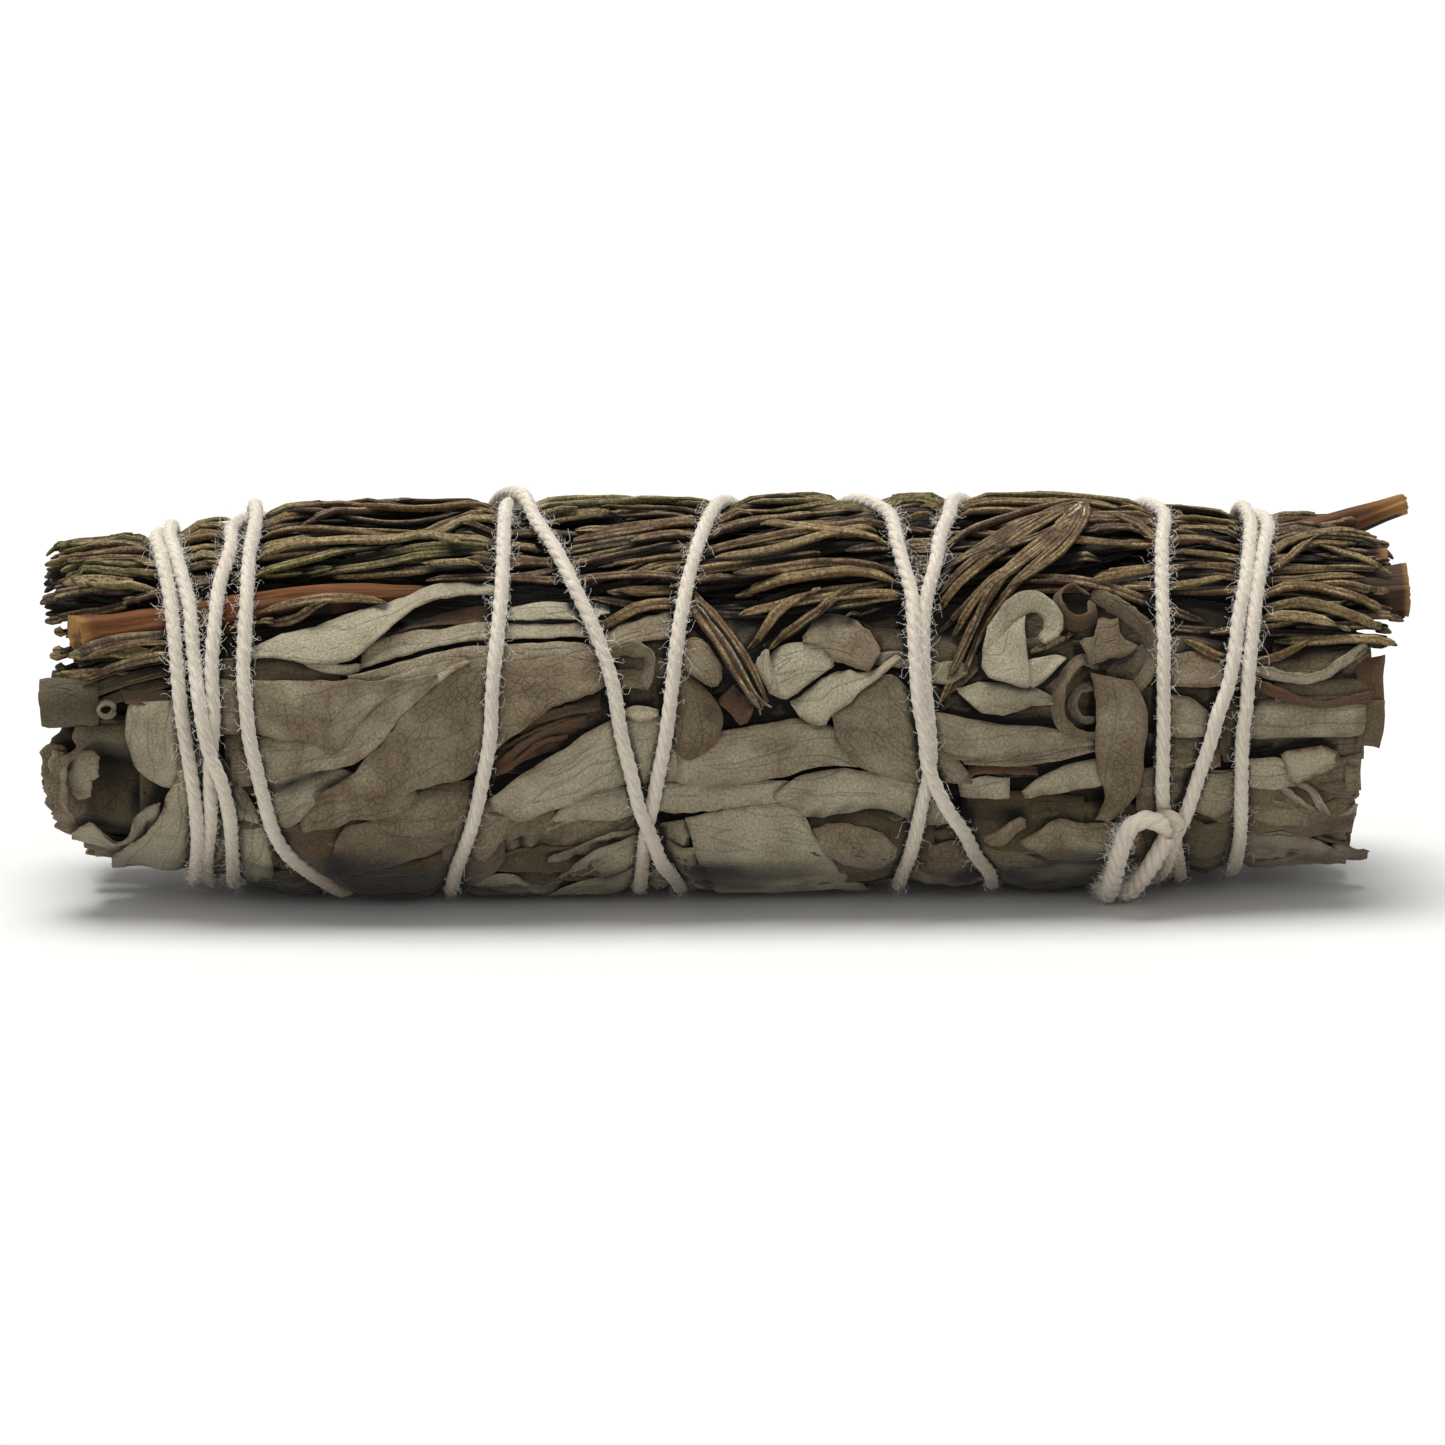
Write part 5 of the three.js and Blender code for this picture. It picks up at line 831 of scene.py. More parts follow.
def roll(sheets, start, end, angle, rise, radius, turns, age, opening, flatten=1.0):
    """A leaf rolled up along the bunch, cut off where it starts, its middle left open."""
    s, t = np.linspace(0, 1, 9)[:, None], np.linspace(0, 1, int(14 + 12 * turns))
    spin = opening + turns * math.tau * t
    r = radius * (0.28 + 0.72 * t**0.7) * (1 + 0.09 * waves(t * 9, 0 * t, 3.0))
    cut = 0.3 * waves(t * radius * 5, 0 * t, 4.0) * (1 if end > start else -1)
    xs = start + (end - start) * s + cut * (1 - s) ** 2
    a = math.radians(angle)
    outward, around = np.array([0, -math.cos(a), math.sin(a)]), np.array([0, math.sin(a), math.cos(a)])
    base = on_bundle(np.clip(xs, -49, 49), angle + 0 * xs, rise)
    base[..., 0] = xs * MM
    swell = 1 + 0.06 * waves(xs, spin * radius, 3.5)
    section = (r * np.cos(spin) * flatten)[:, None] * outward + (r * np.sin(spin))[:, None] * around
    rim = np.exp(-((s * abs(end - start) / 0.35) ** 2)) * 0.9
    # the inner turns are darker by up to 0.7 of an age: painted shade inside the roll
    aged = age + 0.7 * (1 - t) + 0.15 * waves(xs, spin, 3.0)
    sheets.blade(base + section * swell[..., None] * MM, ROLL_THICKNESS, aged, rim,
                 (xs + 20 * len(sheets.faces), spin * radius))


lay_leaves(FRONT_LEAVES)
STRIPS = [  # width, age, path of (x, angle, rise, lean)
    # a small tube at the left end, its hole to the front
    (1.5, 0.5, [(-45, 9.3, -0.7, 75), (-45.2, 11.4, -0.7, 75), (-45.7, 12, -0.7, 75),
     (-46.2, 10.8, -0.7, 75), (-46.3, 8.6, -0.7, 75), (-45.9, 6.8, -0.7, 75), (-45.4, 6.8, -0.7, 75),
     (-45.1, 8.2, -0.7, 75), (-45.05, 9.6, -0.75, 75)]),
    (0.8, 0, [(-35.4, 26.5, -0.9, 30), (-34, 28, -0.7, 30), (-31.8, 26, -0.6, 30), (-30, 22.6, -0.6, 20),
     (-28.4, 21.2, -0.7, 20), (-27, 22.5, -1, 20)]),
    (1.3, 0.9, [(-9.4, 21, -1.2, 50), (-8.7, 25.5, -0.8, 50), (-7.2, 26.8, -0.5, 50), (-6.1, 24.5, -0.5, 50),
     (-6.1, 19.5, -0.6, 50), (-6.4, 14, -0.9, 50)]),
    # brown inner leaf crumpled into ridges between the broad leaf and the pale ones
    (1.1, 2.7, [(-17, -10, -1.3, 25), (-15.2, -3, -1, 40), (-13, 1.5, -1.1, 30),
     (-10.5, 5, -1.2, 25)]),
    (0.9, 2.2, [(-16.8, -5, -1.5, 50), (-14.4, 1, -1.1, 60), (-11.5, 5, -1.3, 45)]),
    (0.7, 2.9, [(-16, -9.5, -1.2, 60), (-14, -2.5, -1, 45), (-12, -0.5, -1.2, 60)]),
    (1, 2.4, [(-15.6, 1, -1.3, 20), (-13.2, 6, -1.2, 35), (-10.8, 9, -1.4, 30)]),
    # two slits in the big leaf at the bottom
    (0.3, 4, [(2.2, -42.5, -0.02, 0), (3.3, -50, 0.02, 0), (4.3, -57.5, -0.02, 0)]),
    (0.22, 4, [(5.9, -37, -0.02, 0), (5.1, -43.6, 0.02, 0), (4.4, -50, -0.02, 0)]),
    # the reddish cup over the ribbon, the ribbon, and the piece bent like a C round a dark hollow
    (1.7, 2.5, [(26.4, 42.5, -0.2, 60), (25.2, 45, -0.1, 65), (24.1, 42, 0.1, 70), (24.1, 36, 0.2, 70),
     (25.2, 32.5, 0.1, 70), (26.4, 34.5, -0.1, 65), (26.6, 40, -0.3, 60)]),
    (1.3, 1.3, [(26.6, 44, -0.6, 35), (28, 39.5, -0.1, 35), (29.3, 35, 0.1, 35), (30.4, 30.5, 0.2, 40),
     (30.8, 25, 0.2, 45), (30.6, 19, 0.1, 45), (29.9, 14.5, -0.1, 45), (28.9, 11.5, -0.5, 40)]),
    (1.25, 1.2, [(26.9, 20, -0.5, 30), (25.6, 21.5, 0, 40), (24.6, 18, 0.2, 50), (23.9, 12, 0.2, 50),
     (23.8, 6, 0.1, 45), (24.5, 1, 0, 40), (25.8, -1.6, -0.2, 30), (27.6, -2.5, -0.6, 20)]),
    (1, 0.7, [(26.6, 14, -0.6, 40), (25.4, 12.5, -0.5, 50), (24.9, 8, -0.5, 50), (25.4, 4, -0.6, 50),
     (26.8, 3, -0.8, 40)]),
    # the arch of the curled pale leaf, and the tongue that points right from it
    (1.7, 0, [(18.9, 20, 0, 15), (19.2, 26.5, 0.15, 20), (19.8, 32, 0.2, 25), (20.8, 37, 0.35, 35),
     (22, 39, 0.4, 40), (23.1, 37.2, 0.3, 40), (23.6, 33.2, 0.2, 40), (23.4, 30, 0, 35),
     (22.6, 27.6, -0.3, 30)]),
    # edges of cut leaves at the right
    (1, 0.25, [(38.5, 18.8, -0.5, 40), (40.5, 16.4, -0.1, 45), (42.1, 15.4, 0, 50), (43.6, 17, 0.1, 50),
     (45.1, 21.5, 0, 45), (46.9, 27.5, -0.5, 35)]),
    (0.9, 0.45, [(38.3, -20.4, -0.5, 35), (40.4, -22.2, -0.3, 35), (41.8, -27.8, -0.2, 35),
     (43.3, -35, -0.4, 35)]),
    (0.9, 0.35, [(41.7, -21.3, -0.5, 35), (42.9, -24.6, -0.2, 35), (43.6, -30.7, -0.1, 35),
     (44.4, -38.5, -0.5, 35)]),
    (0.9, 0.5, [(38.1, -25.4, -0.6, 30), (40.7, -30.5, -0.4, 30), (43.4, -37.1, -0.3, 30),
     (44.7, -39.2, -0.4, 30), (45.9, -36.6, -0.5, 30), (46.4, -33.6, -0.7, 30)]),
    (0.8, 1.1, [(43.7, -30, -1, 20), (45, -30.2, -0.9, 20), (46.6, -30.5, -1, 20)]),
    (0.9, 2.8, [(42.6, -48.6, -0.9, 25), (44.6, -56, -0.6, 25), (46.4, -64, -0.8, 25)]),
    (0.95, 2.7, [(38.2, 15, -0.8, 30), (40.3, 10.8, -0.4, 40), (42.3, 7.4, -0.3, 45), (43.9, 6.5, -0.3, 45),
     (45.5, 8, -0.4, 40), (47.4, 10, -0.7, 30)]),
]
for row in STRIPS:
    strip(front, *row)
LAST_LEAVES = [  # the pieces that lie on top of the curled ones
    (0.4, 0.25, -0.1, [(18.2, 19.5), (18.3, 22.1), (19, 25.8), (20.1, 29.7), (21, 33.5), (21.4, 34.3)],
     [(18.7, 16.3), (20, 14.8), (21.8, 13.3), (21.6, 21.3), (21.5, 26), (21.4, 31.5), (21.5, 34)],
     dict(arch=0.4)),
    (0.35, 0.35, -0.15, [(21.6, 21.3), (22.9, 22.5), (23.9, 22.7), (24.4, 21.8)], [(21.8, 13.3),
     (22.2, 13.8), (23.1, 16.4), (23.8, 19.2), (24.4, 21.5)], dict(arch=0.2)),
    (0.3, 0.25, 1.2, [(25.4, 26.5), (25.9, 28), (26.6, 27.4), (26.9, 33.5), (28.3, 33.6), (28.5, 28),
     (29.7, 25.7)], [(25.6, 25.5), (26.1, 19.7), (27.5, 20.5), (29.3, 23.3), (29.7, 25.2)],
     dict(smooth=False, torn=0.9, wrinkle=0.3, ragged=0.2)),
    (0.2, 0.1, 0.95, [(26.2, 17.5), (26.5, 10), (26.6, 2), (26.5, -6), (27, -14), (27.4, -22),
     (26.8, -29.5)], [(29.2, 15), (30.2, 9), (30.4, 2), (30.2, -5), (30.1, -13), (29.4, -21), (27.6, -29)],
     dict(arch=0.4, torn=0.8, wrinkle=0.3)),
]
lay_leaves(LAST_LEAVES)

# Where the bunch is cut off, its leaves show as rolls end on. The left end is ragged, the right nearly flush.
END_ROLLS = [  # cut at x, back to x, angle, rise, radius, turns, age
    (-50.4, -46.2, 10.5, -2, 2, 1.5, 1.6), (-49.6, -41, 20, -4.4, 1.4, 1.2, 1.6),
    (-47.6, -41, -68, -2.6, 2, 1.4, 0.8), (46.7, 38, 0.5, -1.3, 1.45, 1.6, 0.4),
    (47.2, 40, 24, -2.6, 1.6, 1.3, 0.9), (46.9, 40, 13, -3.4, 1.4, 1.2, 1.2),
    (46.9, 40, -12, -2.6, 1.5, 1.3, 0.9), (46.6, 40, -26, -2.4, 1.5, 1.4, 0.8),
    (46.5, 40, -42, -2.4, 1.6, 1.3, 0.9), (46.4, 40, -60, -2.2, 1.6, 1.4, 0.8),
]
for start, end, angle, rise, radius, turns, age in END_ROLLS:
    roll(front, start, end, angle, rise, radius, turns, age, math.pi * (1 - 2 * turns))
ROLL_RADII, ROLL_TRIES = (0.9, 2.2), 4000
ROLL_CROWDING = 0.86  # how close two may be, as a share of their radii
for side in (-1, 1):
    spots = []  # y and z from the axis, and radius
    radius_here = float(bundle_radius(side * 46.0, 0))
    for start, end, angle, rise, radius, turns, age in END_ROLLS:
        if start * side > 0:
            out, a = radius_here + rise, math.radians(angle)
            spots.append((-out * math.cos(a), out * math.sin(a), radius))
    for _ in range(ROLL_TRIES):
        radius = draw(*ROLL_RADII)
        out, a = (radius_here - radius - 0.2) * math.sqrt(draw(0, 1)), draw(0, math.tau)
        y, z, degrees = -out * math.cos(a), out * math.sin(a), math.degrees(a)
        before_scoop = side < 0 and out + radius > radius_here - 5.2 and (degrees < 5 or degrees > 308)
        among_sprigs = 24 < degrees < 150 and out > radius_here - 5.5
        if before_scoop or among_sprigs or z < -(AXIS_HEIGHT - UNDERSIDE_HEIGHT) + radius:
            continue
        if all(math.hypot(y - p, z - q) > ROLL_CROWDING * (radius + r) for p, q, r in spots):
            spots.append((y, z, radius))
            ends_at = side * (draw(44.5, 48.6) if side < 0 else draw(45.6, 47.4))
            roll(end_rolls, ends_at, side * 40, degrees, out - radius_here, radius, draw(0.9, 2.2),
                 draw(0.3, 1.4), opening=draw(0, 6), flatten=draw(0.65, 1))
for sheets, name, node in (
        (inner, "inner_leaves", "sage_leaves_front"), (front, "front_leaves", "sage_leaves_front"),
        (end_rolls, "rolled_ends", "sage_leaves_front"), (under, "under_leaves", "sage_leaves_under"),
        (behind, "back_leaves", "sage_leaves_back")):
    finished(sheets.mesh(name), SAGE, node)

# ---- Woody stems ---------------------------------------------------------------------------
# Lengths of rosemary stem run along the top of the bunch: brown bark that has shrunk into long
# ridges, and a paler, fibrous face where secateurs cut the end.
STEMS = [  # piece, its CAD node, path of (x, angle, rise), radii, bark tone, mm of bare wood at its right end
    ("left_stem", "rosemary_stem_left", [(-47.8, 38.5, -1.3), (-46, 40, -1.4), (-41.4, 42.5, -1.6),
     (-38.3, 44.5, -1.6), (-30, 46.5, -1.35), (-20, 50, -1.9)], (1.6, 1.55, 1.5, 1.35, 1.1, 0.5), 0.0, 0.5),
    ("right_stem", "rosemary_stem_right", [(29, 56, -2.4), (36, 55, -2.5), (41, 54, -2.6), (46, 53.5, -2.0),
     (50.4, 53.5, -1.8)], (1.0, 1.4, 1.7, 1.8, 1.75), 0.9, 0.25),
    ("right_twig", "rosemary_stem_right_small", [(34, 70, -2.1), (40, 69.5, -2.1), (45, 69, -1.8),
     (49.2, 68.5, -1.7)], (0.8, 0.95, 1.15, 1.2), 0.8, 0.4),
    ("top_twig", "rosemary_stem_top", [(28, 82, -2.4), (35, 86, -2.1), (40.5, 89, -1.5), (46, 93, -0.2),
     (51.2, 99, 1.35)], (0.8, 1.0, 1.1, 1.0, 0.75), 0.3, 2.0),
]
RIDGES = [(5, 0.08, 1), (9, 0.07, 2), (14, 0.05, 4), (19, 0.03, 0)]  # how many round the stem, height, phase
CUT_RINGS = [(0.0, 0.5), (0.45, 0.35), (0.8, 0.1), (0.96, 0.0)]  # share of the radius, how deep it is dished


def dried_wood():
    """Dried rosemary stem: thin bark shrunk over the wood into ridges along it, matt and red-brown to
    grey-brown, with pale straw-coloured wood at a cut end."""
    made = material("dried_rosemary_wood", {"Roughness": 0.75, "Specular IOR Level": 0.3})
    tree = made.node_tree
    tone, cut = (add(tree, "Attribute", attribute_name=name).outputs["Fac"] for name in ("age", "rim"))
    # fibres 0.3 mm apart that run 4 mm along the stem
    drawn = add(tree, "Mapping", {"Vector": add(tree, "UVMap", uv_map="leaf"), "Scale": (0.2, 2.4, 1.0)})
    fibre = add(tree, "TexNoise", {"Vector": drawn, "Scale": 1.0, "Detail": 4.0, "Roughness": 0.65})
    bark = add(tree, "MixRGB", (tone, linear("#5E350C"), linear("#33200F")))
    streak = add(tree, "MapRange", (fibre, 0.3, 0.7, 0.35, 1.6))
    ridged = add(tree, "MixRGB", (1.0, bark, streak), blend_type="MULTIPLY")
    straw = add(tree, "MixRGB", (fibre, linear("#744C22"), linear("#B48A50")))
    # the colour darkens in creases and towards the underside through shaded(): painted shade
    return coated(made, shaded(tree, add(tree, "MixRGB", (cut, ridged, straw)), 1.0, 3.0), fibre, 0.7, 0.15)


WOOD = dried_wood()


def frames(line):
    """Unit vectors along, out from and across a path of places in metres."""
    ahead = np.gradient(line, axis=0)
    ahead /= np.linalg.norm(ahead, axis=1, keepdims=True)
    out = line * (0, 1, 1) - np.array([0, 0, AXIS_HEIGHT * MM])
    out -= ahead * (out * ahead).sum(1, keepdims=True)
    out /= np.linalg.norm(out, axis=1, keepdims=True)
    return ahead, out, np.cross(ahead, out)


def stem(name, node, path, radii, tone, bare):
    """A ridged stem along a path, its left end cut on a slant that faces the front."""
    at = distances(np.array(path, float))
    s = np.linspace(0, at[-1], int(at[-1] / 0.45))
    x, angle, rise = smooth_reading(at, path, s).T
    radius = smooth_reading(at, radii, s)
    line = on_bundle(x, angle, rise)
    ahead, out, across = frames(line)
    t = np.linspace(0, math.tau, 37)[:-1]
    about = out[:, None] * np.cos(t)[:, None] + across[:, None] * np.sin(t)[:, None]
    ridges = sum(high * np.cos(n * (t + s[:, None] * 0.02) + phase) for n, high, phase in RIDGES)
    r = radius[:, None] * (1 + ridges + 0.08 * waves(s[:, None], t[None, :] * 2, 5.0))

    def cut_face(k, rings, dished):
        for share, inward in rings:
            splinter = 0.5 * waves(t * 2, t * 0 + share * 3, 1.4) * (1 - share)
            depth = (inward * dished + splinter) * MM
            yield line[k] + ahead[k] * depth[:, None] + share * MM * r[k][:, None] * about[k]

    body = line[:, None] + r[..., None] * MM * about
    grid = np.array([*cut_face(0, CUT_RINGS, 0.3), *body, *cut_face(-1, CUT_RINGS[::-1], 0)])
    cut = np.exp(-((s / 0.6) ** 2)) * 0.7 + np.exp(-(((s[-1] - s) / bare) ** 2)) * 0.8
    edge = len(CUT_RINGS)
    centre = np.pad(line, ((edge, edge), (0, 0)), mode="edge")[:, None, 1]
    from_left = np.pad(s, edge, mode="edge")[:, None]
    grid[..., 0] += 0.28 * (centre - grid[..., 1]) * np.exp(-((from_left / 1.6) ** 2))
    grid[0], grid[-1] = grid[0].mean(axis=0), grid[-1].mean(axis=0)
    n, m = grid.shape[:2]
    ids = np.arange(n * m).reshape(n, m)
    ids[0], ids[-1] = ids[0, 0], ids[-1, 0]  # a single point in the middle of each cut
    used, ids = np.unique(ids, return_inverse=True)
    ids = ids.reshape(n, m)
    nxt = np.roll(ids, -1, axis=1)
    quads = np.stack([ids[1:], nxt[1:], nxt[:-1], ids[:-1]], -1).reshape(-1, 4)
    faces = [list(dict.fromkeys(quad)) for quad in quads.tolist()]
    beyond = np.arange(edge) * 0.25
    along = np.concatenate([s[0] - 1 + beyond, s, s[-1] + beyond])
    uv = np.stack(np.broadcast_arrays(along[:, None], t[None, :] * np.mean(radii)), -1).reshape(-1, 2)
    made = mesh_of(name, grid.reshape(-1, 3)[used], faces, uv[used], age=np.full(len(used), tone),
                   rim=np.repeat(np.pad(cut, edge, constant_values=1.0), m)[used])
    finished(made, WOOD, node)
    return x, angle, rise, radius


for row in STEMS:
    x, angle, rise, radius = (values[:, None] for values in stem(*row))
    reach = np.linspace(-1, 1, 7)[None, :]
    top = rise + radius * np.sqrt(1 - 0.9 * reach**2)
    pile_up(x + 0 * reach, angle + reach * (radius / MM_PER_DEGREE), top, 3)

# ---- Rosemary needles ----------------------------------------------------------------------
# Dried rosemary leaves: narrow needles 14 to 22 mm long whose edges have rolled under, so that each
# is a rib with a groove along it. They lie along the bunch in a thatch over the top of it.
NEEDLE_WIDTH, NEEDLE_HEIGHT, LOWEST_NEEDLE, HIGHEST_NEEDLE = 0.88, 0.75, -2.6, 0.35
GROOVE_NARROWNESS, GROOVE_DEPTH = 2.2, 0.7
CUT_TIP, GROWN_TIP = 0.6, 1.7  # over what length a needle narrows: cut ends are blunt, grown ones pointed
# places along the bunch, with degrees round it per mm along it, then with the angle where the thatch begins
NEEDLE_SLOPE = [(-50, 0), (-22, 0.1), (-14, 0.9), (10, 0.9), (18, 0.2), (30, 0.1), (50, 0.4)]
ROSEMARY_EDGE = [(-53, 21), (-43, 21), (-35, 34), (-23, 49), (-17, 50), (-13, 41), (-4, 38), (3, 33), (9, 34),
                 (14.5, 12), (17, 12), (20.5, 42), (30, 42), (32, 23), (43, 24), (53, 30)]
SPRIGS_FROM, SPRIGS_TO, SPRIGS_BACK = -50.6, 50.2, 154
LEFT_STEM_LINE = [(-48, 39), (-38, 44.5), (-30, 46.5), (-21, 50)]
ROSEMARY_AGES = ((0, "#241A10"), (0.2, "#453024"), (0.4, "#503A25"), (0.6, "#634D2C"), (0.75, "#7F6E4C"),
                 (0.86, "#585129"), (1, "#524F2C"))
# the pale rib colour is partly a painted highlight on the ribs' upper side and partly drier wear; the sheath
# has its own pale colour
LIT_AND_WORN_COLOUR, SHEATH_COLOUR = "#9A8660", "#B5AA92"


class Strands:
    """Centre lines gathered as edges, with how thick, how old and which way out each point is."""

    def __init__(self):
        self.verts, self.edges, self.fields, self.count = [], [], {"outward": []}, 0

    def line(self, places, **fields):
        n = len(places)
        ids = np.arange(n - 1) + self.count
        self.verts.append(places)
        self.edges.append(np.stack([ids, ids + 1], -1))
        self.fields["outward"].append(frames(places)[1])
        for field, values in fields.items():
            self.fields.setdefault(field, []).append(np.broadcast_to(values, n))
        self.count += n

    def grown(self, name, tree, sizes, finish):
        """The lines run through a node tree, with its sizes in millimetres, and made a plain mesh."""
        lines = bpy.data.meshes.new(name + "_lines")
        lines.from_pydata(np.concatenate(self.verts).tolist(), np.concatenate(self.edges).tolist(), [])
        keep_values(lines, **{field: np.concatenate(values) for field, values in self.fields.items()})
        holder = bpy.data.objects.new(name + "_lines", lines)
        scene.collection.objects.link(holder)
        grow = holder.modifiers.new("grow", "NODES")
        grow.node_group = tree
        given = {**{label: size * MM for label, size in sizes.items()}, "Finish": finish}
        for item in tree.interface.items_tree:
            if item.item_type == "SOCKET" and item.in_out == "INPUT" and item.name in given:
                grow[item.identifier] = given[item.name]
        bpy.context.view_layer.update()
        made = bpy.data.meshes.new_from_object(holder.evaluated_get(bpy.context.evaluated_depsgraph_get()))
        made.name = name
        holder.modifiers.remove(grow)
        bpy.data.objects.remove(holder)
        return made


def new_tree(name, *sizes):
    """A geometry tree with a number input for each size, and a material input for its finish."""
    tree = bpy.data.node_groups.new(name, "GeometryNodeTree")
    for label, way, kind in (("Geometry", "INPUT", "Geometry"), ("Geometry", "OUTPUT", "Geometry"),
                             *((size, "INPUT", "Float") for size in sizes), ("Finish", "INPUT", "Material")):
        tree.interface.new_socket(label, in_out=way, socket_type="NodeSocket" + kind)
    return tree, tree.nodes.new("NodeGroupInput").outputs


def end_tree(tree, given, swept):
    """Smooths what a tree has swept, makes it real, paints it and gives it back."""
    smooth = add(tree, "GeometryNodeSetShadeSmooth", {"Geometry": swept})
    real = add(tree, "GeometryNodeRealizeInstances", [smooth])
    painted = add(tree, "GeometryNodeSetMaterial", {"Geometry": real, "Material": given["Finish"]})
    add(tree, "NodeGroupOutput", [painted])
    return tree


def needle_tree():
    """Sweeps a ribbed section along each line, then wrinkles it."""
    tree, given = new_tree("rosemary_needle", "Width", "Height", "Wrinkle")
    ring = add(tree, "GeometryNodeCurvePrimitiveCircle", {"Resolution": 10, "Radius": 1.0})
    here = add(tree, "GeometryNodeInputPosition")
    place = add(tree, "SeparateXYZ", [here]).outputs
    # a groove along the top: the bell curve e^-(2.2 y)^2, where x is above 0
    dip = add(tree, "Math", (place["Y"], GROOVE_NARROWNESS), operation="MULTIPLY")
    dipped = add(tree, "Math", (dip, dip), operation="MULTIPLY")
    fallen = add(tree, "Math", (dipped, -1.0), operation="MULTIPLY")
    bell = add(tree, "Math", (math.e, fallen), operation="POWER")
    top = add(tree, "Math", (place["X"], 0.0), operation="GREATER_THAN")
    sink = add(tree, "Math", (bell, top), operation="MULTIPLY")
    sunk = add(tree, "Math", (sink, GROOVE_DEPTH), operation="MULTIPLY")
    kept = add(tree, "Math", (1.0, sunk), operation="SUBTRACT")
    tall = add(tree, "Math", (place["X"], given["Height"]), operation="MULTIPLY")
    wide = add(tree, "Math", (place["Y"], given["Width"]), operation="MULTIPLY")
    shaped = add(tree, "CombineXYZ", (add(tree, "Math", (tall, kept), operation="MULTIPLY"), wide))
    crest = add(tree, "Math", (place["X"], sink), operation="SUBTRACT")
    section = add(tree, "GeometryNodeStoreNamedAttribute", {
        "Geometry": ring, "Name": "crest", "Value": crest})
    section = add(tree, "GeometryNodeSetPosition", {"Geometry": section, "Position": shaped})
    curve = add(tree, "GeometryNodeMeshToCurve", [given["Geometry"]])
    length = add(tree, "GeometryNodeSplineParameter").outputs["Length"]
    curve = add(tree, "GeometryNodeStoreNamedAttribute", {
        "Geometry": curve, "Name": "along", "Value": length})
    outward = add(tree, "GeometryNodeInputNamedAttribute", {"Name": "outward"}, data_type="FLOAT_VECTOR")
    twist, girth = (
        add(tree, "GeometryNodeInputNamedAttribute", {"Name": name}) for name in ("twist", "girth"))
    facing = add(tree, "GeometryNodeSetCurveNormal", {"Curve": curve, "Normal": outward}, mode="FREE")
    twisted = add(tree, "GeometryNodeSetCurveTilt", {"Curve": facing, "Tilt": twist})
    swept = add(tree, "GeometryNodeCurveToMesh", {"Curve": twisted, "Profile Curve": section, "Scale": girth,
                                                  "Fill Caps": True})
    drawn = add(tree, "VectorMath", (here, (0.2, 1, 1)), operation="MULTIPLY")
    crinkle = add(tree, "TexNoise", {"Vector": drawn, "Scale": 1300.0, "Detail": 1.0})
    centred = add(tree, "Math", (crinkle, 0.5), operation="SUBTRACT")
    amount = add(tree, "Math", (centred, given["Wrinkle"]), operation="MULTIPLY")
    normal = add(tree, "GeometryNodeInputNormal")
    push = add(tree, "VectorMath", {0: normal, "Scale": amount}, operation="SCALE")
    return end_tree(tree, given, add(tree, "GeometryNodeSetPosition", {"Geometry": swept, "Offset": push}))


def dried_rosemary():
    """Dried rosemary leaf: dark, resinous and dull green to brown in the groove, paler along its ribs, partly
    as drier patches and partly as a painted highlight on the ribs' upper side, with a fine grit of oil glands
    all over that keeps it matt."""
    made = material("dried_rosemary_leaf", {"Roughness": 0.7, "Specular IOR Level": 0.3})
    tree = made.node_tree
    tone, crest, along = (
        add(tree, "Attribute", attribute_name=name).outputs["Fac"] for name in ("tone", "crest", "along"))
    here = add(tree, "TexCoord").outputs["Object"]
    ramp = add(tree, "ValToRGB", [tone])
    set_stops(ramp, ROSEMARY_AGES)
    # grit 0.15 mm across, and drier patches 1.5 mm long
    grit = add(tree, "TexNoise", {"Vector": here, "Scale": 4200.0, "Detail": 2.0, "Roughness": 0.65})
    patch = add(tree, "TexNoise", {"Vector": here, "Scale": 650.0, "Detail": 3.0, "Roughness": 0.6})
    # crest is highest on the upper side of the section, so the paler colour there is a painted highlight,
    # broken up by drier patches that are real wear
    lit_and_worn = add(tree, "MapRange", (crest, 0.1, 0.6, 0.0, 0.78))
    dry = add(tree, "MapRange", (patch, 0.38, 0.62, 0.1, 1.0))
    ribbed = add(tree, "Math", (lit_and_worn, dry), operation="MULTIPLY")
    paler = add(tree, "MixRGB", (ribbed, ramp, linear(LIT_AND_WORN_COLOUR)))
    sheath = add(tree, "MapRange", (tone, 1.0, 1.3, 0.0, 1.0))  # a tone above 1 is a torn sheath
    paler = add(tree, "MixRGB", (sheath, paler, linear(SHEATH_COLOUR)))
    speck = add(tree, "MapRange", (grit, 0.3, 0.7, 0.4, 1.6))
    gritty = add(tree, "MixRGB", (1.0, paler, speck), blend_type="MULTIPLY")
    # fine ribs 0.2 mm wide that run 3 mm along the needle
    ribs = add(tree, "CombineXYZ", [add(tree, "Math", (value, scale), operation="MULTIPLY")
                                    for value, scale in ((along, 350.0), (crest, 2.6), (tone, 60.0))])
    fine_ribs = add(tree, "TexNoise", {"Vector": ribs, "Scale": 1.0, "Detail": 3.0, "Roughness": 0.6})
    streak = add(tree, "MapRange", (fine_ribs, 0.3, 0.7, 0.62, 1.35))
    streaked = add(tree, "MixRGB", (1.0, gritty, streak), blend_type="MULTIPLY")
    rough = add(tree, "Math", (fine_ribs, 1.5, grit), operation="MULTIPLY_ADD")
    # the colour darkens where a needle lies deep among the others, through shaded(): painted shade
    return coated(made, shaded(tree, streaked, 1.08, 1.5, 1.6), rough, 1.0, 0.22)


ROSEMARY, NEEDLES = dried_rosemary(), needle_tree()
sprigs_front, sprigs_top, pair = Strands(), Strands(), Strands()


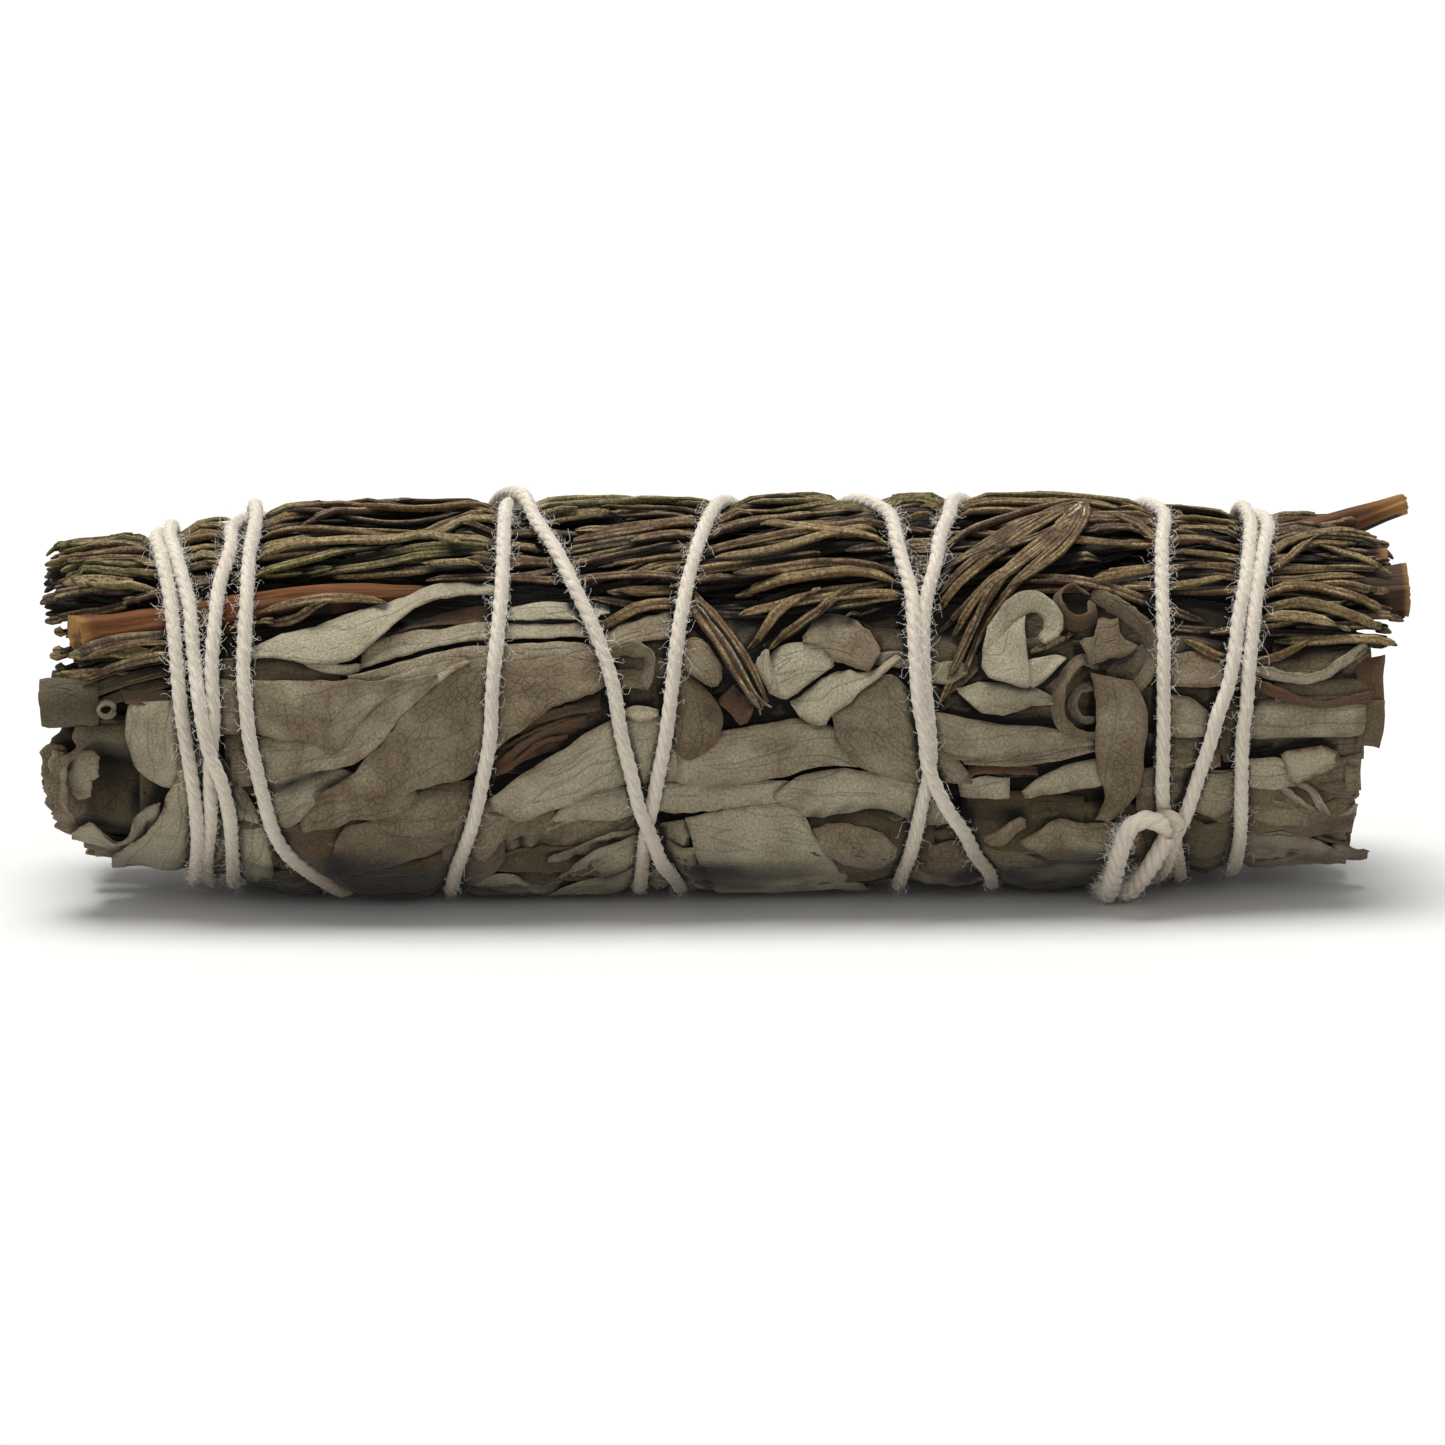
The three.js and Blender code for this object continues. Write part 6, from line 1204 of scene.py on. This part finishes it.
def lay_needle(strands, line, tone, girth=1.0, keep=None, force=False):
    """Lays one needle over what is there, along a line of (x, angle). keep gives its rises instead."""
    long = along_line(line, 2, True)[1]
    tip = np.array([0, 0.15, 0.5, 1.1]) / long  # more rings at the rounded ends
    share = np.concatenate([tip, np.linspace(0, 1, int(np.clip(long / 1.3, 6, 16)) + 2)[1:-1], 1 - tip[::-1]])
    x, angle = along_line(line, share, True)[0].T
    half = NEEDLE_HEIGHT / 2 * girth
    if keep:
        h = np.interp(share, np.linspace(0, 1, len(keep)), keep)
    else:
        rest = np.max([read_map(piled, x, angle + side) for side in (-1.4, 0, 1.4)], axis=0) + half * 0.8
        h = np.maximum(rest, LOWEST_NEEDLE)
        for _ in range(14):
            p = np.pad(h, 1, mode="edge")
            h = np.maximum((p[:-2] + 2 * p[1:-1] + p[2:]) / 4, rest - 0.12)
        if h.max() > HIGHEST_NEEDLE + 0.35 * eased((angle.mean() - 58) / 20):  # this place is full
            if not force:
                return
            h = np.minimum(h, HIGHEST_NEEDLE + 0.25)
    for side, drop in ((-1.8, 0.3), (-0.8, 0.05), (0.8, 0.05), (1.8, 0.3)):
        edges = ((x, x + 0.01), (angle, angle + side), (h + half, h + half - drop))
        pile_up(*(np.stack(edge, -1) for edge in edges), 5)
    tips = [CUT_TIP if abs(end) > 47.5 else GROWN_TIP for end in (x[0], x[-1])]
    from_end = np.minimum(np.minimum(share * long / tips[0], (1 - share) * long / tips[1]), 1)
    tapered = girth * np.maximum(np.sqrt(1 - (1 - from_end) ** 2), 0.35)
    tapered = tapered * (0.8 + 0.2 * np.sin(math.pi * share))
    twist = draw(-0.5, 0.5) + draw(-0.9, 0.9) * share
    strands.line(on_bundle(x, angle, pressed(x, angle, h)), girth=tapered, tone=tone, twist=twist)


def any_tone():
    """Dark brown, brown, straw or green, the green ones rare."""
    tones = [draw(0, 0.3), draw(0.35, 0.6), draw(0.6, 0.78), draw(0.8, 1)]
    return rng.choice(tones, p=[0.32, 0.42, 0.2, 0.06])


def sprig(x, angle, layer):
    """A few needles side by side, as they grow on one shoot: all lean, bend and colour much alike."""
    lean = np.interp(x, *np.array(NEEDLE_SLOPE).T) + rng.normal(0, 0.55)
    bend, tone = draw(-3.5, 3.5), any_tone() * (0.84 if x > 28 else 1.2 if x < -30 else 1.0)
    girth = draw(0.68, 1.1)
    for k in rng.permutation(6):
        at, long = x + draw(-3.5, 3.5), draw(12, 20)
        ragged = draw(0, 3.6, 2)
        a, b = np.clip([at - long / 2, at + long / 2], SPRIGS_FROM + ragged[0], SPRIGS_TO - ragged[1])
        if b - a < 5:
            continue
        xs = np.linspace(a, b, 6)
        way = angle + (k - 2.5) * 3.1 + (lean + rng.normal(0, 0.12)) * (xs - x)
        way = way + bend * (1 - ((xs - at) / (long / 2)) ** 2)
        way = way + rng.normal(0, 0.45, 6)
        low_edge = np.interp(xs, *np.array(ROSEMARY_EDGE).T) + 1.0
        beyond_sprigs = np.any(way < low_edge) or way.max() > SPRIGS_BACK
        under_fan = 15 < at < 27 and way.mean() < 62 and layer > 1
        off_stem = np.abs(way - np.interp(xs, *np.array(LEFT_STEM_LINE).T))  # the stems stay bare
        over_stem = np.any((xs < -23) & (off_stem < 8))
        over_stem = over_stem or layer and np.any((xs > 43) & (way > 44) & (way < 62))
        if beyond_sprigs or under_fan or over_stem:
            continue
        shade = tone + rng.normal(0, 0.08) if way.mean() < 88 or draw() < 0.6 else draw(0.75, 1.0)
        lay_needle(sprigs_front if way.mean() < 86 else sprigs_top, list(zip(xs, way)),
                   float(np.clip(shade, 0, 1)), girth * draw(0.85, 1.15))


for layer in range(5):
    for row in rng.permutation(np.arange(18, 152, 12)):
        for start in rng.permutation(np.arange(-50, 54, 12.5)):
            sprig(start + draw(-4, 4), row + draw(-5, 5) + 7 * (layer % 2), layer)

# the fan that spreads down to the left from one node, and the single needles that lie across the sage
FAN = [
    [(26.5, 84), (24.3, 66), (20.5, 50), (17.6, 32), (16.4, 20), (15.2, 9)],
    [(26.3, 80), (23.6, 60), (19.4, 44), (17.2, 27), (15.9, 17)],
    [(26.4, 82), (22.5, 66), (18.3, 51), (14.9, 38)], [(26.2, 82), (22, 70), (18, 58), (14.8, 47)],
    [(26, 76), (23, 57), (19.5, 47), (15.4, 33)], [(26.6, 86), (22, 76), (17.5, 66), (14.6, 57)],
    [(26.7, 83), (25.3, 65), (22.3, 51), (19.2, 37), (17.4, 22), (17.0, 16)],
    [(26, 73), (22.6, 62), (18.6, 55), (15.4, 43)], [(26.4, 85), (23, 72), (19.8, 60), (16.3, 52)],
    [(25.8, 70), (22, 54), (18.4, 42), (16.2, 30)],
    [(27.0, 84), (26.6, 72), (25.2, 60), (22.8, 50), (20.6, 44)],
]
FAN_TONES, FAN_GIRTHS = (0.42, 0.3, 0.55, 0.2, 0.4, 0.22, 0.35, 0.12, 0.3, 0.5, 0.55), (0.8, 0.7, 0.9)
for k, line in enumerate(FAN):
    lay_needle(sprigs_front, line, FAN_TONES[k], FAN_GIRTHS[k % 3], force=True)
SINGLES = [  # tone, girth, line of (x, angle)
    (1.3, 0.8, [(26.6, 85), (26.3, 80), (25.4, 74), (24.4, 69)]),
    (1.3, 0.35, [(24.6, 69), (23.6, 65), (21.5, 60), (19.8, 57)]),
    (1.3, 0.45, [(26.8, 82), (26.7, 76), (26.3, 70)]),
    (0.62, 1.15, [(0.5, 45.5), (4.3, 47.5), (8.5, 49.5), (12.3, 47)]),
    (0.4, 0.9, [(0.3, 49.5), (3.5, 50.5), (7, 52.5), (11.8, 50.5)]),
    (0.55, 0.85, [(9.3, 44), (8.0, 42), (6.3, 36.5), (4.3, 31), (2.4, 27)]),
    (0.68, 0.85, [(6.6, 43.5), (5.2, 41), (3.4, 36.5), (2.1, 30), (1.2, 26.5)]),
    (0.45, 0.75, [(7.6, 40), (5.8, 35), (4.0, 30), (2.6, 24.5)]),
    (0.68, 0.9, [(2.6, 72), (6, 68), (9.6, 65), (12.2, 62.5)]),
    (0.7, 0.9, [(-1, 56), (3.3, 58), (7.2, 64.5), (11, 69)]),
    (0.55, 1.0, [(-10, 33), (-7.6, 38.5), (-5.2, 41.5), (-2.5, 41)]),
    (0.75, 0.8, [(21.9, 24.2), (23.6, 27.7), (25.3, 31.3)]),
    (0.6, 0.9, [(33.4, 29), (34.4, 26.5), (36.0, 22.7), (38.2, 21.5), (40.4, 23.5), (42.6, 28.5)]),
    (0.5, 0.8, [(38.9, 52), (41.2, 58), (43.2, 68), (44.3, 73)]),
    (0.66, 0.85, [(38.6, 60), (41.6, 68), (45, 75), (48, 77)]),
    (0.7, 0.7, [(30.2, 38), (30.9, 34), (31.6, 30)]),
    (0.62, 0.9, [(26.5, 46), (28.5, 49), (31, 53), (34, 55)]),
    (0.3, 1.2, [(28.8, 75.5), (30, 72), (32.5, 66), (35.8, 64.5)]),
    (0.72, 0.9, [(38.4, 36.5), (41, 36.2), (43.6, 34.5), (45.6, 31)]),
    (0.66, 0.95, [(38.5, 40.5), (42, 41), (45, 38), (47.6, 33.5)]),
    (0.5, 0.95, [(38.5, 45), (42.5, 47), (45.5, 44), (48, 40)]),
    (0.6, 0.85, [(-34.4, 41), (-31, 43.5), (-27.5, 44), (-25, 42.5)]),
    (0.3, 0.8, [(-34.6, 37.5), (-32, 38.5), (-29.5, 42)]),
    (0.78, 0.6, [(43.2, 67.7), (45.1, 63.4), (47.2, 59.7), (49.1, 53.5)]),
    (0.75, 0.8, [(-22.5, 56), (-20, 55), (-18, 53.5)]),
    (0.72, 0.9, [(-35, 63), (-30, 65), (-25, 64), (-22, 66.5), (-19.5, 62)]),
]
for tone, girth, line in SINGLES:
    lay_needle(sprigs_front, line, tone, girth, force=True)
# needles crushed flat below the left stem, and one curl that stands up over the top at the left
for angle, rise, tone in ((46, -2.6, 0.55), (37.5, -3.0, 0.8), (33.5, -2.6, 0.6), (29, -3.0, 0.85),
                          (25, -3.2, 0.4), (21, -3.4, 0.6)):
    line = [(-50.2 + draw(0, 1), angle), (-47, angle + 1), (-43, angle + 3)]
    lay_needle(sprigs_front, line, tone, 1.1, keep=(rise, rise - 0.2))
for start, low, high, tone, girth in (  # its low end's x and angle, its high end's angle
        (-47.2, 20.5, 29.5, 0.35, 0.8), (-47.6, 30, 37, 0.15, 1.1), (-46.9, 14, 25, 0.5, 0.45),
        (-47.4, 26.5, 34, 0.55, 0.5)):
    line = [(start, low), (start + 2.4, low * 0.62 + high * 0.38 + draw(-1, 1)),
            (start + 5.3, low * 0.25 + high * 0.75), (-38.5 + draw(-1.5, 1), high)]
    lay_needle(sprigs_front, line, tone, girth, force=True)
for line, tone in (([(-36.5, 92), (-33, 96), (-29, 97)], 0.9), ([(-27.5, 88), (-24, 86), (-17, 88)], 0.6),
                   ([(12.8, 99), (14.4, 95), (16.5, 90)], 0.45)):
    lay_needle(sprigs_top, line, tone, 0.9, force=True)

# Two needles still joined at their base lie across the sage in the middle, their sheath pale and flared. The
# last three lines are the edge of the sheath between them, torn pale, and its frayed mouth.
for tone, girth, keep, line in (
        (0.42, 1.15, (0.45, 0.75, 0.6, 0.2, -0.3, -0.6),
         [(2.1, 8), (0.4, 18), (-0.8, 26.5), (-2.0, 34.5), (-3.1, 43), (-3.9, 50)]),
        (0.5, 0.72, (0.45, 0.8, 0.7, 0.25, -0.25, -0.6),
         [(2.5, 10), (1.5, 18.7), (0.4, 26), (-1.2, 36), (-2.6, 44.5), (-3.5, 50)]),
        (1.15, 0.2, (0.75, 1.1, 1.05, 0.6, 0.1), [(2.2, 9), (1.0, 17), (0.1, 23.5), (-1.4, 33), (-2.7, 42)]),
        (1.15, 0.26, (0.6, 0.9, 0.95), [(2.0, 6.6), (1.8, 9.5), (1.3, 13)]),
        (1.15, 0.26, (0.6, 0.9, 0.95), [(2.8, 8.6), (2.3, 9.8), (1.6, 13)])):
    lay_needle(pair, line, tone, girth, keep=keep)
sizes = {"Width": NEEDLE_WIDTH / 2, "Height": NEEDLE_HEIGHT / 2, "Wrinkle": 0.3}
for strands, name, node in ((sprigs_front, "front_needles", "rosemary_sprigs_front"),
                            (sprigs_top, "top_needles", "rosemary_sprigs_top"),
                            (pair, "needle_pair", "rosemary_needle_pair")):
    finished(strands.grown(name, NEEDLES, sizes, ROSEMARY), ROSEMARY, node)

# ---- Cotton string -------------------------------------------------------------------------
# Unbleached butcher's twine: three soft plies laid up left-handed, about 1.15 mm thick, wound round
# the bunch and tied off with a small knot near the right end. Its two tails have come unlaid.
PLIES, PLY_RADIUS, PLY_OFFSET, LAY_LENGTH, LAY_STEP = 3, 0.4, 0.155, 3.1, 0.3
# a stain colour, which on the wound twine is also painted shade towards the underside
STAIN_AND_SHADE_COLOUR = "#8E7450"


def twine_tree():
    """Three plies wound round each line, each swept with a round section."""
    tree, given = new_tree("plied_twine", "Ply Radius", "Ply Offset", "Lay Length", "Step")
    curve = add(tree, "GeometryNodeMeshToCurve", [given["Geometry"]])
    even = add(tree, "GeometryNodeResampleCurve", {"Curve": curve, "Length": given["Step"]}, mode="LENGTH")
    outward = add(tree, "GeometryNodeInputNamedAttribute", {"Name": "outward"}, data_type="FLOAT_VECTOR")
    facing = add(tree, "GeometryNodeSetCurveNormal", {"Curve": even, "Normal": outward}, mode="FREE")
    along = add(tree, "GeometryNodeSplineParameter").outputs["Length"]
    girth, spread = (
        add(tree, "GeometryNodeInputNamedAttribute", {"Name": name}) for name in ("girth", "spread"))
    kept = add(tree, "GeometryNodeStoreNamedAttribute", {"Geometry": facing, "Name": "along", "Value": along})
    turns = add(tree, "Math", (along, given["Lay Length"]), operation="DIVIDE")
    reach = add(tree, "Math", (given["Ply Offset"], spread), operation="MULTIPLY")
    join = add(tree, "GeometryNodeJoinGeometry")
    for ply in range(PLIES):
        angle = add(tree, "Math", (turns, -math.tau, ply * math.tau / PLIES), operation="MULTIPLY_ADD")
        arm = add(tree, "VectorRotate", {"Vector": add(tree, "GeometryNodeInputNormal"),
                                         "Axis": add(tree, "GeometryNodeInputTangent"), "Angle": angle},
                  rotation_type="AXIS_ANGLE")
        offset = add(tree, "VectorMath", {0: arm, "Scale": reach}, operation="SCALE")
        moved = add(tree, "GeometryNodeSetPosition", {"Geometry": kept, "Offset": offset})
        tree.links.new(moved.outputs[0], join.inputs[0])
    ring = add(tree, "GeometryNodeCurvePrimitiveCircle", {"Resolution": 7, "Radius": given["Ply Radius"]})
    factor = add(tree, "GeometryNodeSplineParameter").outputs["Factor"]
    around = add(tree, "GeometryNodeStoreNamedAttribute", {
        "Geometry": ring, "Name": "around", "Value": factor})
    return end_tree(tree, given, add(tree, "GeometryNodeCurveToMesh", {
        "Curve": join, "Profile Curve": around, "Scale": girth, "Fill Caps": True}))


def fibre_tree():
    """A fine thread along each line."""
    tree, given = new_tree("loose_fibre", "Radius")
    curve = add(tree, "GeometryNodeMeshToCurve", [given["Geometry"]])
    ring = add(tree, "GeometryNodeCurvePrimitiveCircle", {"Resolution": 3, "Radius": given["Radius"]})
    return end_tree(tree, given, add(tree, "GeometryNodeCurveToMesh", {
        "Curve": curve, "Profile Curve": ring, "Fill Caps": True}))


def cotton(name, dull, clean):
    """Unbleached spun cotton: warm off-white, soft and dull with a faint sheen, its fibres lying along each
    ply, so that fine streaks run with the twist. Its tone tints it towards a stain colour, on the wound twine
    partly painted shade towards the underside. The loose fibres take a near-white copy, painted light for
    the light that shines through single fibres."""
    made = material(name, {"Roughness": 0.9, "Sheen Weight": 0.3, "Specular IOR Level": 0.2})
    tree = made.node_tree
    along, around, stain_and_shade = (
        add(tree, "Attribute", attribute_name=name).outputs["Fac"] for name in ("along", "around", "tone"))
    # real fibres are too fine to show, so they are drawn ten times as coarse, 0.2 mm wide and 1 mm long
    laid = add(tree, "CombineXYZ", [add(tree, "Math", (value, scale), operation="MULTIPLY")
                                    for value, scale in ((along, 900.0), (around, 14.0))])
    fibre = add(tree, "TexNoise", {"Vector": laid, "Scale": 1.0, "Detail": 3.0, "Roughness": 0.6})
    tint = add(tree, "MixRGB", (fibre, linear(dull), linear(clean)))
    stained_and_shaded = add(tree, "MixRGB", (stain_and_shade, tint, linear(STAIN_AND_SHADE_COLOUR)))
    return coated(made, stained_and_shaded, fibre, 0.9, 0.12)


COTTON = cotton("unbleached_cotton", "#AFA28A", "#E9E0D2")
# a near-white copy of the cotton for the loose fibres: painted light, standing in for light shining through
# single fibres
LIT_LOOSE_COTTON = cotton("loose_cotton_fibre_painted_light", "#F2ECE0", "#FFFDF8")
twine, tail_ends = Strands(), []
wound = on_bundle(string_x, string_angle, string_rise, STRING_DIAMETER / 2 + 0.05)
travelled = np.arange(len(wound)) * 0.75
# darker towards the table: painted shade below 9 mm, over real stains that come and go along the twine
stain_and_low_shade = np.clip(0.1 * waves(travelled, 0, 9.0) + 0.55 * eased((9 - wound[:, 2] / MM) / 9), 0, 1)
twine.line(wound, girth=1 + 0.05 * waves(travelled, 0, 5.0), spread=1.0, tone=stain_and_low_shade)
# the tails: one arches up and over to the left, the other goes straight down, and both end splayed
TAILS = [
    [(32.3, -31, 1.0), (31.4, -26.5, 1.7), (30.2, -24.3, 1.9), (29.1, -27, 2.0), (28.6, -34, 2.1),
     (28.3, -44, 2.2), (28.1, -56, 2.1), (28.0, -68, 1.9)],
    [(32.2, -33, 1.2), (31.3, -40, 1.8), (30.5, -48, 2.0), (29.7, -56, 2.0), (29.0, -64, 1.8)],
]
for path in TAILS:
    share = np.linspace(0, 1, 60)
    x, angle, rise = smooth_reading(np.linspace(0, 1, len(path)), path, share).T
    opened = np.clip((share - 0.45) / 0.55, 0, 1)
    tail_ends.append(on_bundle(x, angle, rise, STRING_DIAMETER / 2 + 0.35))
    twine.line(tail_ends[-1], girth=1.25 - 0.35 * opened, spread=1.5 + 1.6 * opened**1.3, tone=0.08)
# the knot: three tight turns round the crossing
KNOT_AT = (32.15, -30.0, 0.95)
t = np.linspace(0, 3 * math.tau, 90)
knot_x = KNOT_AT[0] + 0.62 * np.cos(t) * (1 + 0.2 * np.sin(t / 3))
knot_angle = KNOT_AT[1] + (0.75 * np.sin(t) + 0.45 * np.sin(t / 3 + 1)) / MM_PER_DEGREE
knot_rise = KNOT_AT[2] + 0.45 * np.sin(t + 1.2) + 0.3 * np.cos(t / 3)
twine.line(on_bundle(knot_x, knot_angle, knot_rise), girth=0.95, spread=0.9, tone=0.35)
twine_mesh = twine.grown("cotton_twine", twine_tree(), {
    "Ply Radius": PLY_RADIUS, "Ply Offset": PLY_OFFSET, "Lay Length": LAY_LENGTH, "Step": LAY_STEP}, COTTON)
finished(twine_mesh, COTTON, "cotton_string")

# Loose fibres stand off the twine all along it, most of them beside the rough needles that caught them.
FUZZ_HAIRS, DOWN_HAIRS, TUFT_HAIRS = 36000, 12000, 1500  # before some are left out as worn off
fuzz, down, tufts, LOWEST = Strands(), Strands(), Strands(), np.array([-1, -1, 0.05 * MM])
# what share of the fibres is missing, by how many degrees round from the underside
WORN_OFF = [(0, 0.85), (100, 0.85), (112, 0.1), (165, 0.1), (185, 0.92), (360, 0.95)]
ahead, out, across = frames(wound)
s = np.linspace(0, 1, 6)[:, None]
for a in draw(0, 1, (FUZZ_HAIRS, 8)):
    k, around = int(a[0] * (len(wound) - 1)), a[2] * math.tau
    facing = out[k] * math.cos(around) + across[k] * math.sin(around)
    if a[1] < np.interp(np.mod(string_angle[k] + 90, 360), *np.array(WORN_OFF).T) or facing @ out[k] < -0.2:
        continue
    start, long = wound[k] + facing * 0.42 * MM, (0.3 + 1.3 * a[3] ** 2) * MM
    drift = ahead[k] * (a[4] - 0.5) * 3 + across[k] * (a[5] - 0.5) * 0.8
    curl = np.cross(facing, ahead[k]) * (a[6] - 0.5) + ahead[k] * (a[7] - 0.5)
    bow = facing * s * (1 - 0.4 * s) + drift * s * 0.6
    bow = bow + curl * (np.sin(s * 6 + 6 * a[5]) - np.sin(6 * a[5])) * 0.5
    fuzz.line(np.maximum(start + long * bow, LOWEST), along=a[3], around=a[4])
for a in draw(0, 1, (DOWN_HAIRS, 5)):  # short down all over the twine
    k, around = int(a[0] * (len(wound) - 1)), (a[1] - 0.5) * math.pi * 1.2
    facing = out[k] * math.cos(around) + across[k] * math.sin(around)
    hair = facing * 0.5 + ahead[k] * (a[2] - 0.5) * 1.6 + across[k] * (a[3] - 0.5)
    hair = hair * (0.15 + 0.3 * a[4]) * MM
    start = wound[k] + facing * 0.46 * MM
    down.line(np.maximum(start + hair * np.array([[0], [0.5], [1.0]]), LOWEST), along=a[3], around=a[4])
for tail in tail_ends:  # the ends of the tails, fluffed out
    run = tail[-1] - tail[-4]
    run /= np.linalg.norm(run)
    for a in rng.normal(0, 1, (TUFT_HAIRS, 6)):
        start = tail[rng.integers(len(tail) - 34, len(tail))] + a[:3] * 0.26 * MM
        strand = run * s * (1.0 + 0.5 * abs(a[3])) + a[3:] * 0.5 * s**1.4 + a[:3] * np.sin(s * 4) * 0.12
        tufts.line(np.maximum(start + strand * MM, LOWEST), along=a[3], around=a[4])
FIBRE = fibre_tree()
for name, strands, radius in (
        ("string_fibres", fuzz, 0.009), ("string_down", down, 0.01), ("tail_tufts", tufts, 0.012)):
    fibres = strands.grown(name, FIBRE, {"Radius": radius}, LIT_LOOSE_COTTON)
    finished(fibres, LIT_LOOSE_COTTON, "cotton_string")

# ---- Painted shade in the creases ----------------------------------------------------------
# What lies deeper than its neighbours, or low by the table, is painted darker as shade. Every piece
# keeps how many millimetres each of its points lies below the mean surface about it.
CLOSE_BY, ABOUT, BELL_REACH = 1.4, 8.0, 20  # cells of the unrolled map
CLOSE_SHARE, ABOUT_SHARE = 2.6, 0.75
LEFT_END, LEFT_END_SHARE = -43, 0.4  # light reaches far into the left end
UNDER_SHADE, UNDER_HEIGHT = [(-24, 1.3), (-15, 0.25), (12, 0.25), (26, 0.8)], 6.5  # painted shade by the table: how much along the bunch, and below what height
DEEPEST = {"rolled_ends": 0.6, "packed_inner_leaves": 1.3}  # the cut ends lie deep but face the light
cells = MAP_START + np.arange(MAP_COUNT)[:, None] * MAP_STEP
level = pressed(cells, np.arange(360.0)[None, :], piled)
# the string counts as surface, so what lies beside it is painted darker, as its shade
row, column = map_cell(fine_x, fine_angle, 2)
for beside in (-2, -1, 0, 1, 2):
    np.maximum.at(level, (row + beside, column), fine_rise + 0.3)
mean_levels = []
for width in (CLOSE_BY, ABOUT):
    offsets = range(-BELL_REACH, BELL_REACH + 1)
    bell = np.exp(-((np.array(offsets) / width) ** 2))
    bell /= bell.sum()
    smoothed = level
    for axis in (0, 1):
        smoothed = sum(weight * np.roll(smoothed, k, axis=axis) for weight, k in zip(bell, offsets))
    mean_levels.append(smoothed)
for piece in pieces:
    places = np.empty(len(piece.data.vertices) * 3, np.float32)
    piece.data.vertices.foreach_get("co", places)
    x, y, z = places.reshape(-1, 3).T / MM
    angle = np.degrees(np.arctan2(z - AXIS_HEIGHT, -y))
    rise = np.hypot(y, z - AXIS_HEIGHT) - bundle_radius(x, angle)
    # painted shade towards the table, at every point below UNDER_HEIGHT mm
    under = np.interp(x, *np.array(UNDER_SHADE).T) * eased((UNDER_HEIGHT - z) / UNDER_HEIGHT)
    close, about = (read_map(m, x, angle) - rise for m in mean_levels)
    # painted shade: depth below the surface close by and further about, less at the open left end
    below = CLOSE_SHARE * np.maximum(close, 0) + ABOUT_SHARE * about
    below = np.minimum(below * np.where(x < LEFT_END, LEFT_END_SHARE, 1.0), DEEPEST.get(piece.name, 99.0))
    keep_values(piece.data, deep=below + under)
